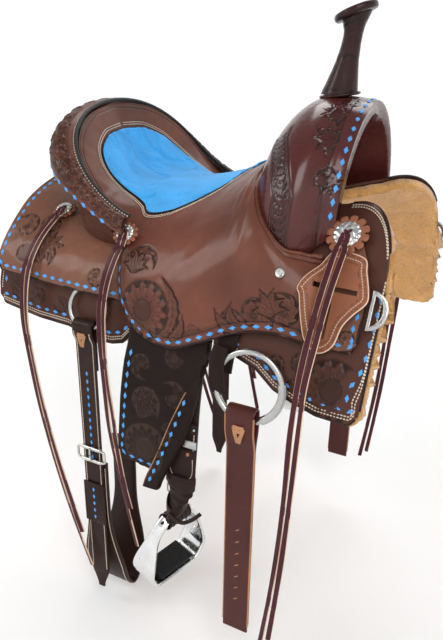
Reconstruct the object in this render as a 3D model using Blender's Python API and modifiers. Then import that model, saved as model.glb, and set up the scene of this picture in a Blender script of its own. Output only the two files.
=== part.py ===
"""Barrel racing saddle, built from its separate pieces.

+X points to the horse's head, +Y to the horse's left, +Z up, in metres. The origin
is on the centre line, level with the lower edge of the skirts, inside the hollow
that the horse's back or a saddle stand fills.
"""

import math

import bmesh
import bpy
from mathutils import Matrix, Vector

COLLECTION = "barrel_saddle"
RIGHT = -1
LEFT = 1
SIDES = {"right": RIGHT, "left": LEFT}
GAP = 0.0004

# Flank of the saddle: outer face of the skirt as (y, z), from the top down,
# at three stations along X.
REAR_X, MIDDLE_X, FRONT_X = -0.35, 0.0, 0.315
REAR_FLANK = ((0.0012, 0.236), (0.069, 0.221), (0.117, 0.205), (0.155, 0.182),
              (0.190, 0.140), (0.218, 0.090), (0.230, 0.035), (0.233, -0.030))
MIDDLE_FLANK = ((0.0012, 0.197), (0.070, 0.193), (0.120, 0.184), (0.165, 0.165),
                (0.205, 0.132), (0.232, 0.088), (0.249, 0.040), (0.258, -0.030))
FRONT_FLANK = ((0.040, 0.335), (0.085, 0.305), (0.130, 0.265), (0.170, 0.215),
               (0.204, 0.150), (0.240, 0.085), (0.272, 0.015), (0.290, -0.030))

# Leather and fleece gauges.
SKIRT_THICK = 0.0050
JOCKEY_THICK = 0.0040
SEAT_THICK = 0.0050
FLEECE_THICK = 0.0180
STRAP_THICK = 0.0040

# Tree: swell, horn, bars and cantle rim.
SWELL_CENTRE_Z = 0.200
SWELL_REAR_X, SWELL_CROWN_X, SWELL_FRONT_X = 0.095, 0.170, 0.231
SWELL_CLEAR = 0.0055
HORN_BASE = Vector((0.176, 0.0, 0.3915))
HORN_TOP = Vector((0.1945, 0.0, 0.5000))
HORN_RADII = (0.0275, 0.0235, 0.0195, 0.0165, 0.0145, 0.0150, 0.0200)
HORN_CAP_RADIUS = 0.0325
HORN_CAP_THICK = 0.0120
HORN_CAP_LEAN = math.radians(22.0)
RIM_FRONT_X, RIM_DEPTH = -0.050, 0.194
RIM_HALF_WIDTH = 0.196
RIM_CORNER_Z, RIM_RISE = 0.203, 0.160
ROLL_WIDTH = 0.040
ROLL_DROP = 0.046

# Rigging, billets and cinch.
FRONT_RING = Vector((0.161, -0.2752, 0.0105))
FRONT_RING_RADIUS = 0.0515
FRONT_RING_WIRE = 0.0050
FRONT_RING_LEAN = math.radians(12.0)
REAR_RING = Vector((-0.142, -0.2447, 0.0640))
REAR_RING_RADIUS = 0.0350
REAR_RING_WIRE = 0.0040
REAR_RING_LEAN = math.radians(18.0)
BILLET_WIDTH = 0.044
REAR_BILLET_WIDTH = 0.039
BILLET_BOTTOM_Z = -0.445

# Fenders and stirrups.
FENDER_HINGE = Vector((0.020, -0.2470, 0.045))
FENDER_TOP_Z, FENDER_BOTTOM_Z, FENDER_TIP_Z = 0.092, -0.168, -0.193
FENDER_CENTRE_X = 0.020
FENDER_THICK = 0.0035
STIRRUP_YAW = math.radians(75.0)
STIRRUP_CENTRE = Vector((0.040, -0.305, -0.340))
STIRRUP_WIDTH = 0.118
STIRRUP_HEIGHT = 0.112
STIRRUP_TREAD_DEPTH = 0.048


# Small numeric helpers.

def smooth(t):
    """Eases a value from 0 to 1."""
    t = min(max(t, 0.0), 1.0)
    return t * t * (3.0 - 2.0 * t)


def ramp(value, low, high):
    """Eased share of the way from low to high."""
    return smooth((value - low) / (high - low))


def mix(a, b, t):
    """Value a share t of the way from a to b."""
    return a + (b - a) * t


def spline(points, t):
    """Point at share t along a smooth curve through evenly weighted points."""
    count = len(points) - 1
    at = min(max(t, 0.0), 1.0) * count
    index = min(int(at), count - 1)
    local = at - index
    before = points[max(index - 1, 0)]
    start = points[index]
    end = points[index + 1]
    after = points[min(index + 2, count)]
    result = []
    for p0, p1, p2, p3 in zip(before, start, end, after):
        value = 2 * p1 + (p2 - p0) * local
        value += (2 * p0 - 5 * p1 + 4 * p2 - p3) * local ** 2
        value += (3 * p1 - p0 - 3 * p2 + p3) * local ** 3
        result.append(value / 2)
    return result


def table(rows, x):
    """Linear reading of (x, value) rows."""
    if x <= rows[0][0]:
        return rows[0][1]
    for (x0, v0), (x1, v1) in zip(rows, rows[1:]):
        if x <= x1:
            return mix(v0, v1, (x - x0) / (x1 - x0))
    return rows[-1][1]


# The flank surface that skirts, jockeys, straps and dees lie on.

def flank_yz(x, f):
    """Flank position (y, z) at station x and share f of the way down."""
    rear = spline(REAR_FLANK, f)
    middle = spline(MIDDLE_FLANK, f)
    front = spline(FRONT_FLANK, f)
    w_rear = (x - MIDDLE_X) * (x - FRONT_X) / ((REAR_X - MIDDLE_X) * (REAR_X - FRONT_X))
    w_middle = (x - REAR_X) * (x - FRONT_X) / ((MIDDLE_X - REAR_X) * (MIDDLE_X - FRONT_X))
    w_front = (x - REAR_X) * (x - MIDDLE_X) / ((FRONT_X - REAR_X) * (FRONT_X - MIDDLE_X))
    y = w_rear * rear[0] + w_middle * middle[0] + w_front * front[0]
    z = w_rear * rear[1] + w_middle * middle[1] + w_front * front[1]
    return y, z


def flank_normal(x, f):
    """Outward (y, z) direction of the flank."""
    y0, z0 = flank_yz(x, max(f - 0.01, 0.0))
    y1, z1 = flank_yz(x, min(f + 0.01, 1.0))
    length = math.hypot(y1 - y0, z1 - z0)
    return (z0 - z1) / length, (y1 - y0) / length


def flank_share(x, z):
    """Share f down the flank where its height is z."""
    low, high = 0.0, 1.0
    for _ in range(24):
        middle = (low + high) / 2
        if flank_yz(x, middle)[1] > z:
            low = middle
        else:
            high = middle
    return (low + high) / 2


def flank(x, f, lift=0.0):
    """Point on the right flank, lifted off the skirt's outer face."""
    y, z = flank_yz(x, f)
    ny, nz = flank_normal(x, f)
    return Vector((x, -(y + ny * lift), z + nz * lift))


def flank_at(x, z, lift=0.0):
    """Point on the right flank at height z."""
    return flank(x, flank_share(x, z), lift)


def flank_gap(point):
    """Clearance of a right-hand point from the skirt's outer face."""
    low, high = 0.0, 1.0
    for _ in range(18):
        middle = (low + high) / 2
        y, z = flank_yz(point.x, middle)
        ny, nz = flank_normal(point.x, middle)
        if (-point.y - y) * nz - (point.z - z) * ny > 0.0:
            low = middle
        else:
            high = middle
    share = (low + high) / 2
    y, z = flank_yz(point.x, share)
    ny, nz = flank_normal(point.x, share)
    return (-point.y - y) * ny + (point.z - z) * nz, Vector((0.0, -ny, nz))


def off_flank(point, least):
    """The point, pushed out where it is closer to the flank than allowed."""
    gap, normal = flank_gap(point)
    if gap >= least:
        return point
    return point + normal * (least - gap)


# Mesh makers.

def finish_material(name, colour, roughness, metallic=0.0):
    """Plain Principled material."""
    material = bpy.data.materials.get(name)
    if material is None:
        material = bpy.data.materials.new(name)
        material.use_nodes = True
        shader = material.node_tree.nodes["Principled BSDF"]
        shader.inputs["Base Color"].default_value = (*colour, 1.0)
        shader.inputs["Roughness"].default_value = roughness
        shader.inputs["Metallic"].default_value = metallic
    return material


FINISHES = {
    "saddle_leather": ((0.17, 0.065, 0.037), 0.42, 0.0),
    "jockey_leather": ((0.22, 0.095, 0.055), 0.45, 0.0),
    "keeper_leather": ((0.38, 0.14, 0.070), 0.50, 0.0),
    "swell_leather": ((0.070, 0.020, 0.014), 0.25, 0.0),
    "fender_leather": ((0.055, 0.024, 0.016), 0.50, 0.0),
    "latigo_leather": ((0.085, 0.022, 0.018), 0.40, 0.0),
    "string_leather": ((0.065, 0.014, 0.018), 0.45, 0.0),
    "blue_suede": ((0.045, 0.26, 0.72), 0.90, 0.0),
    "black_binding": ((0.015, 0.014, 0.014), 0.50, 0.0),
    "gold_fleece": ((0.66, 0.34, 0.10), 0.95, 0.0),
    "engraved_silver": ((0.62, 0.62, 0.60), 0.30, 1.0),
    "nickel_steel": ((0.60, 0.59, 0.56), 0.25, 1.0),
    "bright_aluminium": ((0.78, 0.78, 0.77), 0.22, 1.0),
    "tread_rubber": ((0.012, 0.012, 0.013), 0.60, 0.0),
    "tree_fibre": ((0.30, 0.22, 0.14), 0.70, 0.0),
}


def add_object(name, mesh, finish):
    """Links a mesh as a named node with its own material."""
    colour, roughness, metallic = FINISHES[finish]
    material = finish_material(f"{name}_{finish}", colour, roughness, metallic)
    mesh.materials.append(material)
    obj = bpy.data.objects.new(name, mesh)
    bpy.data.collections[COLLECTION].objects.link(obj)
    for face in mesh.polygons:
        face.use_smooth = True
    mesh.set_sharp_from_angle(angle=math.radians(40.0))
    return obj


def grid_mesh(name, across, along, place, flip=False):
    """Open grid whose corners are put in place by a function of (u, v) in 0..1."""
    bm = bmesh.new()
    bmesh.ops.create_grid(bm, x_segments=across, y_segments=along, size=0.5)
    for vert in bm.verts:
        vert.co = place(vert.co.x + 0.5, vert.co.y + 0.5)
    if flip:
        bmesh.ops.reverse_faces(bm, faces=bm.faces)
    mesh = bpy.data.meshes.new(name)
    bm.to_mesh(mesh)
    bm.free()
    return mesh


def mirrored(point, side):
    """A right-hand point, or its mirror on the left."""
    return Vector((point.x, point.y * -side, point.z))


def shell(name, across, along, place, thick, finish, flip=False, offset=-1.0):
    """Sheet of leather or fleece: an open grid with a Solidify modifier."""
    obj = add_object(name, grid_mesh(name, across, along, place, flip), finish)
    modifier = obj.modifiers.new("gauge", "SOLIDIFY")
    modifier.thickness = thick
    modifier.offset = offset
    modifier.use_even_offset = False
    return obj


def sided_shell(name, side, across, along, place, thick, finish, flip=False, offset=-1.0):
    """Sheet on one side of the saddle, from a function for the right side."""
    turned = flip if side == RIGHT else not flip
    return shell(name, across, along, lambda u, v: mirrored(place(u, v), side),
                 thick, finish, turned, offset)


def loop_solid(name, around, along, place, finish, flip=False):
    """Closed body swept along v with a closed section around u, capped at both ends."""
    bm = bmesh.new()
    bmesh.ops.create_grid(bm, x_segments=around, y_segments=along, size=0.5)
    for vert in bm.verts:
        vert.co = place(vert.co.x + 0.5, vert.co.y + 0.5)
    bmesh.ops.remove_doubles(bm, verts=bm.verts, dist=0.00001)
    edges = [edge for edge in bm.edges if edge.is_boundary]
    bmesh.ops.holes_fill(bm, edges=edges, sides=around + 2)
    bmesh.ops.recalc_face_normals(bm, faces=bm.faces)
    if flip:
        bmesh.ops.reverse_faces(bm, faces=bm.faces)
    mesh = bpy.data.meshes.new(name)
    bm.to_mesh(mesh)
    bm.free()
    return add_object(name, mesh, finish)


def ring_section(u, radius_a, radius_b):
    """Point (a, b) on an ellipse at share u of a turn."""
    turn = 2.0 * math.pi * u
    return radius_a * math.cos(turn), radius_b * math.sin(turn)


def strap(name, path, along, width, thick, finish, spread, side=RIGHT):
    """Flat strap: path(v) gives its centre, spread(v) its width direction."""
    def place(u, v):
        ahead = path(min(v + 0.01, 1.0)) - path(max(v - 0.01, 0.0))
        wide = spread(v).normalized()
        face = ahead.normalized().cross(wide).normalized()
        corners = ((-1, -1), (1, -1), (1, 1), (-1, 1))
        a, b = corners[int(round(u * 4)) % 4]
        size = width(v) if callable(width) else width
        point = path(v) + wide * (a * size / 2) + face * (b * thick / 2)
        return mirrored(point, side)
    return loop_solid(name, 4, along, place, finish)


def torus(name, centre, major, minor, finish, turned=0.0, sides=6, segments=24):
    """Round ring whose axis is close to Y."""
    bpy.ops.mesh.primitive_torus_add(major_segments=segments, minor_segments=sides,
                                     major_radius=major, minor_radius=minor)
    made = bpy.context.object
    mesh = made.data
    bpy.data.objects.remove(made)
    mesh.transform(Matrix.Rotation(math.radians(90.0) + turned, 4, "X"))
    mesh.name = name
    obj = add_object(name, mesh, finish)
    obj.location = centre
    return obj


def turned_solid(name, profile, steps, finish, matrix):
    """Closed turned piece from an (r, z) profile that runs from the top down."""
    mesh = bpy.data.meshes.new(name)
    verts = [(r, 0.0, z) for r, z in profile]
    edges = [(i, i + 1) for i in range(len(verts) - 1)]
    mesh.from_pydata(verts, edges, [])
    obj = bpy.data.objects.new(name, mesh)
    bpy.data.collections[COLLECTION].objects.link(obj)
    screw = obj.modifiers.new("turn", "SCREW")
    screw.steps = steps
    screw.render_steps = steps
    screw.use_merge_vertices = True
    screw.merge_threshold = 0.0001
    screw.use_smooth_shade = True
    colour, roughness, metallic = FINISHES[finish]
    mesh.materials.append(finish_material(f"{name}_{finish}", colour, roughness, metallic))
    obj.matrix_world = matrix
    return obj


def plane_matrix(origin, normal, up=Vector((0.0, 0.0, 1.0))):
    """Matrix whose Z is the normal and whose Y leans to up."""
    z_axis = normal.normalized()
    x_axis = up.cross(z_axis).normalized()
    y_axis = z_axis.cross(x_axis)
    matrix = Matrix((x_axis, y_axis, z_axis)).transposed().to_4x4()
    matrix.translation = origin
    return matrix


def flat_plate(name, outline, thick, finish, matrix, holes=()):
    """Flat plate cut to a closed outline, with through holes."""
    curve = bpy.data.curves.new(name, "CURVE")
    curve.dimensions = "2D"
    curve.fill_mode = "BOTH"
    curve.extrude = thick / 2
    for loop in (outline, *holes):
        line = curve.splines.new("POLY")
        line.points.add(len(loop) - 1)
        for point, (x, y) in zip(line.points, loop):
            point.co = (x, y, 0.0, 1.0)
        line.use_cyclic_u = True
    maker = bpy.data.objects.new(name + "_outline", curve)
    bpy.context.scene.collection.objects.link(maker)
    depsgraph = bpy.context.evaluated_depsgraph_get()
    mesh = bpy.data.meshes.new_from_object(maker.evaluated_get(depsgraph))
    bpy.data.objects.remove(maker)
    bm = bmesh.new()
    bm.from_mesh(mesh)
    bmesh.ops.remove_doubles(bm, verts=bm.verts, dist=0.00001)
    bmesh.ops.transform(bm, matrix=matrix, verts=bm.verts)
    bm.to_mesh(mesh)
    bm.free()
    mesh.materials.clear()
    return add_object(name, mesh, finish)


# Tree: swell, horn, bars and cantle.

def swell_outer(x, turn):
    """Outer radius of the swell at station x, at an angle from straight up."""
    side = abs(math.sin(turn))
    crown = mix(0.190, 0.200, side ** 2)
    rear = mix(0.095, 0.118, side ** 1.5)
    lip = mix(0.185, 0.162, side ** 1.2)
    if x < SWELL_CROWN_X:
        t = (x - SWELL_REAR_X) / (SWELL_CROWN_X - SWELL_REAR_X)
        t = min(max(t, 0.0), 1.0)
        return mix(rear, crown, math.sqrt(1.0 - (1.0 - t) ** 2))
    t = (x - SWELL_CROWN_X) / (SWELL_FRONT_X - SWELL_CROWN_X)
    return mix(crown, lip, smooth(t) if side > 0.4 else t * t)


def gullet_radius(x, turn):
    """Radius of the gullet tunnel through the swell."""
    side = abs(math.sin(turn))
    front = mix(0.168, 0.144, side ** 1.2)
    rear = mix(0.066, 0.086, side)
    t = (x - SWELL_REAR_X) / (SWELL_FRONT_X - SWELL_REAR_X)
    return mix(rear, front, min(max(t, 0.0), 1.0) ** 0.8)


def swell():
    """Leather covered swell, an arch over the gullet."""
    outer = (0.0, 0.04, 0.16, 0.34, 0.54, 0.74, 0.90, 1.0)
    inner = (1.0, 0.80, 0.45, 0.0)

    def at(index, turn):
        if index < 8:
            x = mix(SWELL_REAR_X, SWELL_FRONT_X, outer[index])
            radius = swell_outer(x, turn)
        else:
            x = mix(SWELL_REAR_X, SWELL_FRONT_X, inner[index - 8])
            radius = gullet_radius(x, turn)
        x += 0.004 * math.cos(turn)
        return Vector((x, -radius * math.sin(turn), SWELL_CENTRE_Z + radius * math.cos(turn)))

    def last_turn(index):
        turn = math.radians(97.0)
        while flank_gap(at(index, turn))[0] < SWELL_CLEAR:
            turn -= math.radians(0.25)
        return turn

    reach = [last_turn(index) for index in range(12)]

    def place(u, v):
        index = int(round(u * 12)) % 12
        side = 2.0 * v - 1.0
        point = at(index, abs(side) * reach[index])
        return mirrored(point, RIGHT if side < 0.0 else LEFT)

    loop_solid("swell", 12, 20, place, "swell_leather")


def horn():
    """Leather wrapped horn neck and its capped head."""
    def place(u, v):
        centre = mix(HORN_BASE, HORN_TOP, v)
        radius = spline([(r,) for r in HORN_RADII], v)[0]
        a, b = ring_section(u, radius, radius)
        tilt = math.tan(HORN_CAP_LEAN) * v
        return centre + Vector((a, b, a * tilt))

    loop_solid("horn_neck", 16, 10, place, "swell_leather")
    normal = Vector((-math.sin(HORN_CAP_LEAN), 0.0, math.cos(HORN_CAP_LEAN)))
    half = HORN_CAP_THICK / 2
    radius = HORN_CAP_RADIUS
    profile = ((0.0, half), (radius * 0.75, half), (radius * 0.93, half * 0.75),
               (radius, 0.0), (radius * 0.93, -half * 0.75), (radius * 0.7, -half),
               (0.0, -half))
    centre = HORN_TOP + normal * (half + 2.0 * GAP)
    turned_solid("horn_cap", profile, 28, "swell_leather",
                 plane_matrix(centre, normal, Vector((0.0, 1.0, 0.0))))


def rim(turn):
    """Point on the cantle rim: turn is 0 at the back and 90 degrees at a corner."""
    c = abs(math.cos(turn))
    return Vector((RIM_FRONT_X - RIM_DEPTH * c ** 0.34,
                   -RIM_HALF_WIDTH * math.sin(turn),
                   RIM_CORNER_Z + RIM_RISE * c ** 0.66))


def rim_outward(turn):
    """Level direction away from the seat at a point of the cantle rim."""
    y = math.sin(turn)
    return Vector((-math.cos(turn) * 1.15, -y, 0.0)).normalized()


def rim_turn(v):
    """Angle along the rim for share v, from the left corner to the right one."""
    return math.radians(89.2 * math.sin(math.pi * (v - 0.5)))


def cantle():
    """Rolled rim, its binding and the board behind the seat."""
    section = ((0.00, 0.05), (0.45, 0.08), (0.85, -0.12), (1.02, -0.50), (0.98, -0.95),
               (0.80, -1.00), (0.62, -0.55), (0.35, -0.30), (0.06, -0.22))

    def roll_place(u, v):
        turn = rim_turn(v)
        size = mix(0.50, 1.0, smooth(math.cos(turn) * 1.5))
        out, drop = section[int(round(u * 9)) % 9]
        outward = rim_outward(turn)
        place = rim(turn) + outward * (0.0045 + out * ROLL_WIDTH * size)
        return place + Vector((0.0, 0.0, drop * ROLL_DROP * size + 0.001))

    loop_solid("cheyenne_roll", 9, 22, roll_place, "saddle_leather")

    def binding_place(u, v):
        turn = rim_turn(v)
        a, b = ring_section(u, 0.0035, 0.0040)
        return rim(turn) + rim_outward(turn) * a + Vector((0.0, 0.0, b + 0.0035))

    loop_solid("cantle_binding", 6, 24, binding_place, "black_binding")

    def board_place(u, v):
        turn = rim_turn(v) * 0.93
        top = rim(turn) + rim_outward(turn) * 0.016 + Vector((0.0, 0.0, -0.026))
        foot = rim(turn) + rim_outward(turn) * 0.004
        f = 0.04 + 0.50 * abs(math.sin(turn)) ** 1.5
        base = flank(max(foot.x, -0.235), f, 0.024)
        foot = Vector((max(foot.x, -0.235), foot.y * 0.92, base.z + 0.004))
        return mix(foot, top, u)

    shell("cantle_board", 3, 14, board_place, 0.008, "saddle_leather", flip=True, offset=0.0)


def tree_bar(side):
    """Board that carries the saddle on one side of the horse's back."""
    def place(u, v):
        x = mix(-0.136, 0.086, v)
        return flank(x, mix(0.10, 0.32, u), 0.0135)

    label = "right" if side == RIGHT else "left"
    sided_shell(f"tree_bar_{label}", side, 4, 7, place, 0.012, "tree_fibre")


# Seat, and the inlay on it.

SEAT_EDGE = ((-0.244, 0.0, 0.362), (-0.229, 0.100, 0.347), (-0.200, 0.166, 0.305),
             (-0.150, 0.190, 0.243), (-0.098, 0.196, 0.188), (-0.087, 0.231, 0.122),
             (-0.069, 0.251, 0.081), (-0.031, 0.264, 0.049), (0.024, 0.269, 0.039),
             (0.074, 0.267, 0.057), (0.127, 0.257, 0.080), (0.187, 0.252, 0.090),
             (0.228, 0.252, 0.084))
SEAT_SPINE = ((-0.135, 0.237), (-0.132, 0.237), (-0.127, 0.236), (-0.118, 0.235),
              (-0.104, 0.234), (-0.084, 0.234), (-0.060, 0.236), (-0.020, 0.244),
              (0.030, 0.262), (0.082, 0.290))
SEAT_CONVEX = (0.0, 0.0, 0.0, 0.12, 0.55, 0.85, 1.0, 1.0, 1.0, 0.9, 0.55, 0.35, 0.3)
SWELL_BASE_TURNS = (0.0, 62.0, 88.0, 96.0)
SWELL_BASE_XS = (0.084, 0.103, 0.155, 0.226)


def seat_inner(t):
    """Inner end of a seat line: the centre line, then the foot of the swell."""
    at = t * 12.0
    if at <= 9.0:
        x, z = spline(SEAT_SPINE, at / 9.0)
        return Vector((x, 0.0, z))
    turn, x = spline(list(zip(SWELL_BASE_TURNS, SWELL_BASE_XS)), (at - 9.0) / 3.0)
    angle = math.radians(max(turn, 0.0))
    radius = swell_outer(max(x, SWELL_REAR_X), angle) + 0.006
    start = 1.0 - ramp(at, 9.0, 9.6)
    z = SWELL_CENTRE_Z + radius * math.cos(angle)
    return Vector((x, -radius * math.sin(angle), mix(z, 0.290, start)))


def seat_point(t, v):
    """Point on the right half of the seat: t runs round its edge, v from inside out."""
    edge = Vector(spline(SEAT_EDGE, t))
    inner = seat_inner(t)
    convex = spline([(c,) for c in SEAT_CONVEX], t)[0]
    bowl_run, bowl_rise = v, v ** 2.4
    round_run = math.sin(v * math.pi / 2.0) ** 0.95
    round_rise = 1.0 - math.cos(v * math.pi / 2.0)
    run = mix(bowl_run, round_run, convex)
    rise = mix(bowl_rise, round_rise, convex)
    x = mix(inner.x, edge.x, run)
    y = mix(-inner.y, edge.y, run)
    z = mix(inner.z, edge.z, rise)
    return off_flank(Vector((x, -y, z)), SEAT_THICK + 0.0020)


def seat_normal(t, v):
    """Outward direction of the seat."""
    step = 0.004
    along = seat_point(min(t + step, 1.0), v) - seat_point(max(t - step, 0.0), v)
    across = seat_point(t, min(v + step, 1.0)) - seat_point(t, max(v - step, 0.0))
    return along.cross(across).normalized()


INLAY_REACH = ((0.0, 0.83), (0.7, 0.84), (1.4, 0.80), (2.2, 0.72), (3.1, 0.65), (4.3, 0.49),
               (5.5, 0.38), (6.7, 0.355), (7.4, 0.275), (8.0, 0.21), (8.3, 0.12), (8.5, 0.04))
INLAY_END_T = 8.5 / 12.0
INLAY_CLEAR = 0.0016


def seat():
    """Seat leather with its jockeys, and the suede inlay in it."""
    def place(u, v):
        point = seat_point(u, v)
        if v == 0.0 and u <= 9.0 / 12.0:
            point.y = 0.0
        return point

    mesh = grid_mesh("seat_leather", 30, 8, place, flip=True)
    obj = add_object("seat_leather", mesh, "saddle_leather")
    mirror = obj.modifiers.new("left_half", "MIRROR")
    mirror.use_axis = (False, True, False)
    mirror.merge_threshold = 0.0001
    gauge = obj.modifiers.new("gauge", "SOLIDIFY")
    gauge.thickness = SEAT_THICK
    gauge.offset = -1.0

    def inlay_place(u, v):
        t = u * INLAY_END_T
        reach = table(INLAY_REACH, t * 12.0)
        share = v * reach
        crown = 0.0036 * (1.0 - v ** 6)
        normal = seat_normal(max(t, 0.01), max(share, 0.02))
        if normal.z < 0.0:
            normal.negate()
        if v == 0.0:
            normal.y = 0.0
            normal.normalize()
        point = seat_point(t, share) + normal * (INLAY_CLEAR + crown)
        if v == 0.0:
            point.y = 0.0
        return point

    mesh = grid_mesh("seat_inlay", 22, 5, inlay_place, flip=True)
    obj = add_object("seat_inlay", mesh, "blue_suede")
    mirror = obj.modifiers.new("left_half", "MIRROR")
    mirror.use_axis = (False, True, False)
    mirror.merge_threshold = 0.0001
    gauge = obj.modifiers.new("gauge", "SOLIDIFY")
    gauge.thickness = 0.0022
    gauge.offset = 1.0


# Skirts, fleece and jockeys.

SKIRT_BOTTOM = ((-0.350, 0.033), (-0.318, 0.029), (-0.286, 0.025), (-0.254, 0.0215),
                (-0.222, 0.021), (-0.190, 0.0205), (-0.158, 0.015), (-0.126, 0.009),
                (-0.096, 0.011), (-0.076, 0.017), (-0.062, 0.033), (-0.050, 0.105),
                (0.000, 0.108), (0.050, 0.108), (0.098, 0.105), (0.112, 0.050), (0.135, 0.042),
                (0.165, 0.033), (0.195, 0.012), (0.225, 0.002), (0.262, -0.006),
                (0.292, -0.006), (0.319, -0.005))
SKIRT_TOP_SHARE = ((-0.35, 0.0), (-0.25, 0.02), (-0.10, 0.10), (0.10, 0.10), (0.235, 0.25),
                   (0.275, 0.33), (0.305, 0.42), (0.319, 0.56))
FLEECE_CLEAR = 0.0032


def skirt_place(lift, grow):
    """Placing function of a skirt layer, grown past the skirt's edge."""
    last = len(SKIRT_BOTTOM) - 1

    def place(u, v):
        x, low = SKIRT_BOTTOM[int(round(v * last))]
        top = max(table(SKIRT_TOP_SHARE, x), 0.002 + grow * 7.0)
        bottom = flank_share(x, low - grow)
        return flank(x + grow * (2.0 * v - 1.0), mix(top, bottom, u), lift)
    return place


def skirts(side, label):
    """Skirt leather and the fleece that lines it."""
    sided_shell(f"skirt_{label}", side, 6, 22, skirt_place(0.0, 0.0), SKIRT_THICK,
                "saddle_leather")
    sided_shell(f"fleece_{label}", side, 6, 22, skirt_place(-SKIRT_THICK - FLEECE_CLEAR, 0.003),
                FLEECE_THICK, "gold_fleece")


def rear_jockey_lift(x, f):
    """Lift of the rear jockey, which rises over the rear ring."""
    low = ramp(f, 0.40, 0.66)
    return 0.0055 + 0.0130 * low * ramp(-x, 0.085, 0.105)


REAR_JOCKEY_TOP = ((-0.346, 0.018), (-0.316, 0.018), (-0.286, 0.018), (-0.260, 0.018),
                   (-0.235, 0.018), (-0.205, 0.12), (-0.175, 0.24), (-0.145, 0.34),
                   (-0.103, 0.39), (-0.060, 0.42))
REAR_JOCKEY_BOTTOM = ((-0.346, 0.090), (-0.250, 0.087), (-0.111, 0.083), (-0.060, 0.083))


def rear_jockey(side, label):
    """Jockey behind the cantle."""
    def place(u, v):
        x, top = REAR_JOCKEY_TOP[int(round(v * 9))]
        bottom = flank_share(x, table(REAR_JOCKEY_BOTTOM, x))
        f = mix(top, bottom, u)
        return flank(x, f, rear_jockey_lift(x, f))

    sided_shell(f"rear_jockey_{label}", side, 7, 9, place, JOCKEY_THICK, "jockey_leather")


FRONT_JOCKEY_BOTTOM = ((0.212, 0.088), (0.240, 0.080), (0.300, 0.080))
FRONT_JOCKEY_TOP = ((0.212, 0.150), (0.228, 0.156), (0.244, 0.244), (0.268, 0.241),
                    (0.290, 0.213), (0.299, 0.170))


def front_jockey(side, label):
    """Jockey in front of the swell, with the front concho."""
    def place(u, v):
        x = mix(0.212, 0.299, v)
        top = flank_share(x, table(FRONT_JOCKEY_TOP, x))
        bottom = flank_share(x, table(FRONT_JOCKEY_BOTTOM, x))
        return flank(x, mix(top, bottom, u), 0.0065)

    sided_shell(f"front_jockey_{label}", side, 8, 10, place, JOCKEY_THICK, "jockey_leather")


def side_frame(side, x, z, lift):
    """Plane on the flank: X runs forward, Y up the flank and Z outward."""
    point = flank_at(x, z, lift)
    ny, nz = flank_normal(x, flank_share(x, z))
    normal = Vector((0.0, -ny, nz))
    forward = Vector((1.0, 0.0, 0.0))
    up = normal.cross(forward).normalized()
    matrix = Matrix((forward, up, normal)).transposed().to_4x4()
    matrix.translation = point
    if side == LEFT:
        matrix = Matrix.Scale(-1.0, 4, (0.0, 1.0, 0.0)) @ matrix
    return matrix


KEEPER_OUTLINE = ((0.244, 0.192), (0.228, 0.170), (0.211, 0.143), (0.216, 0.132), (0.226, 0.104),
                  (0.236, 0.083), (0.253, 0.073), (0.270, 0.084), (0.277, 0.108), (0.288, 0.124),
                  (0.302, 0.140), (0.301, 0.155), (0.293, 0.176), (0.285, 0.192))
KEEPER_SLOTS = (((0.229, 0.152), (0.288, 0.152), (0.288, 0.146), (0.229, 0.146)),
                ((0.251, 0.131), (0.257, 0.131), (0.257, 0.090), (0.251, 0.090)))
KEEPER_THICK = 0.0045


def keeper_lift(x, z):
    """Lift of the keeper, which lies over the front of the seat jockey."""
    low = mix(0.0320, 0.0160, ramp(x, 0.218, 0.256))
    return mix(low, 0.0115, ramp(z, 0.150, 0.185))


def latigo_keeper(side, label):
    """Slotted leather plate that holds the end of the front strap."""
    obj = flat_plate(f"latigo_keeper_{label}", KEEPER_OUTLINE, KEEPER_THICK, "keeper_leather",
                     Matrix.Identity(4), KEEPER_SLOTS)
    for vert in obj.data.vertices:
        x, z, rise = vert.co
        vert.co = mirrored(flank_at(x, z, keeper_lift(x, z) + rise), side)
    tidy_normals(obj)


def tidy_normals(obj):
    """Turns every face of a closed mesh outward."""
    bm = bmesh.new()
    bm.from_mesh(obj.data)
    bmesh.ops.recalc_face_normals(bm, faces=bm.faces)
    bm.to_mesh(obj.data)
    bm.free()


# Centre, outward direction, radius of the silver and of the rosette under it.
CONCHO_PLACES = {
    "front": ((0.2545, -0.1680, 0.2214), (-0.10, -0.72, 0.67), 0.0165, 0.0240),
    "middle": ((-0.0888, -0.2052, 0.1857), (0.12, -0.67, 0.72), 0.0150, 0.0205),
    "rear": ((-0.2600, -0.1414, 0.1912), (0.05, -0.45, 0.89), 0.0150, 0.0210),
}


def concho_frame(side, spot):
    """Plane of one concho."""
    centre, normal = CONCHO_PLACES[spot][:2]
    return plane_matrix(mirrored(Vector(centre), side), mirrored(Vector(normal), side))


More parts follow.
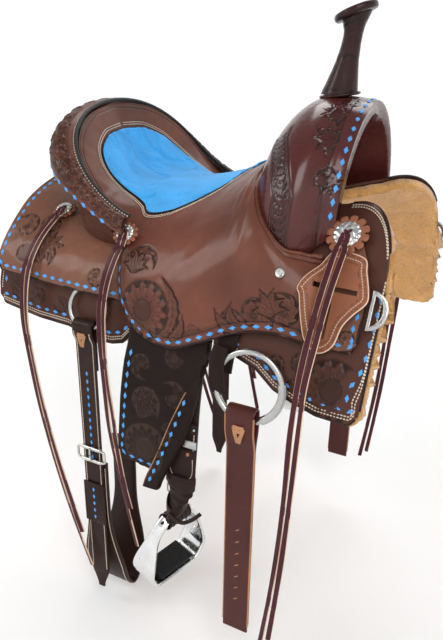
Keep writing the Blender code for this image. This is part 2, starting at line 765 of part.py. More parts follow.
def concho(side, label, spot):
    """Silver concho on its scalloped leather rosette."""
    silver, rosette = CONCHO_PLACES[spot][2:]
    scallops = 12
    outline = []
    for i in range(scallops * 2):
        turn = math.pi * i / scallops
        radius = rosette if i % 2 == 0 else rosette * 0.93
        outline.append((radius * math.cos(turn), radius * math.sin(turn)))
    frame = concho_frame(side, spot)
    obj = flat_plate(f"concho_{label}_{spot}", outline, 0.0030, "engraved_silver", frame)
    bm = bmesh.new()
    bm.from_mesh(obj.data)
    inverse = frame.inverted()
    caps = [face for face in bm.faces if len(face.verts) > 4
            or all((inverse @ vert.co).z > 0.001 for vert in face.verts)]
    top = [face for face in caps if all((inverse @ v.co).z > 0.001 for v in face.verts)]
    if len(top) > 1:
        joined = bmesh.ops.dissolve_faces(bm, faces=top)
        top = joined["region"]
    bmesh.ops.inset_region(bm, faces=top, thickness=rosette - silver)
    rise = (frame.to_3x3() @ Vector((0.0, 0.0, 1.0))).normalized() * 0.0025
    inner = [face for face in top if face.is_valid]
    grown = bmesh.ops.extrude_face_region(bm, geom=inner)
    moved = [item for item in grown["geom"] if isinstance(item, bmesh.types.BMVert)]
    bmesh.ops.delete(bm, geom=[f for f in inner if f.is_valid], context="FACES_ONLY")
    bmesh.ops.translate(bm, verts=moved, vec=rise)
    centre = frame.translation
    for vert in moved:
        vert.co = centre + (vert.co - centre) * 0.90 + rise * 0.1
    bmesh.ops.recalc_face_normals(bm, faces=bm.faces)
    bm.to_mesh(obj.data)
    bm.free()


# Each saddle string is one lace: it hangs, goes up behind its concho and hangs again.
STRING_RADIUS = 0.0025
STRING_ROUTES = {
    "front": (((0.248, -0.197, 0.206), (0.246, -0.239, 0.161), (0.242, -0.265, 0.110),
               (0.239, -0.288, 0.050), (0.236, -0.298, -0.030), (0.233, -0.298, -0.140),
               (0.227, -0.298, -0.250), (0.218, -0.298, -0.350), (0.208, -0.298, -0.440)),
              ((0.259, -0.197, 0.205), (0.257, -0.239, 0.159), (0.253, -0.268, 0.105),
               (0.250, -0.293, 0.045), (0.248, -0.301, -0.030), (0.243, -0.301, -0.140),
               (0.237, -0.301, -0.250), (0.229, -0.301, -0.350), (0.221, -0.300, -0.425))),
    "middle": (((-0.098, -0.224, 0.163), (-0.102, -0.249, 0.128), (-0.104, -0.263, 0.080),
                (-0.103, -0.270, 0.020), (-0.098, -0.271, -0.060), (-0.092, -0.271, -0.140),
                (-0.078, -0.271, -0.220), (-0.062, -0.271, -0.300), (-0.046, -0.271, -0.370)),
               ((-0.088, -0.226, 0.163), (-0.092, -0.252, 0.126), (-0.094, -0.266, 0.078),
                (-0.093, -0.272, 0.020), (-0.089, -0.273, -0.045), (-0.083, -0.273, -0.110),
                (-0.076, -0.273, -0.180), (-0.066, -0.273, -0.240), (-0.056, -0.273, -0.290))),
    "rear": (((-0.264, -0.169, 0.184), (-0.269, -0.214, 0.152), (-0.272, -0.247, 0.105),
              (-0.271, -0.262, 0.030), (-0.259, -0.266, -0.060), (-0.240, -0.270, -0.160),
              (-0.214, -0.271, -0.270), (-0.184, -0.272, -0.370), (-0.150, -0.273, -0.460)),
             ((-0.254, -0.171, 0.184), (-0.258, -0.216, 0.152), (-0.261, -0.249, 0.103),
              (-0.260, -0.264, 0.030), (-0.249, -0.268, -0.055), (-0.232, -0.272, -0.140),
              (-0.212, -0.273, -0.230), (-0.190, -0.274, -0.310), (-0.166, -0.275, -0.385))),
}


def saddle_string(side, label, spot):
    """Lace with two hanging tails, as one tube."""
    first, second = STRING_ROUTES[spot]
    top_a = Vector(first[0])
    top_b = Vector(second[0])
    crown = (top_a + top_b) / 2 + Vector((0.0, -0.002, 0.010))
    route = [tuple(p) for p in reversed(first)] + [tuple(crown)] + [tuple(p) for p in second]
    count = 26
    curve = bpy.data.curves.new(f"saddle_string_{label}_{spot}", "CURVE")
    curve.dimensions = "3D"
    curve.bevel_depth = STRING_RADIUS
    curve.bevel_resolution = 2
    curve.use_fill_caps = True
    curve.resolution_u = 1
    curve.render_resolution_u = 0
    line = curve.splines.new("POLY")
    line.points.add(count - 1)
    for index, point in enumerate(line.points):
        at = Vector(spline(route, index / (count - 1)))
        point.co = (*mirrored(at, side), 1.0)
    name = f"saddle_string_{label}_{spot}"
    colour, roughness, metallic = FINISHES["string_leather"]
    curve.materials.append(finish_material(f"{name}_lace", colour, roughness, metallic))
    obj = bpy.data.objects.new(name, curve)
    bpy.data.collections[COLLECTION].objects.link(obj)


# Rigging.

FRONT_TUG_ROUTE = ((0.117, -0.2315, 0.104), (0.117, -0.2433, 0.082), (0.116, -0.2530, 0.060),
                   (0.114, -0.2590, 0.038), (0.112, -0.2610, 0.018))
REAR_TUG_ROUTE = (tuple(flank_at(-0.142, 0.128, 0.0040)), tuple(flank_at(-0.142, 0.108, 0.0050)))


def rig_strap(side, label, name, route, width):
    """Leather tug that ties a ring to the tree under the jockeys."""
    def path(v):
        return Vector(spline(route, v))

    def spread(v):
        return Vector((1.0, 0.0, 0.0))

    strap(f"{name}_{label}", path, 5, width, STRAP_THICK, "saddle_leather", spread, side)


def hanging_ring(side, label, name, centre, radius, wire, finish, lean):
    """Steel ring whose plane leans with the flank."""
    place = mirrored(centre, side)
    return torus(f"{name}_{label}", place, radius, wire, finish, lean * side)


def off_billet(side, label, name):
    """Doubled strap that hangs in the front ring."""
    loop_z = FRONT_RING.z - FRONT_RING_RADIUS
    out = FRONT_RING.y - math.sin(FRONT_RING_LEAN) * FRONT_RING_RADIUS
    clear = FRONT_RING_WIRE + 0.0035 + STRAP_THICK / 2
    rise = FRONT_RING_WIRE + STRAP_THICK / 2 + 0.0020
    centre = Vector((FRONT_RING.x - 0.004, out + 0.0015, loop_z + 0.013))
    leg = BILLET_BOTTOM_Z - centre.z

    def path(v):
        if v < 0.40:
            drop = leg * (1.0 - v / 0.40)
            squeeze = mix(STRAP_THICK / 2 + GAP, clear, ramp(drop, -0.065, -0.022))
            return centre + Vector((0.0, -squeeze, drop))
        if v > 0.60:
            drop = (leg + 0.012) * (v - 0.60) / 0.40
            squeeze = mix(STRAP_THICK / 2 + GAP, clear, ramp(drop, -0.065, -0.022))
            return centre + Vector((0.0, squeeze, drop))
        turn = math.pi * (v - 0.40) / 0.20
        return centre + Vector((0.0, -clear * math.cos(turn), rise * math.sin(turn)))

    def spread(v):
        return Vector((1.0, 0.0, 0.0))

    strap(f"{name}_{label}", path, 40, BILLET_WIDTH, STRAP_THICK, "latigo_leather", spread, side)


BUCKLE_Z = -0.212
BUCKLE_OUT = 0.0174


def rear_billet(side, label):
    """Strap from the rear ring, doubled at the top, with its free end below."""
    loop_z = REAR_RING.z - REAR_RING_RADIUS
    out = REAR_RING.y - math.sin(REAR_RING_LEAN) * REAR_RING_RADIUS
    clear = REAR_RING_WIRE + 0.0034 + STRAP_THICK / 2
    rise = REAR_RING_WIRE + STRAP_THICK / 2 + 0.0028
    centre = Vector((REAR_RING.x, out + 0.0008, loop_z + 0.0065))
    leg = -0.520 - centre.z
    fold = -0.080

    def path(v):
        if v < 0.70:
            drop = leg * (1.0 - v / 0.70)
            squeeze = mix(STRAP_THICK / 2 + GAP, clear, ramp(drop, -0.032, -0.011))
            return centre + Vector((0.0, -squeeze, drop))
        if v > 0.86:
            drop = fold * (v - 0.86) / 0.14
            squeeze = mix(STRAP_THICK / 2 + GAP, clear, ramp(drop, -0.032, -0.011))
            return centre + Vector((0.0, squeeze, drop))
        turn = math.pi * (v - 0.70) / 0.16
        return centre + Vector((0.0, -clear * math.cos(turn), rise * math.sin(turn)))

    def spread(v):
        return Vector((1.0, 0.0, 0.0))

    def width(v):
        return REAR_BILLET_WIDTH * mix(0.35, 1.0, ramp(v, 0.0, 0.06))

    strap(f"rear_billet_{label}", path, 48, width, STRAP_THICK, "saddle_leather", spread, side)


def buckle(name, centre, width, height, wire, finish, side):
    """Rectangular buckle frame around a strap, with no tongue."""
    outer = rounded_box(width, height, 0.006)
    inner = rounded_box(width - wire * 2, height - wire * 2, 0.003)
    matrix = plane_matrix(mirrored(centre, side), Vector((0.0, side * 1.0, 0.0)))
    obj = flat_plate(name, outer, wire, finish, matrix, (inner,))
    tidy_normals(obj)
    return obj


def rounded_box(width, height, radius):
    """Outline of a rectangle with round corners."""
    points = []
    for turn, sx, sy in ((0, 1, 1), (90, -1, 1), (180, -1, -1), (270, 1, -1)):
        for step in (0, 45, 90):
            angle = math.radians(turn + step)
            x = sx * (width / 2 - radius) + radius * math.cos(angle)
            y = sy * (height / 2 - radius) + radius * math.sin(angle)
            points.append((x, y))
    return points


def flank_cinch():
    """Wide belly strap, folded and buckled at both ends to the off-side billet."""
    top_z = BUCKLE_Z - 0.019
    half = 0.0440

    def path(v):
        turn = math.pi * v
        drop = 0.300
        y = -0.2065 - half * math.cos(turn)
        z = top_z - drop * math.sin(turn) ** 0.55
        return Vector((REAR_RING.x, y, z))

    def spread(v):
        return Vector((1.0, 0.0, 0.0))

    def width(v):
        return mix(0.050, 0.092, ramp(math.sin(math.pi * v), 0.15, 0.7))

    strap("flank_cinch", path, 36, width, 0.0060, "saddle_leather", spread)


DEE_PIVOT = (0.3035, 0.133)
DEE_LIFT = 0.0110
DEE_BAR_X = 0.0062


def breast_dee(side, label):
    """Flat steel half ring at the skirt's front edge."""
    x, z = DEE_PIVOT
    frame = side_frame(side, x, z, DEE_LIFT)
    outer, inner = [], []
    for i in range(13):
        turn = math.radians(-90.0 + 180.0 * i / 12)
        outer.append((0.0245 * math.cos(turn), 0.0275 * math.sin(turn)))
        inner.append((0.0180 * math.cos(turn), 0.0210 * math.sin(turn)))
    outer = [(0.0, -0.0275)] + outer + [(0.0, 0.0275)]
    inner = [(0.0045, -0.0205)] + [p for p in inner if p[0] > 0.005] + [(0.0045, 0.0205)]
    outline = [(x + 0.004, y) for x, y in outer]
    hole = [(x + 0.004, y) for x, y in inner]
    obj = flat_plate(f"breast_dee_{label}", outline, 0.0040, "nickel_steel", frame, (hole,))
    tidy_normals(obj)


# Fenders, stirrup leathers and stirrups.

def fender_y(z):
    """How far out the fender hangs, as a positive distance."""
    rows = ((-0.250, 0.303), (-0.150, 0.297), (-0.060, 0.284), (0.000, 0.271),
            (0.022, 0.2610), (0.040, 0.2530), (0.065, 0.2465), (0.092, 0.2440))
    return table(rows, z)


FENDER_REAR_EDGE = ((-0.190, -0.062), (-0.080, -0.056), (0.040, -0.052), (0.092, -0.050))
FENDER_FOLD_EDGE = ((-0.255, 0.030), (-0.180, 0.048), (-0.130, 0.064), (-0.077, 0.078),
                    (-0.029, 0.083), (0.010, 0.085), (0.092, 0.085))
FENDER_CUT_EDGE = ((-0.255, -0.004), (-0.180, 0.012), (-0.130, 0.030), (-0.077, 0.044),
                   (-0.029, 0.062), (0.010, 0.079), (0.040, 0.0845), (0.092, 0.0849))
FENDER_CURL = 0.0075


def fender(side, label):
    """Fender with its front edge curled out over its face."""
    flat_share = 0.60
    bend_share = 0.26

    def place(u, v):
        low = mix(FENDER_BOTTOM_Z, FENDER_TIP_Z, ramp(u, 0.45, 0.80))
        z = mix(FENDER_TOP_Z, low, v)
        rear = table(FENDER_REAR_EDGE, z)
        fold = table(FENDER_FOLD_EDGE, z)
        cut = table(FENDER_CUT_EDGE, z)
        reach = fold - cut
        curl = FENDER_CURL * ramp(reach, 0.0, 0.020)
        yaw = math.radians(20.0) * ramp(-z, 0.02, 0.22)
        out = 0.0
        if u <= flat_share:
            along = mix(rear, fold - curl, u / flat_share)
        elif u <= flat_share + bend_share:
            turn = math.pi * (u - flat_share) / bend_share
            along = fold - curl + curl * math.sin(turn)
            out = curl * (1.0 - math.cos(turn))
            along = mix(along, fold, 1.0 - ramp(reach, 0.0, 0.006))
        else:
            past = (u - flat_share - bend_share) / (1.0 - flat_share - bend_share)
            along = mix(fold - curl, cut, past)
            out = curl * (2.0 + 0.5 * past)
        hem = 0.0035 * (u if curl < 0.001 else 0.0)
        swing = (along - FENDER_CENTRE_X) * math.sin(yaw) * 0.45
        return Vector((along + hem, -(fender_y(z) + out + swing), z))

    sided_shell(f"fender_{label}", side, 18, 11, place, FENDER_THICK, "fender_leather", flip=True,
                offset=1.0)


def stirrup_frame():
    """Middle of the tread: X along the tread, Y across it, Z up."""
    along = Vector((math.cos(STIRRUP_YAW), math.sin(STIRRUP_YAW), 0.0))
    across = Vector((math.sin(STIRRUP_YAW), -math.cos(STIRRUP_YAW), 0.0))
    lean = Vector((0.0, 0.0, 1.0)) + across * 0.16
    up = lean.normalized()
    across = along.cross(up) * -1.0
    matrix = Matrix((along, across, up)).transposed().to_4x4()
    matrix.translation = STIRRUP_CENTRE
    return matrix


def stirrup_leather(side, label):
    """Doubled strap inside the fender that carries the stirrup's bolt."""
    frame = stirrup_frame()
    bolt = frame @ Vector((0.0, 0.0, STIRRUP_HEIGHT))
    route = ((0.060, -0.2365, 0.092), (0.060, -0.2415, 0.062), (0.060, -0.2475, 0.042),
             (0.060, -0.2565, 0.020), (0.060, -0.2655, 0.000), (0.060, -0.2740, -0.035),
             (0.060, -0.2795, -0.070), (0.060, -0.2870, -0.130), (0.056, -0.2890, -0.190),
             (bolt.x, bolt.y, bolt.z + 0.008))

    def path(v):
        return Vector(spline(route, v))

    def spread(v):
        twist = STIRRUP_YAW * ramp(v, 0.80, 0.985)
        return Vector((math.cos(twist), math.sin(twist) * -1.0, 0.0))

    def width(v):
        return mix(0.045, 0.040, ramp(v, 0.80, 0.95))

    strap(f"stirrup_leather_{label}", path, 26, width, 0.0060, "fender_leather", spread, side)


def box_solid(name, size, matrix, finish, bevel=0.0):
    """Box placed by a matrix, with its edges eased."""
    bm = bmesh.new()
    bmesh.ops.create_cube(bm, size=1.0)
    bmesh.ops.scale(bm, vec=size, verts=bm.verts)
    if bevel:
        bmesh.ops.bevel(bm, geom=bm.edges[:] + bm.verts[:], offset=bevel, segments=1,
                        affect="EDGES", profile=0.5)
    bmesh.ops.transform(bm, matrix=matrix, verts=bm.verts)
    if matrix.determinant() < 0.0:
        bmesh.ops.reverse_faces(bm, faces=bm.faces)
    mesh = bpy.data.meshes.new(name)
    bm.to_mesh(mesh)
    bm.free()
    return add_object(name, mesh, finish)


def sided_matrix(matrix, side):
    """A right-hand placing, or its mirror on the left."""
    if side == RIGHT:
        return matrix
    return Matrix.Scale(-1.0, 4, (0.0, 1.0, 0.0)) @ matrix


def stirrup(side, label):
    """Bright stirrup, its rubber tread and the keeper on its leather."""
    frame = sided_matrix(stirrup_frame(), side)
    half = STIRRUP_WIDTH / 2
    outline = ((-0.020, STIRRUP_HEIGHT), (-0.034, STIRRUP_HEIGHT - 0.012),
               (-half * 0.80, STIRRUP_HEIGHT * 0.70), (-half, STIRRUP_HEIGHT * 0.28),
               (-half * 0.92, 0.012), (-half * 0.70, -0.004), (0.0, -0.006),
               (half * 0.70, -0.004), (half * 0.92, 0.012), (half, STIRRUP_HEIGHT * 0.28),
               (half * 0.80, STIRRUP_HEIGHT * 0.70), (0.034, STIRRUP_HEIGHT - 0.012),
               (0.020, STIRRUP_HEIGHT))
    thick = 0.0055

    def place(u, v):
        a, b = spline(outline, v)
        ahead = Vector(spline(outline, min(v + 0.01, 1.0))) - Vector(spline(outline, max(v - 0.01, 0.0)))
        ahead.normalize()
        wide = mix(0.020, STIRRUP_TREAD_DEPTH, ramp(1.0 - b / STIRRUP_HEIGHT, 0.1, 0.8))
        corners = ((-1, -1), (1, -1), (1, 1), (-1, 1))
        i, j = corners[int(round(u * 4)) % 4]
        point = Vector((a - ahead.y * j * thick / 2, i * wide / 2, b + ahead.x * j * thick / 2))
        return frame @ point

    loop_solid(f"stirrup_{label}", 4, 40, place, "bright_aluminium")
    shift = Matrix.Translation((0.0, 0.0, 0.0062))
    box_solid(f"stirrup_tread_{label}", (STIRRUP_WIDTH * 0.62, STIRRUP_TREAD_DEPTH - 0.006, 0.0055),
              frame @ shift, "tread_rubber", 0.0015)


def hobble_strap(side, label):
    """Strap buckled round the neck of the stirrup leathers."""
    centre = Vector((0.0566, -0.3008, -0.2085))

    def place(u, v):
        turn = 2.0 * math.pi * v
        corners = ((0.0, -1), (1.0, -1), (1.0, 1), (0.0, 1))
        out, high = corners[int(round(u * 4)) % 4]
        a = (0.034 + out * 0.003) * math.cos(turn)
        b = (0.014 + out * 0.003) * math.sin(turn)
        yaw = -STIRRUP_YAW * 0.94
        x = centre.x + a * math.cos(yaw) - b * math.sin(yaw)
        y = centre.y + a * math.sin(yaw) + b * math.cos(yaw)
        return mirrored(Vector((x, y, centre.z + high * 0.0075)), side)

    loop_solid(f"hobble_strap_{label}", 4, 20, place, "fender_leather")


def hinge_points(side):
    """Point on the joint axis of each moving piece of one side."""
    bolt = stirrup_frame() @ Vector((0.0, 0.0, STIRRUP_HEIGHT))
    x, z = DEE_PIVOT
    bar = flank_at(x, z, DEE_LIFT) + Vector((DEE_BAR_X, 0.0, 0.0))
    points = {"fender": FENDER_HINGE, "stirrup_leather": FENDER_HINGE,
              "hobble_strap": FENDER_HINGE, "stirrup": bolt, "stirrup_tread": bolt,
              "off_billet": FRONT_RING, "latigo": FRONT_RING, "rear_billet": REAR_RING,
              "breast_dee": bar}
    return {name: mirrored(point, side) for name, point in points.items()}


def place_origins():
    """Puts the origin of every moving piece on its joint axis."""
    made = bpy.data.collections[COLLECTION].objects
    for label, side in SIDES.items():
        for name, point in hinge_points(side).items():
            obj = made.get(f"{name}_{label}")
            if obj is not None:
                move_origin(obj, point)
    buckle_pin = Vector((REAR_RING.x, REAR_RING.y - BUCKLE_OUT, BUCKLE_Z))
    move_origin(made["cinch_buckle"], REAR_RING)
    move_origin(made["flank_cinch"], buckle_pin)


def move_origin(obj, point):
    """Shifts an object's origin and leaves its shape in place."""
    obj.data.transform(Matrix.Translation(-point))
    obj.location = point


def start_scene():
    """Clears the objects and makes the collection."""
    for obj in list(bpy.data.objects):
        bpy.data.objects.remove(obj)
    collection = bpy.data.collections.new(COLLECTION)
    bpy.context.scene.collection.children.link(collection)


def build():
    """Makes every piece of the saddle."""
    start_scene()
    swell()
    horn()
    cantle()
    seat()
    flank_cinch()
    for label, side in SIDES.items():
        tree_bar(side)
        skirts(side, label)
        rear_jockey(side, label)
        front_jockey(side, label)
        latigo_keeper(side, label)
        for spot in CONCHO_PLACES:
            concho(side, label, spot)
            saddle_string(side, label, spot)
        rig_strap(side, label, "front_rig_strap", FRONT_TUG_ROUTE, 0.030)
        rig_strap(side, label, "rear_rig_strap", REAR_TUG_ROUTE, 0.028)
        hanging_ring(side, label, "front_ring", FRONT_RING, FRONT_RING_RADIUS,
                     FRONT_RING_WIRE, "nickel_steel", FRONT_RING_LEAN)
        hanging_ring(side, label, "rear_ring", REAR_RING, REAR_RING_RADIUS,
                     REAR_RING_WIRE, "nickel_steel", REAR_RING_LEAN)
        rear_billet(side, label)
        breast_dee(side, label)
        fender(side, label)
        stirrup_leather(side, label)
        hobble_strap(side, label)
        stirrup(side, label)
    off_billet(RIGHT, "right", "off_billet")
    off_billet(LEFT, "left", "latigo")
    buckle("cinch_buckle", Vector((REAR_RING.x, REAR_RING.y - BUCKLE_OUT, BUCKLE_Z)),
           0.062, 0.030, 0.0045, "nickel_steel", RIGHT)
    place_origins()


build()
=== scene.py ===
"""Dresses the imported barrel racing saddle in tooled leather, suede, lace, steel and fleece.

+X points to the horse's head, +Y to the horse's left, +Z up, in metres, as in the
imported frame. Each piece is shaped on the right side and mirrored to the left one.
"""

import logging
import math
from collections.abc import Callable, Sequence
from dataclasses import dataclass, field, replace
from enum import Enum

import bmesh
import bpy
import numpy as np
from mathutils import Matrix, Vector


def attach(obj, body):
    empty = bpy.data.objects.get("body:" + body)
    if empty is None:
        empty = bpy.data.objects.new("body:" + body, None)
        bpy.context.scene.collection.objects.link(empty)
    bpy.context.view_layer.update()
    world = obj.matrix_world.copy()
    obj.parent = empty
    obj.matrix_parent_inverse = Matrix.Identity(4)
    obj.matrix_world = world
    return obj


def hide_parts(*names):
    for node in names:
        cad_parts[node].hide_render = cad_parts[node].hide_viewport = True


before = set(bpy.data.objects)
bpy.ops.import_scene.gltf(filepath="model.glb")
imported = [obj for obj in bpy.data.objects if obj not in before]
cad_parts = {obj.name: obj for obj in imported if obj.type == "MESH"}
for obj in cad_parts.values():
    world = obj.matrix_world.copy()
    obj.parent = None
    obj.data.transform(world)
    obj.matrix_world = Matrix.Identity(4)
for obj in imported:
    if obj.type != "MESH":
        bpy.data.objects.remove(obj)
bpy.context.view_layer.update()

Array = np.ndarray
Surface = Callable[[Array, Array], Array]
Colour = tuple[float, float, float]
Place = tuple[float, float, float]

FULL_TURN = 2.0 * math.pi
UP: Place = (0.0, 0.0, 1.0)
OUT: Place = (0.0, -1.0, 0.0)
WELD = 0.00001

logging.basicConfig(level=logging.INFO, format="%(message)s")
log = logging.getLogger("saddle")


class Side(Enum):
    """The two sides of the saddle, as the sign of their Y."""

    RIGHT = -1
    LEFT = 1


class Slot(Enum):
    """Material slots of the record."""

    SADDLE = "saddle_leather"
    JOCKEY = "jockey_leather"
    KEEPER = "keeper_leather"
    SWELL = "swell_leather"
    FENDER = "fender_leather"
    LATIGO = "latigo_leather"
    STRING = "string_leather"
    SUEDE = "blue_suede"
    BINDING = "black_binding"
    FLEECE = "gold_fleece"
    SILVER = "engraved_silver"
    STEEL = "nickel_steel"
    ALUMINIUM = "bright_aluminium"
    RUBBER = "tread_rubber"
    TREE = "tree_fibre"


# Numbers and curves.

def smooth(t: Array) -> Array:
    """Eases values from 0 to 1."""
    t = np.clip(t, 0.0, 1.0)
    return t * t * (3.0 - 2.0 * t)


def ramp(value: Array, low: float, high: float) -> Array:
    """Eased share of the way from low to high."""
    return smooth((value - low) / (high - low))


def mix(a: Array, b: Array, t: Array) -> Array:
    """Values a share t of the way from a to b."""
    return a + (b - a) * t


def spline(rows: Sequence, t: Array) -> Array:
    """Points along a smooth curve through evenly weighted rows.

    Args:
        rows: Points of any one dimension.
        t: Shares of the way along, from 0 to 1.

    Returns:
        One row for each share.
    """
    rows = np.asarray(rows, float)
    count = len(rows) - 1
    at = np.clip(np.atleast_1d(t), 0.0, 1.0) * count
    index = np.minimum(at.astype(int), count - 1)
    local = (at - index)[:, None]
    before = rows[np.maximum(index - 1, 0)]
    start = rows[index]
    end = rows[index + 1]
    after = rows[np.minimum(index + 2, count)]
    value = 2.0 * start + (end - before) * local
    value += (2.0 * before - 5.0 * start + 4.0 * end - after) * local ** 2
    value += (3.0 * start - before - 3.0 * end + after) * local ** 3
    return value / 2.0


def table(rows: Sequence, x: Array) -> Array:
    """Linear reading of (x, value) rows."""
    rows = np.asarray(rows, float)
    return np.interp(x, rows[:, 0], rows[:, 1])


def even_rows(rows: Sequence, t: Array) -> tuple[Array, Array]:
    """Linear reading of evenly weighted (a, b) rows at shares t."""
    rows = np.asarray(rows, float)
    at = t * (len(rows) - 1)
    index = np.arange(len(rows))
    return np.interp(at, index, rows[:, 0]), np.interp(at, index, rows[:, 1])


def unit(vectors: Array) -> Array:
    """Rows scaled to length 1."""
    return vectors / np.maximum(np.linalg.norm(vectors, axis=-1, keepdims=True), 1e-9)


def heading(path: Callable[[Array], Array], v: Array, step: float) -> Array:
    """Unit directions of a path at shares v."""
    return unit(path(np.minimum(v + step, 1.0)) - path(np.maximum(v - step, 0.0)))


def slopes(surface: Surface, u: Array, v: Array, step: float) -> tuple[Array, Array]:
    """Differences of a surface along u and along v."""
    along = surface(np.minimum(u + step, 1.0), v) - surface(np.maximum(u - step, 0.0), v)
    across = surface(u, np.minimum(v + step, 1.0)) - surface(u, np.maximum(v - step, 0.0))
    return along, across


def run_of(points: Array) -> Array:
    """Distance run at each point of a line."""
    return np.concatenate(([0.0], np.cumsum(np.linalg.norm(np.diff(points, axis=0), axis=1))))


def even_width(width: float) -> Callable[[Array], Array]:
    """The same width all along a strap."""
    return lambda v: np.full(len(v), width)


def axes_matrix(x_axis: Vector, y_axis: Vector, z_axis: Vector, place: Vector) -> Matrix:
    """Matrix with these axes, at a place."""
    matrix = Matrix((x_axis, y_axis, z_axis)).transposed().to_4x4()
    matrix.translation = place
    return matrix


def wave(points: Array, size: float, seed: float = 0.0) -> Array:
    """Smooth waves from -1 to 1 in space, for hand-made unevenness.

    Args:
        points: Rows of X, Y and Z.
        size: Rough width of one bump, in metres.
        seed: Shifts the pattern.

    Returns:
        One value for each point.
    """
    total = np.zeros(len(points))
    turns = ((1.0, 0.6, 0.3), (-0.5, 1.0, 0.7), (0.4, -0.8, 1.0), (0.9, 0.2, -0.9))
    for index, turn in enumerate(turns):
        phase = points @ np.array(turn) * (6.3 / size) * (1.0 + 0.37 * index) + seed * (index + 1.7)
        total += np.sin(phase + 0.9 * np.sin(phase * 0.53 + seed))
    return total / len(turns)


# The flank that skirts, jockeys and straps lie on.

@dataclass(frozen=True)
class Flank:
    """Outer face of the skirts, from rows of (y, z) at three stations along X."""

    stations: Place = (-0.35, 0.0, 0.315)
    rear: tuple = ((0.0012, 0.236), (0.069, 0.221), (0.117, 0.205), (0.155, 0.182),
                   (0.190, 0.140), (0.218, 0.090), (0.230, 0.035), (0.233, -0.030))
    middle: tuple = ((0.0012, 0.197), (0.070, 0.193), (0.120, 0.184), (0.165, 0.165),
                     (0.205, 0.132), (0.232, 0.088), (0.249, 0.040), (0.258, -0.030))
    front: tuple = ((0.040, 0.335), (0.085, 0.305), (0.130, 0.265), (0.170, 0.215),
                    (0.204, 0.150), (0.240, 0.085), (0.272, 0.015), (0.290, -0.030))

    def yz(self, x: Array, f: Array) -> Array:
        """Rows of (y, z) at stations x and shares f of the way down."""
        low, centre, high = self.stations
        weights = ((x - centre) * (x - high) / ((low - centre) * (low - high)),
                   (x - low) * (x - high) / ((centre - low) * (centre - high)),
                   (x - low) * (x - centre) / ((high - low) * (high - centre)))
        parts = (self.rear, self.middle, self.front)
        return sum(w[:, None] * spline(rows, f) for w, rows in zip(weights, parts))

    def normal(self, x: Array, f: Array) -> Array:
        """Outward rows of (y, z)."""
        step = self.yz(x, np.minimum(f + 0.01, 1.0)) - self.yz(x, np.maximum(f - 0.01, 0.0))
        return unit(np.column_stack((-step[:, 1], step[:, 0])))

    def share(self, x: Array, z: Array) -> Array:
        """Shares down the flank where its height is z."""
        low, high = np.zeros(len(x)), np.ones(len(x))
        for _ in range(18):
            middle = (low + high) / 2.0
            above = self.yz(x, middle)[:, 1] > z
            low = np.where(above, middle, low)
            high = np.where(above, high, middle)
        return (low + high) / 2.0

    def point(self, x: Array, f: Array, lift: Array = 0.0) -> Array:
        """Right-hand points, lifted off the skirts' outer face."""
        place = self.yz(x, f)
        out = self.normal(x, f)
        return np.column_stack((x, -(place[:, 0] + out[:, 0] * lift), place[:, 1] + out[:, 1] * lift))

    def at(self, x: Array, z: Array, lift: Array = 0.0) -> Array:
        """Right-hand points at heights z."""
        x, z = np.broadcast_arrays(np.atleast_1d(np.asarray(x, float)), np.asarray(z, float))
        return self.point(x, self.share(x, z), lift)

    def clear(self, points: Array, least: float) -> Array:
        """Points pushed out where they are closer to the flank than least."""
        low, high = np.zeros(len(points)), np.ones(len(points))
        x = points[:, 0]
        for _ in range(18):
            middle = (low + high) / 2.0
            place = self.yz(x, middle)
            out = self.normal(x, middle)
            beyond = (-points[:, 1] - place[:, 0]) * out[:, 1] - (points[:, 2] - place[:, 1]) * out[:, 0]
            low = np.where(beyond > 0.0, middle, low)
            high = np.where(beyond > 0.0, high, middle)
        place = self.yz(x, low)
        out = self.normal(x, low)
        gap = (-points[:, 1] - place[:, 0]) * out[:, 0] + (points[:, 2] - place[:, 1]) * out[:, 1]
        push = np.maximum(least - gap, 0.0)[:, None]
        return points + push * np.column_stack((np.zeros(len(x)), -out[:, 0], out[:, 1]))


FLANK = Flank()


# Materials.

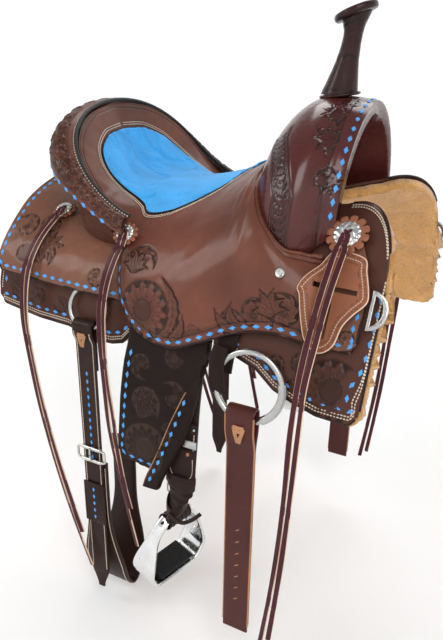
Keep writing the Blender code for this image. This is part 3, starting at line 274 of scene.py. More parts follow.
class Graph:
    """Nodes of one material, with its Principled shader.

    Args:
        name: The material's name.
    """

    def __init__(self, name: str) -> None:
        self.material = bpy.data.materials.new(name)
        self.material.use_nodes = True
        self.tree = self.material.node_tree
        self.shader = self.tree.nodes["Principled BSDF"]
        self.coords = self.tree.nodes.new("ShaderNodeTexCoord").outputs["Object"]

    def add(self, kind: str, inputs: dict | None = None, **settings: object) -> bpy.types.Node:
        """New node with its settings, and inputs that are values or sockets."""
        node = self.tree.nodes.new(kind)
        for name, value in settings.items():
            setattr(node, name, value)
        for name, value in (inputs or {}).items():
            self.feed(node.inputs[name], value)
        return node

    def feed(self, socket: bpy.types.NodeSocket, value: object) -> None:
        """Links a socket, or sets its value."""
        if isinstance(value, bpy.types.NodeSocket):
            self.tree.links.new(value, socket)
        else:
            socket.default_value = value

    def noise(self, scale: float, detail: float = 3.0, stretch: Place | None = None) -> bpy.types.NodeSocket:
        """Noise from 0 to 1 in the piece's own space."""
        vector = self.coords
        if stretch is not None:
            vector = self.add("ShaderNodeMapping", {"Vector": self.coords, "Scale": stretch}).outputs[0]
        inputs = {"Vector": vector, "Scale": scale, "Detail": detail}
        return self.add("ShaderNodeTexNoise", inputs).outputs["Fac"]

    def cells(self, scale: float) -> bpy.types.NodeSocket:
        """Distance to the nearest of many cell centres."""
        return self.add("ShaderNodeTexVoronoi", {"Vector": self.coords, "Scale": scale}).outputs["Distance"]

    def spread(self, value: bpy.types.NodeSocket, low: float, high: float,
               start: float = 0.3, end: float = 0.7) -> bpy.types.NodeSocket:
        """Value carried from start..end to low..high."""
        inputs = {"Value": value, "From Min": start, "From Max": end, "To Min": low, "To Max": high}
        return self.add("ShaderNodeMapRange", inputs).outputs["Result"]

    def blend(self, share: object, first: object, second: object) -> bpy.types.NodeSocket:
        """Colour a share of the way from first to second."""
        node = self.add("ShaderNodeMix", data_type="RGBA")
        self.feed(node.inputs[0], share)
        for index, value in ((6, first), (7, second)):
            self.feed(node.inputs[index], (*value, 1.0) if isinstance(value, tuple) else value)
        return node.outputs[2]

    def attribute(self, name: str) -> bpy.types.NodeSocket:
        """A float kept on the mesh's points."""
        return self.add("ShaderNodeAttribute", attribute_name=name).outputs["Fac"]

    def bump(self, height: bpy.types.NodeSocket, strength: float, distance: float) -> None:
        """Adds a bump over the ones already there."""
        normal = self.shader.inputs["Normal"]
        before = normal.links[0].from_socket if normal.links else None
        inputs = {"Height": height, "Strength": strength, "Distance": distance}
        if before is not None:
            inputs["Normal"] = before
        self.feed(normal, self.add("ShaderNodeBump", inputs).outputs["Normal"])

    def set(self, **values: float) -> None:
        """Constant inputs of the shader, with _ for a space."""
        for name, value in values.items():
            self.shader.inputs[name.replace("_", " ")].default_value = value


def shaded(colour: Colour, share: float) -> Colour:
    """The colour times a share."""
    return tuple(min(part * share, 1.0) for part in colour)


@dataclass(frozen=True)
class Leather:
    """Dyed leather with mottling, pores, creases and recoloured cuts, darker on most and a painted highlight
    on the fender.
    """

    name: str
    colour: Colour
    cut: Colour
    roughness: float = 0.45
    pores: float = 900.0
    bump: float = 0.22
    coat: float = 0.0
    mottle: float = 0.22
    specular: float = 0.10

    def build(self) -> bpy.types.Material:
        """Makes the material."""
        graph = Graph(self.name)
        clouds = graph.noise(9.0, 5.0)
        fine = graph.noise(70.0, 6.0)
        pores = graph.cells(self.pores)
        low, high = shaded(self.colour, 1.0 - self.mottle), shaded(self.colour, 1.0 + self.mottle)
        colour = graph.blend(graph.spread(clouds, 0.0, 1.0), low, high)
        colour = graph.blend(graph.spread(fine, 0.0, 0.35), colour, shaded(self.colour, 0.72))
        colour = graph.blend(graph.spread(pores, 0.30, 0.0, 0.0, 0.35), colour, shaded(self.colour, 0.5))
        colour = graph.blend(graph.attribute("shade"), colour, self.cut)
        colour = graph.blend(graph.attribute("wear"), colour, shaded(self.colour, 1.9))
        graph.feed(graph.shader.inputs["Base Color"], colour)
        rough = graph.spread(fine, self.roughness - 0.07, self.roughness + 0.09)
        graph.feed(graph.shader.inputs["Roughness"], rough)
        graph.bump(graph.noise(150.0, 5.0), self.bump, 0.0012)
        graph.bump(pores, self.bump * 0.8, 0.0004)
        graph.set(Coat_Weight=self.coat, Coat_Roughness=0.16, Specular_IOR_Level=self.specular)
        return graph.material


@dataclass(frozen=True)
class Metal:
    """Plated or polished metal with fine scratches and darker engraving."""

    name: str
    colour: Colour
    roughness: float = 0.22
    dark: Colour = (0.05, 0.05, 0.05)

    def build(self) -> bpy.types.Material:
        """Makes the material."""
        graph = Graph(self.name)
        scratches = graph.noise(240.0, 6.0, (1.0, 1.0, 0.12))
        tarnish = graph.noise(35.0, 4.0)
        colour = graph.blend(graph.spread(tarnish, 0.0, 1.0), shaded(self.colour, 0.86), self.colour)
        colour = graph.blend(graph.attribute("shade"), colour, self.dark)
        graph.feed(graph.shader.inputs["Base Color"], colour)
        rough = graph.spread(scratches, self.roughness - 0.06, self.roughness + 0.14)
        graph.feed(graph.shader.inputs["Roughness"], rough)
        graph.bump(scratches, 0.05, 0.0003)
        graph.set(Metallic=1.0)
        return graph.material


@dataclass(frozen=True)
class Cloth:
    """Suede, thread, lace, fleece or binding: soft and matt."""

    name: str
    colour: Colour
    deep: Colour
    grain: float
    bump: float
    distance: float
    roughness: float = 0.9
    sheen: float = 0.3
    clouds: float = 22.0

    def build(self) -> bpy.types.Material:
        """Makes the material."""
        graph = Graph(self.name)
        clouds = graph.noise(self.clouds, 5.0)
        fine = graph.noise(self.grain, 4.0)
        low, high = shaded(self.colour, 0.80), shaded(self.colour, 1.14)
        colour = graph.blend(graph.spread(clouds, 0.0, 1.0), low, high)
        colour = graph.blend(graph.spread(fine, 0.55, 0.0), colour, self.deep)
        colour = graph.blend(graph.attribute("shade"), colour, self.deep)
        graph.feed(graph.shader.inputs["Base Color"], colour)
        graph.feed(graph.shader.inputs["Roughness"], graph.spread(fine, self.roughness - 0.1, self.roughness))
        graph.bump(fine, self.bump, self.distance)
        graph.bump(clouds, self.bump, self.distance * 2.5)
        graph.bump(graph.noise(self.grain * 3.1, 3.0), self.bump, self.distance * 0.4)
        graph.set(Sheen_Weight=self.sheen, Sheen_Roughness=0.5, Specular_IOR_Level=0.25)
        return graph.material


FINISHES = (
    Leather("brown_leather", (0.074, 0.028, 0.019), (0.018, 0.008, 0.006), 0.38, coat=0.16),
    Leather("seat_leather", (0.132, 0.044, 0.027), (0.022, 0.010, 0.007), 0.34, coat=0.26, mottle=0.32),
    Leather("jockey_leather", (0.172, 0.072, 0.044), (0.028, 0.013, 0.009), 0.38, coat=0.22),
    Leather("keeper_leather", (0.265, 0.098, 0.052), (0.095, 0.034, 0.019), 0.44, coat=0.12),
    Leather("edge_leather", (0.42, 0.21, 0.11), (0.20, 0.10, 0.05), 0.62),
    Leather("swell_leather", (0.074, 0.016, 0.014), (0.010, 0.005, 0.004), 0.26, coat=0.55, bump=0.05),
    Leather("horn_leather", (0.028, 0.010, 0.009), (0.004, 0.003, 0.003), 0.26, coat=0.26, bump=0.14),
    # The fender's cut colour is lighter than its base, so its tooling shows a painted highlight over real
    # relief.
    Leather("fender_leather", (0.014, 0.0072, 0.0056), (0.046, 0.026, 0.019), 0.50, coat=0.04, bump=0.30),
    Leather("dark_leather", (0.024, 0.012, 0.010), (0.007, 0.005, 0.005), 0.46, coat=0.08, bump=0.30),
    Leather("latigo_leather", (0.066, 0.016, 0.013), (0.024, 0.009, 0.008), 0.36, coat=0.26, bump=0.16),
    Leather("billet_leather", (0.026, 0.012, 0.009), (0.012, 0.006, 0.005), 0.42, coat=0.10),
    Leather("lace_leather", (0.062, 0.015, 0.020), (0.022, 0.007, 0.009), 0.42, coat=0.1, bump=0.18),
    Leather("cream_edge", (0.76, 0.55, 0.40), (0.50, 0.33, 0.22), 0.70, bump=0.1, mottle=0.1),
    Leather("black_edge", (0.014, 0.013, 0.013), (0.005, 0.005, 0.005), 0.40, coat=0.2),
    Metal("silver", (0.66, 0.66, 0.64), 0.26),
    Metal("steel", (0.52, 0.52, 0.51), 0.26),
    Metal("nickel", (0.62, 0.61, 0.58), 0.20),
    Metal("aluminium", (0.80, 0.80, 0.80), 0.16),
    Metal("copper", (0.62, 0.24, 0.12), 0.34, (0.15, 0.05, 0.03)),
    Cloth("suede", (0.055, 0.430, 0.900), (0.026, 0.210, 0.560), 420.0, 0.3, 0.0008, sheen=0.15),
    Cloth("blue_lace", (0.090, 0.390, 0.830), (0.030, 0.170, 0.500), 900.0, 0.2, 0.0003, 0.6, 0.1),
    Cloth("thread", (0.72, 0.62, 0.50), (0.34, 0.25, 0.17), 1500.0, 0.3, 0.0003, 0.8, 0.1),
    Cloth("fleece", (0.84, 0.46, 0.145), (0.50, 0.20, 0.04), 330.0, 0.85, 0.0036, 0.98, 0.6, 34.0),
    Cloth("black_braid", (0.020, 0.019, 0.019), (0.004, 0.004, 0.004), 700.0, 0.4, 0.0006, 0.55, 0.1),
    Cloth("rubber", (0.016, 0.016, 0.017), (0.006, 0.006, 0.006), 600.0, 0.3, 0.0004, 0.7, 0.0),
    Cloth("tree_fibre", (0.33, 0.24, 0.15), (0.16, 0.11, 0.06), 120.0, 0.4, 0.0010, 0.8, 0.0),
)


class Shelf:
    """The finishes by name, each made once."""

    def __init__(self) -> None:
        self.finishes = {finish.name: finish for finish in FINISHES}
        self.made: dict[str, bpy.types.Material] = {}

    def get(self, name: str) -> bpy.types.Material:
        """The material of that name."""
        if name not in self.made:
            self.made[name] = self.finishes[name].build()
        return self.made[name]


SHELF = Shelf()


# Mesh makers.

@dataclass
class Field:
    """Carving of one sheet: its points, their rise and how dark each is."""

    points: Array
    rise: Array
    shade: Array


def normals_of(surface: Surface, u: Array, v: Array, hint: Place) -> Array:
    """Unit normals of a surface, turned to the side that hint points to."""
    normals = unit(np.cross(*slopes(surface, u, v, 0.002)))
    if np.sum(normals @ np.array(hint)) < 0.0:
        normals = -normals
    return normals


def grid(cells: tuple[int, int]) -> tuple[bmesh.types.BMesh, Array, Array]:
    """Flat bmesh grid with the shares (u, v) of its corners."""
    bm = bmesh.new()
    bmesh.ops.create_grid(bm, x_segments=cells[0], y_segments=cells[1], size=0.5)
    flat = np.array([vert.co[:2] for vert in bm.verts]) + 0.5
    return bm, flat[:, 0], flat[:, 1]


def press(bm: bmesh.types.BMesh, points: Array, shade: Array) -> None:
    """Moves the corners to points, and keeps the shade of each."""
    layer = bm.verts.layers.float.new("shade")
    for vert, place, dark in zip(bm.verts, points, np.clip(shade, 0.0, 1.0)):
        vert.co = place
        vert[layer] = dark


def close_body(bm: bmesh.types.BMesh, gap: float, sides: int) -> None:
    """Welds the seam within a gap, fills ends of up to so many sides, and turns the faces outward."""
    bmesh.ops.remove_doubles(bm, verts=bm.verts, dist=gap)
    ends = [edge for edge in bm.edges if edge.is_boundary]
    if ends:
        bmesh.ops.holes_fill(bm, edges=ends, sides=sides)
    bmesh.ops.recalc_face_normals(bm, faces=bm.faces)


def finish_mesh(bm: bmesh.types.BMesh, name: str, sharp: float = 50.0) -> bpy.types.Mesh:
    """Mesh of a bmesh, shaded smooth up to an angle in degrees."""
    mesh = bpy.data.meshes.new(name)
    bm.to_mesh(mesh)
    bm.free()
    mesh.shade_smooth()
    mesh.set_sharp_from_angle(angle=math.radians(sharp))
    return mesh


def linked(name: str, data: bpy.types.ID) -> bpy.types.Object:
    """New object of some data, in the scene."""
    obj = bpy.data.objects.new(name, data)
    bpy.context.scene.collection.objects.link(obj)
    return obj


def make_object(name: str, mesh: bpy.types.Mesh, finish: str) -> bpy.types.Object:
    """Linked object of a mesh in one finish."""
    obj = linked(name, mesh)
    mesh.materials.append(SHELF.get(finish))
    return obj


def faces_out(bm: bmesh.types.BMesh, hint: Place) -> None:
    """Turns an open sheet's faces to the side that hint points to."""
    total = Vector((0.0, 0.0, 0.0))
    for face in bm.faces:
        total += face.normal * face.calc_area()
    if total.dot(Vector(hint)) < 0.0:
        bmesh.ops.reverse_faces(bm, faces=bm.faces)


def thicken(obj: bpy.types.Object, name: str, thick: float) -> None:
    """Gives a sheet its gauge, taken inward."""
    gauge = obj.modifiers.new(name, "SOLIDIFY")
    gauge.thickness = thick
    gauge.offset = -1.0


def sheet_object(name: str, cells: tuple[int, int], surface: Surface, thick: float, finish: str,
                 hint: Place, carve: Callable[[Field], None] | None = None, sharp: float = 50.0,
                 crowd_u: Sequence = ((0.0, 0.0), (1.0, 1.0)),
                 crowd_v: Sequence = ((0.0, 0.0), (1.0, 1.0))) -> bpy.types.Object:
    """Sheet of leather with its outer face on the surface.

    Args:
        name: The piece's name.
        cells: How many cells along u and v.
        surface: Gives points for shares u and v.
        thick: Gauge of the sheet, taken inward; 0 leaves it open.
        finish: The finish's name.
        hint: A direction on the outer side.
        carve: Changes the rise and shade of the points.
        sharp: Angle over which edges stay sharp, in degrees.
        crowd_u: Even and placed shares along u.
        crowd_v: Even and placed shares along v.

    Returns:
        The sheet's object.
    """
    bm, u, v = grid(cells)
    u, v = table(crowd_u, u), table(crowd_v, v)
    points = surface(u, v)
    shade = np.zeros(len(points))
    if carve is not None:
        done = Field(points, np.zeros(len(points)), shade)
        carve(done)
        points = points + normals_of(surface, u, v, hint) * done.rise[:, None]
        shade = done.shade
    press(bm, points, shade)
    bm.normal_update()
    faces_out(bm, hint)
    obj = make_object(name, finish_mesh(bm, name, sharp), finish)
    if thick:
        thicken(obj, "gauge", thick)
    return obj


def swept(name: str, cells: tuple[int, int], surface: Surface, finish: str,
          carve: Callable[[Array, Array], Array] | None = None, sharp: float = 50.0) -> bpy.types.Object:
    """Closed body: u runs round its section and v along it, with filled ends.

    Args:
        name: The piece's name.
        cells: How many cells round and along.
        surface: Gives points for shares u and v.
        finish: The finish's name.
        carve: Gives the shade of each corner from its shares.
        sharp: Angle over which edges stay sharp, in degrees.

    Returns:
        The body's object.
    """
    bm, u, v = grid(cells)
    press(bm, surface(u, v), np.zeros(len(u)) if carve is None else carve(u, v))
    close_body(bm, WELD, cells[0] + 2)
    return make_object(name, finish_mesh(bm, name, sharp), finish)


def rounded_section(u: Array, half_wide: Array, half_thick: Array, power: float = 4.0) -> tuple[Array, Array]:
    """Point on a rounded rectangle at share u of a turn, as a superellipse."""
    turn = FULL_TURN * u + math.pi / 4.0
    c, s = np.cos(turn), np.sin(turn)
    size = (np.abs(c) ** power + np.abs(s) ** power) ** (-1.0 / power)
    return c * size * half_wide, s * size * half_thick


def strap_surface(path: Callable[[Array], Array], spread: Callable[[Array], Array],
                  width: Callable[[Array], Array], thick: float, power: float = 7.0) -> Surface:
    """Surface of a flat strap: path gives its centre and spread its width direction."""
    def place(u: Array, v: Array) -> Array:
        ahead = heading(path, v, 0.004)
        wide = spread(v)
        wide = unit(wide - ahead * np.sum(wide * ahead, axis=1, keepdims=True))
        face = np.cross(ahead, wide)
        a, b = rounded_section(u, width(v) / 2.0, thick / 2.0, power)
        return path(v) + wide * a[:, None] + face * b[:, None]
    return place


def tube(name: str, points: Array, radius: float, finish: str, sides: int = 10,
         cells: int | None = None, twist: Callable[[Array, Array], Array] | None = None,
         flat: float = 1.0, up: Place = UP) -> bpy.types.Object:
    """Closed tube along points.

    Args:
        name: The piece's name.
        points: Rows of X, Y and Z along its middle.
        radius: Half of its width.
        finish: The finish's name.
        sides: How many sides it has.
        cells: How many cells along it.
        twist: Scales the radius from the shares u and v.
        flat: Height of the section as a share of its width.
        up: Direction that the section's height leans to.

    Returns:
        The tube's object.
    """
    cells = cells or len(points) - 1

    def place(u: Array, v: Array) -> Array:
        centre = spline(points, v)
        ahead = heading(lambda t: spline(points, t), v, 0.01)
        side = unit(np.cross(ahead, np.array(up)))
        high = np.cross(side, ahead)
        size = radius if twist is None else radius * twist(u, v)
        turn = FULL_TURN * u
        return centre + side * (np.cos(turn) * size)[:, None] + high * (np.sin(turn) * size * flat)[:, None]

    return swept(name, (sides, cells), place, finish)


def joined(name: str, objects: Sequence[bpy.types.Object]) -> bpy.types.Object:
    """One object from several in the same finish."""
    bm = bmesh.new()
    material = objects[0].data.materials[0]
    for obj in objects:
        depsgraph = bpy.context.evaluated_depsgraph_get()
        mesh = bpy.data.meshes.new_from_object(obj.evaluated_get(depsgraph))
        bm.from_mesh(mesh)
        bpy.data.objects.remove(obj)
        bpy.data.meshes.remove(mesh)
    mesh = finish_mesh(bm, name)
    made = linked(name, mesh)
    mesh.materials.append(material)
    return made


# Small repeated pieces: stitches, lace diamonds, beads and rivets.

def ease(bm: bmesh.types.BMesh, geom: Sequence, offset: float, segments: int) -> None:
    """Bevels edges by an offset."""
    bmesh.ops.bevel(bm, geom=geom, offset=offset, segments=segments, affect="EDGES", profile=0.5, material=-1)


def stitch_shape() -> bmesh.types.BMesh:
    """Thread stitch 1 long, 1 wide and 1 high, with round ends."""
    bm = bmesh.new()
    bmesh.ops.create_cube(bm, size=1.0)
    ease(bm, bm.edges[:] + bm.verts[:], 0.28, 1)
    return bm


def diamond_shape() -> bmesh.types.BMesh:
    """Puffed lace diamond, 1 long and 1 wide."""
    bm = bmesh.new()
    bmesh.ops.create_circle(bm, cap_ends=True, radius=0.5, segments=4)
    grown = bmesh.ops.extrude_face_region(bm, geom=bm.faces[:])
    top = [item for item in grown["geom"] if isinstance(item, bmesh.types.BMVert)]
    bmesh.ops.translate(bm, verts=top, vec=(0.0, 0.0, 0.5))
    ease(bm, [edge for edge in bm.edges if edge.calc_length() > 0.6], 0.10, 1)
    faces = [face for face in bm.faces if face.normal.z > 0.9]
    bmesh.ops.inset_region(bm, faces=faces, thickness=0.12)
    verts = {vert for face in faces for vert in face.verts}
    bmesh.ops.translate(bm, verts=list(verts), vec=(0.0, 0.0, 0.30))
    bmesh.ops.recalc_face_normals(bm, faces=bm.faces)
    return bm


def dome_shape() -> bmesh.types.BMesh:
    """Low round rivet head, 1 across and about 0.5 high, closed below."""
    bm = bmesh.new()
    bmesh.ops.create_uvsphere(bm, u_segments=14, v_segments=8, radius=0.5)
    for vert in bm.verts:
        vert.co.z = max(vert.co.z, -0.10)
    return bm


def scattered(name: str, shape: Callable[[], bmesh.types.BMesh], places: Sequence[Matrix],
              finish: str, sharp: float = 60.0) -> bpy.types.Object:
    """One mesh with a copy of a small shape at each place.

    Args:
        name: The piece's name.
        shape: Makes the small shape.
        places: Where the copies go.
        finish: The finish's name.
        sharp: Angle over which edges stay sharp, in degrees.

    Returns:
        The object that holds all copies.
    """
    pattern = finish_mesh(shape(), name + "_pattern", sharp)
    bm = bmesh.new()
    for place in places:
        copy = pattern.copy()
        copy.transform(place)
        bm.from_mesh(copy)
        bpy.data.meshes.remove(copy)
    bpy.data.meshes.remove(pattern)
    return make_object(name, finish_mesh(bm, name, sharp), finish)


@dataclass
class Trail:
    """Line on a surface, with the outward direction at each point."""

    points: Array
    normals: Array

    def length(self) -> float:
        """Length along the line, in metres."""
        return float(np.sum(np.linalg.norm(np.diff(self.points, axis=0), axis=1)))

    def at(self, distances: Array) -> tuple[Array, Array, Array]:
        """Points, normals and directions at distances along the line."""
        run = run_of(self.points)

        def read(rows: Array, where: Array) -> Array:
            return np.column_stack([np.interp(where, run, rows[:, k]) for k in range(3)])
        ahead = read(self.points, distances + 0.001) - read(self.points, distances - 0.001)
        return read(self.points, distances), unit(read(self.normals, distances)), unit(ahead)

    def places(self, pitch: float, size: Place, lift: float = 0.0, turn: float = 0.0,
               start: float = 0.0, end: float = 0.0) -> list[Matrix]:
        """Placings at an even pitch: X along the line, Z outward.

        Args:
            pitch: Distance from one to the next, in metres.
            size: Scale of the shape along X, Y and Z.
            lift: How far each stands off the surface.
            turn: Angle of each from the line, in degrees.
            start: Length left free at the start.
            end: Length left free at the end.

        Returns:
            One matrix for each copy.
        """
        whole = self.length() - start - end
        count = max(int(round(whole / pitch)), 1)
        distances = start + (np.arange(count) + 0.5) * whole / count
        result = []
        for point, normal, ahead in zip(*self.at(distances)):
            z_axis = Vector(normal)
            x_axis = (Vector(ahead) - z_axis * z_axis.dot(Vector(ahead))).normalized()
            matrix = axes_matrix(x_axis, z_axis.cross(x_axis), z_axis, Vector(point) + z_axis * lift)
            matrix = matrix @ Matrix.Rotation(math.radians(turn), 4, "Z") @ Matrix.Diagonal((*size, 1.0))
            result.append(matrix)
        return result


def inset_trail(surface: Surface, shares: Array, inset: float, hint: Place,
                edge: str = "v1", lift: float = 0.0) -> Trail:
    """Trail along one edge of a sheet, a fixed distance in from it.

    Args:
        surface: The sheet.
        shares: Shares along the edge.
        inset: Distance from the edge, in metres.
        hint: A direction on the outer side.
        edge: Which edge: u0, u1, v0 or v1.
        lift: How far the trail stands off the sheet.

    Returns:
        The trail.
    """
    fixed = float(edge[1])
    inward = -1.0 if fixed else 1.0

    def shares_at(depth: Array) -> tuple[Array, Array]:
        other = fixed + inward * depth
        return (other, shares) if edge[0] == "u" else (shares, other)
    step = np.full(len(shares), 0.004)
    first = surface(*shares_at(np.zeros(len(shares))))
    slope = np.linalg.norm(surface(*shares_at(step)) - first, axis=1) / step
    depth = np.clip(inset / np.maximum(slope, 1e-4), 0.0, 0.9)
    slope = np.linalg.norm(surface(*shares_at(np.maximum(depth, 0.004))) - first, axis=1)
    depth = np.clip(inset / np.maximum(slope / np.maximum(depth, 0.004), 1e-4), 0.0, 0.9)
    u, v = shares_at(depth)
    normals = normals_of(surface, u, v, hint)
    return Trail(surface(u, v) + normals * lift, normals)


def stitches(name: str, trails: Sequence[Trail], finish: str = "thread", pitch: float = 0.0042,
             long: float = 0.0035, wide: float = 0.0015, lift: float = 0.0003) -> bpy.types.Object:
    """Rows of thread stitches along trails."""
    places = [place for trail in trails for place in trail.places(pitch, (long, wide, wide), lift)]
    return scattered(name, stitch_shape, places, finish)


def lace_diamonds(name: str, trails: Sequence[Trail], pitch: float = 0.0165, long: float = 0.0112,
                  wide: float = 0.0062, turn: float = 0.0) -> bpy.types.Object:
    """Rows of blue lace diamonds along trails."""
    places = [place for trail in trails for place in trail.places(pitch, (long, wide, 0.0016), 0.0, turn)]
    return scattered(name, diamond_shape, places, "blue_lace")


def cord_on(name: str, trail: Trail, radius: float, finish: str, lift: float = 0.0,
            sides: int = 8, flat: float = 1.0) -> bpy.types.Object:
    """Round or flattened bead of leather along a trail."""
    points = trail.points + trail.normals * lift
    return tube(name, points, radius, finish, sides, max(len(points) - 1, 8), flat=flat)


# Hanging pieces on their bodies.

def hang(obj: bpy.types.Object, body: str, slot: Slot, *nodes: str) -> bpy.types.Object:
    """Puts a finished piece on a body, in place of CAD nodes."""
    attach(obj, body)
    if nodes:
        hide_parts(*nodes)
    log.info("%s rides on %s", obj.name, body)
    return obj


def mirrored_copy(obj: bpy.types.Object, name: str) -> bpy.types.Object:
    """Copy of a right-hand piece on the left side, with its modifiers."""
    copy = obj.copy()
    copy.name = name
    copy.data = obj.data.copy()
    bm = bmesh.new()
    bm.from_mesh(copy.data)
    bmesh.ops.scale(bm, vec=(1.0, -1.0, 1.0), verts=bm.verts)
    bmesh.ops.reverse_faces(bm, faces=bm.faces)
    bm.to_mesh(copy.data)
    bm.free()
    bpy.context.scene.collection.objects.link(copy)
    return copy


def hang_pair(obj: bpy.types.Object, body: str, slot: Slot, *nodes: str) -> None:
    """Hangs a right-hand piece and its mirror; {} in a name stands for the side.

    Args:
        obj: The right-hand piece, named without its side.
        body: The body's name, with {} where the side goes.
        slot: The material slot; not used.
        nodes: Names of the CAD nodes that it stands for, with {} for the side.
    """
    base = obj.name
    obj.name = base + "_right"
    left = mirrored_copy(obj, base + "_left")
    for piece, side in ((obj, "right"), (left, "left")):
        hang(piece, body.format(side), slot, *(node.format(side) for node in nodes))


# Carving: rise and darkness of tooled leather, drawn in the plane of each motif.

CARVE_DEPTH = 0.0011


def dotted(x: Array, y: Array, pitch: float) -> Array:
    """Rows of dots from -1 to 1 at a pitch, in metres."""
    return np.sin(x * FULL_TURN / pitch) * np.sin(y * FULL_TURN / pitch)


@dataclass(frozen=True)
class Panel:
    """Plane of one motif: its middle, the way it faces and its up."""

    middle: Place
    facing: Place
    up: Place = UP

    def read(self, points: Array, reach: float) -> tuple[Array, Array, Array]:
        """Local X, Y and which points are near enough to be carved."""
        facing = unit(np.array(self.facing, float))
        side = unit(np.cross(np.array(self.up, float), facing))
        high = np.cross(facing, side)
        away = points - np.array(self.middle, float)
        x, y = away @ side, away @ high
        near = (np.abs(away @ facing) < 0.030) & (x * x + y * y < reach * reach * 1.6)
        return x, y, near


@dataclass(frozen=True)
class Bloom:
    """Tooled flower or leafy scroll: a seeded disc with rings of pointed petals.

    A flower has straight petals all round. A scroll has a small disc, and petals
    that lean with twist and get shorter with taper along the sweep.
    """

    panel: Panel
    disc: float
    petals: float
    count: int = 14
    start: float = 0.0
    sweep: float = 360.0
    twist: float = 0.0
    taper: float = 0.0

    def carve(self, done: Field) -> None:
        """Presses the flower into the field."""
        x, y, near = self.panel.read(done.points, self.petals * 1.15)
        x, y = x[near], y[near]
        radius = np.hypot(x, y)
        turn = np.degrees(np.arctan2(y, x)) - self.start + self.twist * radius / self.petals
        turn = np.mod(turn * (1.0 if self.twist >= 0.0 else -1.0), 360.0)
        reach = self.petals * (1.0 - self.taper * np.clip(turn / self.sweep, 0.0, 1.0))
        rise, shade = self.ground(x, y)
        inside = np.zeros(len(x), bool)
        for length, offset, level in ((1.0, 0.5, 0.05), (0.80, 0.0, 0.55)):
            slot = np.mod(turn / (360.0 / self.count) + offset, 1.0) - 0.5
            run = (radius - self.disc * 0.8) / (reach * length - self.disc * 0.8)
            half = 0.49 * np.sqrt(np.clip(1.0 - np.clip(run, 0.0, 1.0) ** 2.4, 0.0, 1.0))
            body = (np.abs(slot) < half) & (run < 1.0)
            edge = np.abs(slot) / np.maximum(half, 1e-3)
            veins = np.exp(-((np.abs(slot) - 0.16) / 0.045) ** 2) * (1.0 - ramp(run, 0.55, 0.9))
            petal = level + 0.45 * (1.0 - edge ** 2) + 0.25 * run - 0.45 * veins
            dark = 0.08 + 0.80 * ramp(edge, 0.70, 1.0) + 0.55 * veins
            dark = dark + 0.35 * (1.0 - np.clip(run, 0.0, 1.0)) ** 2
            rise = np.where(body, petal, rise)
            shade = np.where(body, dark, shade)
            inside |= body
        core = radius < self.disc
        dots = dotted(x, y, 0.0030)
        rise = np.where(core, 0.35 + 0.75 * dots * 0.5 + 0.5 * (1.0 - (radius / self.disc) ** 2), rise)
        shade = np.where(core, 0.62 - 0.35 * dots, shade)
        rim = np.exp(-((radius - self.disc) / 0.0012) ** 2)
        rise = rise - 0.9 * rim
        shade = np.maximum(shade, rim)
        outer = reach * 1.12
        keep = (inside | core | (radius < outer)) & ((turn < self.sweep) | core)
        fall = np.where(inside | core, 1.0, 1.0 - ramp(radius / outer, 0.90, 1.0))
        index = np.flatnonzero(near)[keep]
        done.rise[index] = (rise * fall)[keep] * CARVE_DEPTH
        done.shade[index] = np.clip(shade * fall, 0.0, 1.0)[keep]

    def ground(self, x: Array, y: Array) -> tuple[Array, Array]:
        """Beaten-down dotted ground round the petals."""
        dots = dotted(x, y, 0.0026)
        return -1.0 + 0.35 * dots, 0.92 - 0.20 * dots


def scroll(middle: Place, facing: Place, size: float, start: float, hand: int = 1) -> Bloom:
    """Leafy scroll that opens from start, turning with hand."""
    return Bloom(Panel(middle, facing), size * 0.17, size, 9, start, 285.0, 75.0 * hand, 0.45)


@dataclass(frozen=True)
class Leaf:
    """Tooled leaf along an arc, with a vein and scalloped edges."""

    panel: Panel
    length: float
    width: float
    bend: float = 0.4
    ground: bool = False

    def carve(self, done: Field) -> None:
        """Presses the leaf into the field; it runs along local X from 0."""
        x, y, near = self.panel.read(done.points, self.length * 1.1)
        x, y = x[near], y[near]
        run = x / self.length
        curve = self.bend * self.length * (run - run ** 2) * 2.0
        wide = self.width * np.sin(np.clip(run, 0.0, 1.0) ** 0.7 * math.pi)
        wide = wide * (1.0 + 0.13 * np.sin(run * 34.0))
        across = (y - curve) / np.maximum(wide, 1e-4)
        keep = (run > 0.0) & (run < 1.0) & (np.abs(across) < 1.0)
        vein = np.exp(-(across / 0.10) ** 2)
        ribs = 0.5 + 0.5 * np.sin(run * 52.0 + np.abs(across) * 3.0)
        rise = 0.25 + 0.65 * (1.0 - np.abs(across) ** 2) - 0.9 * vein - 0.25 * ribs
        shade = 0.12 + 0.7 * ramp(np.abs(across), 0.75, 1.0) + 0.6 * vein + 0.25 * ribs
        if self.ground:
            rise, shade = np.full(len(run), -1.1), np.full(len(run), 0.96)
        index = np.flatnonzero(near)[keep]
        done.rise[index] = rise[keep] * CARVE_DEPTH
        done.shade[index] = np.clip(shade[keep], 0.0, 1.0)


def sprig(middle: Place, facing: Place, size: float, start: float, spread: float = 150.0,
          count: int = 6) -> list[Leaf]:
    """Fan of leaves that open from one stem.

    Args:
        middle: Where the stem is.
        facing: The way the leather faces there.
        size: Length of the longest leaf.
        start: Angle of the first leaf, in degrees.
        spread: Angle from the first leaf to the last.
        count: How many leaves.

    Returns:
        The leaves, the outermost first.
    """
    out = unit(np.array(facing, float))
    side = unit(np.cross(np.array(UP), out))
    high = np.cross(out, side)
    leaves = []
    for index in range(count):
        share = index / (count - 1)
        angle = math.radians(start + spread * share)
        up = side * -math.sin(angle) + high * math.cos(angle)
        length = size * (1.0 - 0.35 * abs(2.0 * share - 1.0))
        leaves.append(Leaf(Panel(middle, facing, tuple(up)), length, length * 0.17, 0.45 - 0.9 * share))
    backs = [replace(leaf, length=leaf.length * 1.07, width=leaf.width + 0.0020, ground=True)
             for leaf in leaves]
    return backs + leaves


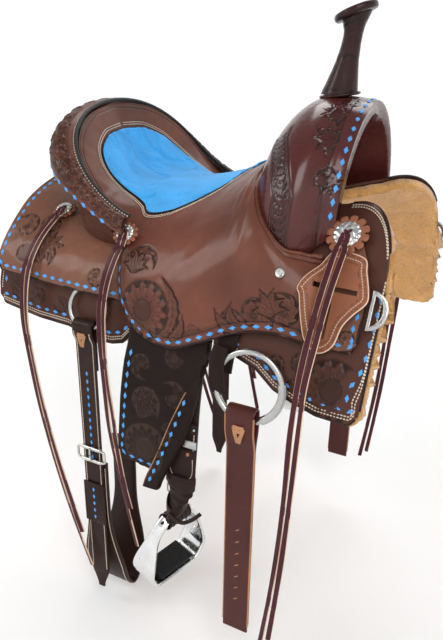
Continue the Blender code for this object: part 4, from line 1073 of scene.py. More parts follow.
@dataclass(frozen=True)
class Stipple:
    """Round patch of dots, or a dotted ring when hollow."""

    panel: Panel
    size: float
    pitch: float = 0.0030
    hollow: float = 0.0

    def carve(self, done: Field) -> None:
        """Presses the dots into the field."""
        x, y, near = self.panel.read(done.points, self.size)
        x, y = x[near], y[near]
        radius = np.hypot(x, y)
        dots = dotted(x, y, self.pitch)
        rim = np.exp(-((radius - self.size) / 0.0009) ** 2)
        keep = (radius < self.size + 0.002) & (radius > self.hollow)
        rise = -0.5 - 0.6 * dots - 0.5 * rim
        shade = 0.50 + 0.40 * dots + 0.4 * rim
        index = np.flatnonzero(near)[keep]
        done.rise[index] = rise[keep] * CARVE_DEPTH
        done.shade[index] = np.clip(shade[keep], 0.0, 1.0)


def press_scrolls(done: Field, facing: Place, rows: Sequence) -> None:
    """Presses one scroll for each row of middle, size, hand and start."""
    for middle, size, hand, start in rows:
        scroll(middle, facing, size, start, hand).carve(done)


def press_all(done: Field, leaves: Sequence[Leaf]) -> None:
    """Presses leaves in their order."""
    for leaf in leaves:
        leaf.carve(done)


def groove(done: Field, away: Array, width: float = 0.0011, depth: float = 0.8, dark: float = 0.85) -> None:
    """Carved line where away, a distance in metres, is 0."""
    line = np.exp(-(away / width) ** 2)
    done.rise -= line * depth * CARVE_DEPTH
    done.shade[:] = np.maximum(done.shade, line * dark)


def beading(done: Field, away: Array, along: Array, pitch: float = 0.0050, half: float = 0.0018) -> None:
    """Row of pressed half moons where away is 0 and along runs on."""
    local = (np.mod(along / pitch, 1.0) - 0.5) * pitch
    radius = np.hypot(local, away) / half
    moon = np.exp(-((radius - 0.8) / 0.28) ** 2) * (away < half * 0.5)
    near = np.abs(away) < half * 1.4
    done.rise[near] -= 0.6 * CARVE_DEPTH * moon[near]
    done.shade[near] = np.maximum(done.shade[near], 0.75 * moon[near])


def hand_made(done: Field, size: float = 0.045, height: float = 0.0005, seed: float = 0.0) -> None:
    """Slight unevenness of a hand-fitted sheet."""
    done.rise += wave(done.points, size, seed) * height


def edge_distance(surface: Surface, u: Array, v: Array, edge: str) -> Array:
    """Rough distance of each point from one edge of its sheet, in metres."""
    fixed = np.full(len(u), float(edge[1]))
    other = surface(fixed, v) if edge[0] == "u" else surface(u, fixed)
    return np.linalg.norm(surface(u, v) - other, axis=1)


# The saddle's assemblies.

RIGHT_OUT: Place = (0.0, -1.0, 0.25)


@dataclass
class Swell:
    """Leather-covered swell and the horn on it."""

    centre_z: float = 0.200
    rear_x: float = 0.095
    crown_x: float = 0.170
    front_x: float = 0.231
    horn_base: Place = (0.176, 0.0, 0.3915)
    horn_top: Place = (0.1945, 0.0, 0.5000)
    horn_radii: tuple = (0.0275, 0.0235, 0.0195, 0.0165, 0.0145, 0.0150, 0.0200)
    cap_radius: float = 0.0325
    cap_thick: float = 0.0120
    cap_lean: float = math.radians(22.0)
    split: float = 0.72
    wrap_turns: float = 2.3

    def outer(self, x: Array, turn: Array) -> Array:
        """Outer radius at stations x and angles from straight up."""
        side = np.abs(np.sin(turn))
        crown = mix(0.190, 0.200, side ** 2)
        rear = mix(0.095, 0.118, side ** 1.5)
        lip = mix(0.185, 0.162, side ** 1.2)
        t = np.clip((x - self.rear_x) / (self.crown_x - self.rear_x), 0.0, 1.0)
        behind = mix(rear, crown, np.sqrt(1.0 - (1.0 - t) ** 2))
        s = np.clip((x - self.crown_x) / (self.front_x - self.crown_x), 0.0, 1.0)
        ahead = mix(crown, lip, mix(s * s, smooth(s), ramp(side, 0.30, 0.50)))
        return np.where(x < self.crown_x, behind, ahead)

    def gullet(self, x: Array, turn: Array) -> Array:
        """Radius of the tunnel through the swell."""
        side = np.abs(np.sin(turn))
        t = np.clip((x - self.rear_x) / (self.front_x - self.rear_x), 0.0, 1.0)
        return mix(mix(0.066, 0.086, side), mix(0.168, 0.144, side ** 1.2), t ** 0.8)

    def section(self, u: Array, turn: Array) -> Array:
        """Points round the swell's section at share u, at angles from straight up."""
        split = self.split
        front = u <= split
        t = np.where(front, 1.0 - np.cos(np.clip(u / split, 0.0, 1.0) * math.pi / 2.0), 1.0)
        t = np.where(front, mix(t, np.clip(u / split, 0.0, 1.0), 0.45), 1.0 - (u - split) / (1.0 - split))
        x = mix(self.rear_x, self.front_x, t)
        radius = np.where(front, self.outer(x, turn), self.gullet(x, turn))
        lip = np.exp(-((u - split) / 0.03) ** 2)
        x = x + 0.004 * np.cos(turn) + 0.002 * lip
        return np.column_stack((x, -radius * np.sin(turn), self.centre_z + radius * np.cos(turn)))

    def reach(self, u: Array, clear: float) -> Array:
        """Largest angle at which the section still clears the flank."""
        low, high = np.full(len(u), 0.9), np.full(len(u), math.radians(97.0))
        for _ in range(14):
            middle = (low + high) / 2.0
            points = self.section(u, middle)
            moved = FLANK.clear(points, clear) - points
            touching = np.linalg.norm(moved, axis=1) > 1e-6
            high = np.where(touching, middle, high)
            low = np.where(touching, low, middle)
        return low

    def surface(self, u: Array, v: Array) -> Array:
        """Swell cover: u runs round its section, v from the right foot to the left."""
        side = 2.0 * v - 1.0
        samples = np.linspace(0.0, 1.0, 97)
        reach = np.interp(u, samples, self.reach(samples, 0.0050))
        points = self.section(u, np.abs(side) * reach)
        points[:, 1] *= np.where(side < 0.0, 1.0, -1.0)
        return points

    def cover(self) -> bpy.types.Object:
        """Swell body with stamped bands and a rolled front lip."""
        cells = (170, 330)
        bm, u, v = grid(cells)
        points = self.surface(u, v)
        along, across = slopes(self.surface, u, v, 0.0015)
        normals = unit(np.cross(across, along))
        outward = points - np.column_stack((points[:, 0], np.zeros(len(u)), np.full(len(u), 0.2)))
        top = u < self.split
        sign = np.where(np.sum(normals * outward, axis=1) < 0.0, -1.0, 1.0)
        normals = normals * sign[:, None]
        done = Field(points, np.zeros(len(u)), np.zeros(len(u)))
        self.tool(done, u, v)
        done.rise[~top] = 0.0
        done.shade[~top] = 0.0
        points = points + normals * done.rise[:, None]
        press(bm, points, done.shade)
        close_body(bm, 2.0 * WELD, sum(cells))
        return make_object("swell_cover", finish_mesh(bm, "swell_cover", 70.0), "swell_leather")

    def tool(self, done: Field, u: Array, v: Array) -> None:
        """Borders, shell band, stippled patch and leaf sprigs of the swell."""
        x = done.points[:, 0]
        angle = np.arctan2(np.abs(done.points[:, 1]), done.points[:, 2] - self.centre_z)
        for sign in (-1.0, 1.0):
            for middle, facing, size, start, spread in (
                    ((0.2120, 0.0750, 0.3700), (0.42, 0.36, 0.83), 0.036, 70.0, 150.0),
                    ((0.2140, 0.1180, 0.3360), (0.45, 0.62, 0.64), 0.040, 60.0, 170.0),
                    ((0.2140, 0.1400, 0.3060), (0.45, 0.74, 0.50), 0.042, 200.0, 120.0),
                    ((0.2140, 0.1560, 0.2820), (0.45, 0.80, 0.40), 0.026, 60.0, 120.0)):
                place = (middle[0], middle[1] * sign, middle[2])
                towards = (facing[0], facing[1] * sign, facing[2])
                first = start if sign < 0.0 else 180.0 - start - spread
                press_all(done, sprig(place, towards, size, first, spread))
            patch = Panel((0.2078, 0.0400 * sign, 0.3830), (0.40, 0.22 * sign, 0.90))
            Stipple(patch, 0.0125).carve(done)
        band = x - (0.128 + 0.034 * np.clip((angle - 0.72) / 0.5, 0.0, 1.0))
        along = angle * 0.195 / 0.0115
        inside = (np.abs(band) < 0.0100) & (angle > 0.66) & (u < 0.70)
        local = (np.mod(along, 1.0) - 0.15) * 0.0115
        rays = 0.5 + 0.5 * np.cos(np.arctan2(band, local) * 9.0)
        shell = ramp(np.abs(np.hypot(band * 0.9, local) / 0.0098 - 0.92), 0.0, 0.16)
        done.rise[inside] -= (1.2 * (1.0 - shell) + 0.5 * rays)[inside] * CARVE_DEPTH
        done.shade[inside] = np.maximum(done.shade, 0.35 + 0.35 * rays + 0.45 * (1.0 - shell))[inside]
        upper = (angle > 0.60) & (u < 0.70)
        for shift in (0.0118, 0.0155):
            groove(done, np.where(upper, np.abs(band) - shift, 1.0), 0.0011, 1.0)
        done.rise += np.exp(-((np.abs(band) - 0.0136) / 0.0014) ** 2) * upper * 0.0009
        groove(done, x - (self.front_x - 0.0190), 0.0011, 1.1)
        beading(done, x - (self.front_x - 0.0225), angle * 0.19)

    def lip_trail(self, back: float) -> Trail:
        """Trail over the front lip from foot to foot."""
        v = np.linspace(0.05, 0.95, 160)
        u = np.full(len(v), self.split - back)
        points = self.surface(u, v)
        around = points - np.column_stack((points[:, 0] - 0.06, np.zeros(len(v)), np.full(len(v), 0.2)))
        return Trail(points, unit(around))

    def seam(self, v: Array, turn: Array) -> Array:
        """Wave that is 0 along the slanting seams of the horn's wrap."""
        return np.sin((v * self.wrap_turns + 0.16 * np.sin(turn)) * math.pi)

    def horn_surface(self, u: Array, v: Array) -> Array:
        """Horn neck, a little proud of the tree where it flares."""
        centre = mix(np.array(self.horn_base), np.array(self.horn_top), v[:, None])
        radius = spline([(r,) for r in self.horn_radii], v)[:, 0]
        turn = FULL_TURN * u
        wraps = np.abs(self.seam(v, turn))
        radius = radius + 0.0007 * (wraps ** 0.3 - 0.5)
        a, b = radius * np.cos(turn), radius * np.sin(turn)
        tilt = math.tan(self.cap_lean) * v
        return centre + np.column_stack((a, b, a * tilt))

    def horn_shade(self, u: Array, v: Array) -> Array:
        """Dark seams between the wraps."""
        turn = FULL_TURN * u
        return np.exp(-(self.seam(v, turn) / 0.10) ** 2) * 0.9

    def cap(self) -> bpy.types.Object:
        """Horn cap, turned from a profile, with a rolled edge and a stitch groove."""
        half, radius = self.cap_thick / 2.0, self.cap_radius
        profile = ((0.0, half * 0.92), (radius * 0.55, half), (radius * 0.78, half * 1.02),
                   (radius * 0.815, half * 0.86), (radius * 0.85, half * 1.0), (radius * 0.93, half * 0.86),
                   (radius * 0.985, half * 0.48), (radius, 0.0), (radius * 0.985, -half * 0.48),
                   (radius * 0.93, -half * 0.84), (radius * 0.80, -half), (radius * 0.55, -half),
                   (0.0, -half))
        normal = Vector((-math.sin(self.cap_lean), 0.0, math.cos(self.cap_lean)))
        centre = Vector(self.horn_top) + normal * (half + 0.0008)
        return turned("horn_cap_cover", profile, 72, "horn_leather", centre, normal)

    def build(self) -> None:
        """Makes and hangs the swell, its lacing, the horn and its cap."""
        hang(self.cover(), "saddle", Slot.SWELL, "swell")
        trail = self.lip_trail(0.030)
        hang(lace_diamonds("swell_lacing", [trail], 0.0190, 0.0125, 0.0070), "saddle", Slot.SUEDE)
        neck = swept("horn_wrap", (56, 90), self.horn_surface, "horn_leather", self.horn_shade)
        hang(neck, "saddle", Slot.SWELL, "horn_neck")
        hang(self.cap(), "saddle", Slot.SWELL, "horn_cap")
        turn = np.linspace(0.0, FULL_TURN, 73)
        ring = np.column_stack((0.1775 + 0.0290 * np.cos(turn), 0.0290 * np.sin(turn),
                                0.3905 + 0.004 * np.cos(turn)))
        welt = tube("horn_welt", ring, 0.0022, "horn_leather", 8, 72)
        hang(welt, "saddle", Slot.SWELL)


def frame_matrix(centre: Vector, normal: Vector, up: Vector | None = None) -> Matrix:
    """Matrix whose Z is the normal and whose Y leans to up."""
    z_axis = normal.normalized()
    lean = up if up is not None else Vector(UP)
    x_axis = lean.cross(z_axis)
    if x_axis.length < 1e-4:
        x_axis = Vector((0.0, 1.0, 0.0)).cross(z_axis)
    x_axis.normalize()
    return axes_matrix(x_axis, z_axis.cross(x_axis), z_axis, centre)


def turned(name: str, profile: Sequence, steps: int, finish: str, centre: Vector, normal: Vector,
           shape: Callable[[Array], Array] | None = None) -> bpy.types.Object:
    """Closed piece turned from (r, z) rows that run from the top middle to the bottom one.

    Args:
        name: The piece's name.
        profile: Rows of radius and height.
        steps: Cells round the axis.
        finish: The finish's name.
        centre: Where its middle goes.
        normal: The axis.
        shape: Changes the rows of X, Y and Z before they are placed.

    Returns:
        The piece's object.
    """
    matrix = frame_matrix(centre, normal)

    def place(u: Array, v: Array) -> Array:
        radius, height = even_rows(profile, v)
        turn = FULL_TURN * u
        local = np.column_stack((radius * np.cos(turn), radius * np.sin(turn), height))
        if shape is not None:
            local = shape(local)
        return local @ np.array(matrix.to_3x3()).T + np.array(matrix.translation)

    return swept(name, (steps, (len(profile) - 1) * 2), place, finish, sharp=40.0)


@dataclass
class Cantle:
    """Cheyenne roll, braided binding and the board behind the seat."""

    front_x: float = -0.050
    depth: float = 0.194
    half_width: float = 0.196
    corner_z: float = 0.203
    rise: float = 0.160
    roll_width: float = 0.040
    roll_drop: float = 0.046
    rows: float = 16.0

    def turn(self, v: Array) -> Array:
        """Angle along the rim for share v."""
        return np.radians(89.6 * np.sin(math.pi * (v - 0.5)))

    def rim(self, turn: Array) -> Array:
        """Points on the rim."""
        c = np.abs(np.cos(turn))
        return np.column_stack((self.front_x - self.depth * c ** 0.34, -self.half_width * np.sin(turn),
                                self.corner_z + self.rise * c ** 0.66))

    def outward(self, turn: Array) -> Array:
        """Level directions away from the seat."""
        rows = np.column_stack((-np.cos(turn) * 1.15, -np.sin(turn), np.zeros(len(turn))))
        return unit(rows)

    def size(self, turn: Array) -> Array:
        """Scale of the roll's section."""
        return mix(0.50, 1.0, smooth(np.cos(turn) * 1.5))

    def roll(self, u: Array, v: Array) -> Array:
        """Roll surface: u round its section, v from the left corner to the right."""
        section = ((0.00, 0.05), (0.22, 0.10), (0.45, 0.08), (0.67, 0.01), (0.85, -0.12), (0.97, -0.29),
                   (1.02, -0.50), (1.02, -0.74), (0.97, -0.95), (0.90, -1.02), (0.80, -1.00),
                   (0.70, -0.78), (0.60, -0.55), (0.35, -0.33), (0.06, -0.22), (0.00, -0.08),
                   (0.00, 0.05))
        turn = self.turn(v)
        size = self.size(turn)
        out, drop = even_rows(section, u)
        place = self.rim(turn) + self.outward(turn) * (0.0045 + out * self.roll_width * size)[:, None]
        place[:, 2] += drop * self.roll_drop * size + 0.001
        return place

    def build(self) -> None:
        """Makes and hangs the roll, lacing, binding and board."""
        bm, u, v = grid((80, 520))
        points = self.roll(u, v)
        done = Field(points, np.zeros(len(u)), np.zeros(len(u)))
        band = (u * self.rows > 1.2) & (u * self.rows < 6.4)
        dots = np.sin(u * 330.0) * np.sin(v * 900.0)
        done.rise[band] = (-0.7 + 0.3 * dots[band]) * CARVE_DEPTH
        done.shade[band] = 0.70 - 0.2 * dots[band]
        for row, lean, size, count in ((2.5, 1.6, 0.0135, 25), (4.6, 0.5, 0.0125, 26)):
            for index, share in enumerate(np.linspace(0.03, 0.97, count)):
                spot = self.roll(np.array([row / self.rows]), np.array([share]))[0]
                away = self.outward(self.turn(np.array([share])))[0]
                hand = 1 if index % 2 else -1
                scroll(tuple(spot), (away[0], away[1], lean), size, index * 97.0, hand).carve(done)
        low = (u - 6.6 / self.rows) * 0.17
        groove(done, low, 0.0011, 1.0)
        groove(done, (u - 1.0 / self.rows) * 0.17, 0.0010, 0.8)
        hand_made(done, 0.05, 0.0004, 5.0)
        top, foot = (self.roll(np.full(len(v), row / self.rows), v) for row in (4.0, 13.0))
        centre = top * 0.5 + foot * 0.5
        points = points + unit(points - centre) * done.rise[:, None]
        press(bm, points, done.shade)
        close_body(bm, 2.0 * WELD, 400)
        hang(make_object("cantle_roll", finish_mesh(bm, "cantle_roll", 70.0), "seat_leather"),
             "saddle", Slot.SADDLE, "cheyenne_roll")
        share = np.linspace(0.06, 0.94, 150)
        line = self.roll(np.full(150, 7.6 / self.rows), share)
        trail = Trail(line, self.outward(self.turn(share)))
        hang(lace_diamonds("cantle_lacing", [trail], 0.0200, 0.0125, 0.0072), "saddle", Slot.SUEDE)
        self.binding()
        self.board()

    def binding(self) -> None:
        """Black braid along the rim and a pale bead row outside it."""
        share = np.linspace(0.0, 1.0, 241)
        turn = self.turn(share)
        base = self.rim(turn) + np.column_stack((np.zeros(241), np.zeros(241), np.full(241, 0.0035)))
        out = self.outward(turn)

        def weave(u: Array, v: Array) -> Array:
            twist = np.abs(np.sin(FULL_TURN * u + v * FULL_TURN * 62.0))
            other = np.abs(np.sin(FULL_TURN * u - v * FULL_TURN * 62.0))
            return 0.84 + 0.22 * np.maximum(twist, other) ** 0.5

        braid = tube("rim_braid", base, 0.0030, "black_braid", 20, 900, weave)
        hang(braid, "saddle", Slot.BINDING, "cantle_binding")
        beads = Trail(base + out * 0.0038, unit(out + np.array(UP)))
        places = beads.places(0.0052, (0.0034, 0.0022, 0.0022), -0.0006)
        hang(scattered("rim_beads", stitch_shape, places, "thread"), "saddle", Slot.BINDING)

    def board(self) -> None:
        """Leather over the back of the cantle."""
        def place(u: Array, v: Array) -> Array:
            turn = self.turn(v) * 0.985
            out = self.outward(turn)
            top = self.rim(turn) + out * 0.016 + np.array((0.0, 0.0, -0.026))
            foot = self.rim(turn) + out * 0.004
            f = 0.04 + 0.50 * np.abs(np.sin(turn)) ** 1.5
            x = np.maximum(foot[:, 0], -0.235)
            base = FLANK.point(x, f, 0.024)
            foot = np.column_stack((x, foot[:, 1] * 0.92, base[:, 2] + 0.004))
            return mix(foot, top, u[:, None])

        obj = sheet_object("cantle_back", (24, 140), place, 0.008, "brown_leather", (-1.0, 0.0, 0.3))
        obj.modifiers["gauge"].offset = 0.0
        hang(obj, "saddle", Slot.SADDLE, "cantle_board")


@dataclass
class Seat:
    """Seat leather with its jockeys, tooling and lacing, and the suede inlay."""

    swell: Swell = field(default_factory=Swell)
    edge: tuple = ((-0.244, 0.0, 0.362), (-0.229, 0.100, 0.347), (-0.200, 0.166, 0.305),
                   (-0.150, 0.190, 0.243), (-0.098, 0.196, 0.188), (-0.087, 0.231, 0.122),
                   (-0.069, 0.251, 0.081), (-0.031, 0.264, 0.049), (0.024, 0.269, 0.039),
                   (0.074, 0.267, 0.057), (0.127, 0.257, 0.080), (0.187, 0.252, 0.090),
                   (0.228, 0.252, 0.084))
    spine: tuple = ((-0.135, 0.237), (-0.132, 0.237), (-0.127, 0.236), (-0.118, 0.235),
                    (-0.104, 0.234), (-0.084, 0.234), (-0.060, 0.236), (-0.020, 0.244),
                    (0.030, 0.262), (0.082, 0.290))
    convex: tuple = (0.0, 0.0, 0.0, 0.12, 0.55, 0.85, 1.0, 1.0, 1.0, 0.9, 0.55, 0.35, 0.3)
    foot_turns: tuple = (0.0, 62.0, 88.0, 96.0)
    foot_xs: tuple = (0.084, 0.103, 0.155, 0.226)
    reach: tuple = ((0.0, 0.83), (0.7, 0.84), (1.4, 0.80), (2.2, 0.72), (3.1, 0.64), (4.3, 0.505),
                    (5.5, 0.42), (6.7, 0.345), (7.4, 0.275), (8.0, 0.21), (8.3, 0.12), (8.5, 0.04))
    inlay_end: float = 8.5 / 12.0
    seam_end: float = 0.751
    flesh_depth: float = 0.0034
    thick: float = 0.0050
    knots: tuple[int, int] = (181, 61)

    def __post_init__(self) -> None:
        """Samples the seat once and irons its folds out between its borders."""
        t, v = np.meshgrid(np.linspace(0.0, 1.0, self.knots[0]), np.linspace(0.0, 1.0, self.knots[1]),
                           indexing="ij")
        rows = self.raw(t.ravel(), v.ravel()).reshape(*self.knots, 3)
        free = (1.0 - v[1:-1] ** 6)[:, :, None]
        start = rows.copy()
        for _ in range(90):
            rows[1:-1] += free * 0.5 * ((rows[:-2] + rows[2:]) / 2.0 - rows[1:-1])
            rows[:, 0, 1] = np.where(t[:, 0] <= self.seam_end, 0.0, rows[:, 0, 1])
        moved = rows - start
        length = np.linalg.norm(moved, axis=2, keepdims=True)
        rows = start + moved * np.minimum(1.0, 0.006 / np.maximum(length, 1e-9))
        flat = FLANK.clear(rows.reshape(-1, 3), self.thick + 0.0020)
        self.grid = flat.reshape(*self.knots, 3)
        self.grid[:, 0, 1] = np.where(t[:, 0] <= self.seam_end, 0.0, self.grid[:, 0, 1])

    def point(self, t: Array, v: Array) -> Array:
        """Right half of the seat: t runs round its edge, v from inside out."""
        total = np.zeros((len(t), 3))
        parts = []
        for share, count in ((t, self.knots[0]), (v, self.knots[1])):
            at = np.clip(share, 0.0, 1.0) * (count - 1)
            index = np.minimum(at.astype(int), count - 2)
            f = at - index
            weights = ((-f + 2.0 * f ** 2 - f ** 3) / 2.0, (2.0 - 5.0 * f ** 2 + 3.0 * f ** 3) / 2.0,
                       (f + 4.0 * f ** 2 - 3.0 * f ** 3) / 2.0, (-f ** 2 + f ** 3) / 2.0)
            parts.append([(np.clip(index + k - 1, 0, count - 1), weights[k]) for k in range(4)])
        for rows, row_weight in parts[0]:
            for columns, weight in parts[1]:
                total += self.grid[rows, columns] * (row_weight * weight)[:, None]
        seam = (v <= 0.0) & (t <= self.seam_end)
        total[seam, 1] = 0.0
        return total

    def inner(self, t: Array) -> Array:
        """Inner ends of the seat lines: the centre line, then the swell's foot."""
        at = t * 12.0
        line = spline(self.spine, at / 9.0)
        first = np.column_stack((line[:, 0], np.zeros(len(t)), line[:, 1]))
        pair = spline(list(zip(self.foot_turns, self.foot_xs)), (at - 9.0) / 3.0)
        angle = np.radians(np.maximum(pair[:, 0], 0.0))
        radius = self.swell.outer(np.maximum(pair[:, 1], self.swell.rear_x), angle) + 0.006
        start = 1.0 - ramp(at, 9.0, 9.6)
        z = self.swell.centre_z + radius * np.cos(angle)
        second = np.column_stack((pair[:, 1], -radius * np.sin(angle), mix(z, 0.290, start)))
        return np.where((at <= 9.0)[:, None], first, second)

    def raw(self, t: Array, v: Array) -> Array:
        """The seat's shape before it is ironed."""
        edge = spline(self.edge, t)
        inner = self.inner(t)
        convex = spline([(c,) for c in self.convex], t)[:, 0]
        run = mix(v, np.sin(v * math.pi / 2.0) ** 0.95, convex)
        rise = mix(v ** 2.4, 1.0 - np.cos(v * math.pi / 2.0), convex)
        x = mix(inner[:, 0], edge[:, 0], run)
        y = mix(-inner[:, 1], edge[:, 1], run)
        z = mix(inner[:, 2], edge[:, 2], rise)
        return FLANK.clear(np.column_stack((x, -y, z)), self.thick + 0.0020)

    def normal(self, t: Array, v: Array) -> Array:
        """Outward directions of the seat."""
        rows = normals_of(self.point, np.maximum(t, 0.01), np.maximum(v, 0.02), RIGHT_OUT)
        flip = (rows[:, 2] < 0.0) & (rows[:, 1] > -0.5)
        rows[flip] *= -1.0
        return rows

    def carve(self, done: Field, u: Array, v: Array) -> None:
        """Tooling of the right seat jockey and the lines along its edges."""
        low, high = (0.0, -0.90, 0.42), (0.0, -0.78, 0.62)
        for middle, facing, size, start, hand in (((-0.052, -0.2240, 0.1530), high, 0.030, 60.0, 1),
                                                  ((0.020, -0.2630, 0.0760), low, 0.029, 150.0, -1),
                                                  ((0.1560, -0.2510, 0.1120), low, 0.029, 40.0, 1),
                                                  ((0.1960, -0.2440, 0.1210), low, 0.031, 130.0, -1),
                                                  ((0.1200, -0.2560, 0.0960), low, 0.020, 100.0, 1)):
            scroll(middle, facing, size, start, hand).carve(done)
        for middle, length, bend, tilt in (((0.050, -0.265, 0.062), 0.034, 0.5, 14.0),
                                           ((0.084, -0.262, 0.078), 0.026, -0.4, 8.0)):
            lean = math.radians(tilt)
            up = (-math.sin(lean), 0.0, math.cos(lean))
            Leaf(Panel(middle, (0.0, -0.92, 0.38), up), length, length * 0.24, bend).carve(done)
        for middle, facing, size, start, spread in (((-0.058, -0.2330, 0.1330), high, 0.042, 20.0, 130.0),
                                                    ((0.1780, -0.2480, 0.1120), low, 0.042, 30.0, 150.0)):
            press_all(done, sprig(middle, facing, size, start, spread))
        Bloom(Panel((-0.026, -0.259, 0.087), (-0.08, -0.93, 0.36)), 0.0160, 0.0440).carve(done)
        for middle, length, width, angle, bend in (((0.014, -0.2680, 0.0480), 0.094, 0.0085, 102.0, -0.50),
                                                   ((0.020, -0.2680, 0.0500), 0.050, 0.0070, 60.0, -0.45),
                                                   ((0.1420, -0.2560, 0.0900), 0.052, 0.0080, 158.0, 0.50),
                                                   ((0.1360, -0.2560, 0.0920), 0.036, 0.0070, 120.0, 0.55)):
            lean = math.radians(angle)
            leaf = Leaf(Panel(middle, low, (-math.sin(lean), 0.0, math.cos(lean))), length, width, bend)
            replace(leaf, length=length * 1.04, width=width + 0.0018, ground=True).carve(done)
            leaf.carve(done)
        near_edge = edge_distance(self.point, u, v, "v1")
        low = u > 0.40
        groove(done, np.where(low, near_edge - 0.0160, 1.0), 0.0016, 1.6, 0.95)
        groove(done, np.where(low, near_edge - 0.0200, 1.0), 0.0009, 0.6, 0.6)
        groove(done, near_edge - 0.0026, 0.0009, 0.8, 0.7)
        groove(done, np.where(~low, near_edge - 0.0090, 1.0), 0.0011, 0.9)
        foot = edge_distance(self.point, u, v, "v0")
        front = u > 0.77
        done.rise += np.where(front, 0.0016 * np.exp(-((foot - 0.0045) / 0.0026) ** 2), 0.0)
        done.rise += np.where(front, 0.0012 * np.exp(-((foot - 0.0115) / 0.0022) ** 2), 0.0)
        groove(done, np.where(front, foot - 0.0082, 1.0), 0.0008, 0.8)
        groove(done, np.where(front, foot - 0.0152, 1.0), 0.0009, 0.9)
        reach = table(self.reach, u * 12.0)
        gap = self.inlay_gap(u, v, reach)
        groove(done, gap, 0.0012, 1.0, 0.95)
        hand_made(done, 0.075, 0.0006, 1.0)

    def inlay_gap(self, u: Array, v: Array, reach: Array) -> Array:
        """Rough distance outside the inlay's border, in metres."""
        inside = u < self.inlay_end
        border = self.point(u, np.minimum(reach, 0.98))
        away = np.linalg.norm(self.point(u, v) - border, axis=1) * np.where(v > reach, 1.0, -1.0)
        return np.where(inside, away - 0.0010, 1.0)

    def inlay_trail(self, out: float) -> Trail:
        """Trail outside the inlay's border on the right."""
        t = np.linspace(0.004, self.inlay_end - 0.004, 240)
        reach = table(self.reach, t * 12.0)
        ahead = self.point(t, np.minimum(reach + 0.02, 1.0)) - self.point(t, reach)
        depth = out / np.maximum(np.linalg.norm(ahead, axis=1) / 0.02, 0.02)
        share = np.clip(reach + np.minimum(depth, 0.10), 0.0, 0.97)
        normals = self.normal(t, share)
        return Trail(self.point(t, share) + normals * 0.0003, normals)

    def build(self) -> None:
        """Makes and hangs the seat, its trims and the inlay."""
        bm, u, v = grid((330, 140))
        u = table(((0.0, 0.0), (0.22, 0.42), (1.0, 1.0)), u)
        v = table(((0.0, 0.0), (0.24, 0.50), (1.0, 1.0)), v)
        points = self.point(u, v)
        normals = self.normal(u, v)
        done = Field(points, np.zeros(len(u)), np.zeros(len(u)))
        self.carve(done, u, v)
        seam = (np.abs(points[:, 1]) < 1e-6) & (u < 0.76)
        normals[seam, 1] = 0.0
        fade = np.where(u < 0.76, ramp(v, 0.0, 0.02), 1.0)
        points = points + unit(normals) * (done.rise * fade)[:, None]
        press(bm, points, done.shade * fade)
        bm.normal_update()
        faces_out(bm, (0.0, -0.7, 0.7))
        obj = make_object("seat_cover", finish_mesh(bm, "seat_cover"), "seat_leather")
        whole = obj.modifiers.new("left_half", "MIRROR")
        whole.use_axis = (False, True, False)
        whole.merge_threshold = 0.0001
        hang(obj, "saddle", Slot.SADDLE, "seat_leather")

        def under(u: Array, v: Array) -> Array:
            return self.point(u, v) - self.normal(u, v) * self.flesh_depth

        flesh = sheet_object("seat_flesh", (110, 36), under, self.thick - self.flesh_depth,
                             "dark_leather", (0.0, -0.7, 0.7))
        hang_pair(flesh, "saddle", Slot.SADDLE, "seat_leather")
        self.trims()
        self.inlay()

    def trims(self) -> None:
        """Lacing, stitching, rolled edges and the screw of the seat."""
        low = np.linspace(0.40, 0.985, 240)
        lace = inset_trail(self.point, low, 0.0088, RIGHT_OUT)
        hang_pair(lace_diamonds("seat_lacing", [lace], 0.0180, 0.0118, 0.0066), "saddle", Slot.SUEDE)
        edge = inset_trail(self.point, np.linspace(0.33, 0.995, 260), 0.0006, RIGHT_OUT)
        hang_pair(cord_on("seat_edge_roll", edge, 0.0027, "dark_leather", -0.0022), "saddle", Slot.SADDLE)
        rows = [self.inlay_trail(0.0065), self.inlay_trail(0.0105)]
        hang_pair(stitches("inlay_stitching", rows), "saddle", Slot.STRING)
        front = np.linspace(0.775, 0.992, 160)
        for index, (inset, radius) in enumerate(((0.0042, 0.0032), (0.0115, 0.0019))):
            trail = inset_trail(self.point, front, inset, RIGHT_OUT, "v0")
            cord = cord_on(f"swell_foot_welt_{index}", trail, radius, "seat_leather", 0.0004, 10)
            hang_pair(cord, "saddle", Slot.SADDLE)
        screw = turned("seat_screw", ((0.0, 0.0026), (0.0028, 0.0025), (0.0034, 0.0014), (0.0038, 0.0014),
                                      (0.0058, 0.0022), (0.0070, 0.0010), (0.0072, -0.0010), (0.0, -0.0010)),
                       28, "nickel", Vector((0.1832, -0.2329, 0.1737)), Vector((0.20, -0.91, 0.38)))
        hang_pair(screw, "saddle", Slot.STEEL)

    def inlay(self) -> None:
        """Padded suede of the seat, settled by a short cloth run."""
        def place(u: Array, v: Array) -> Array:
            t = u * self.inlay_end
            share = v * table(self.reach, t * 12.0)
            crown = 0.0026 * (1.0 - v ** 8)
            normal = self.normal(t, share)
            seam = v <= 0.0
            normal[seam, 1] = 0.0
            points = self.point(t, share) + unit(normal) * (0.0020 + crown)[:, None]
            points[seam, 1] = 0.0
            return points

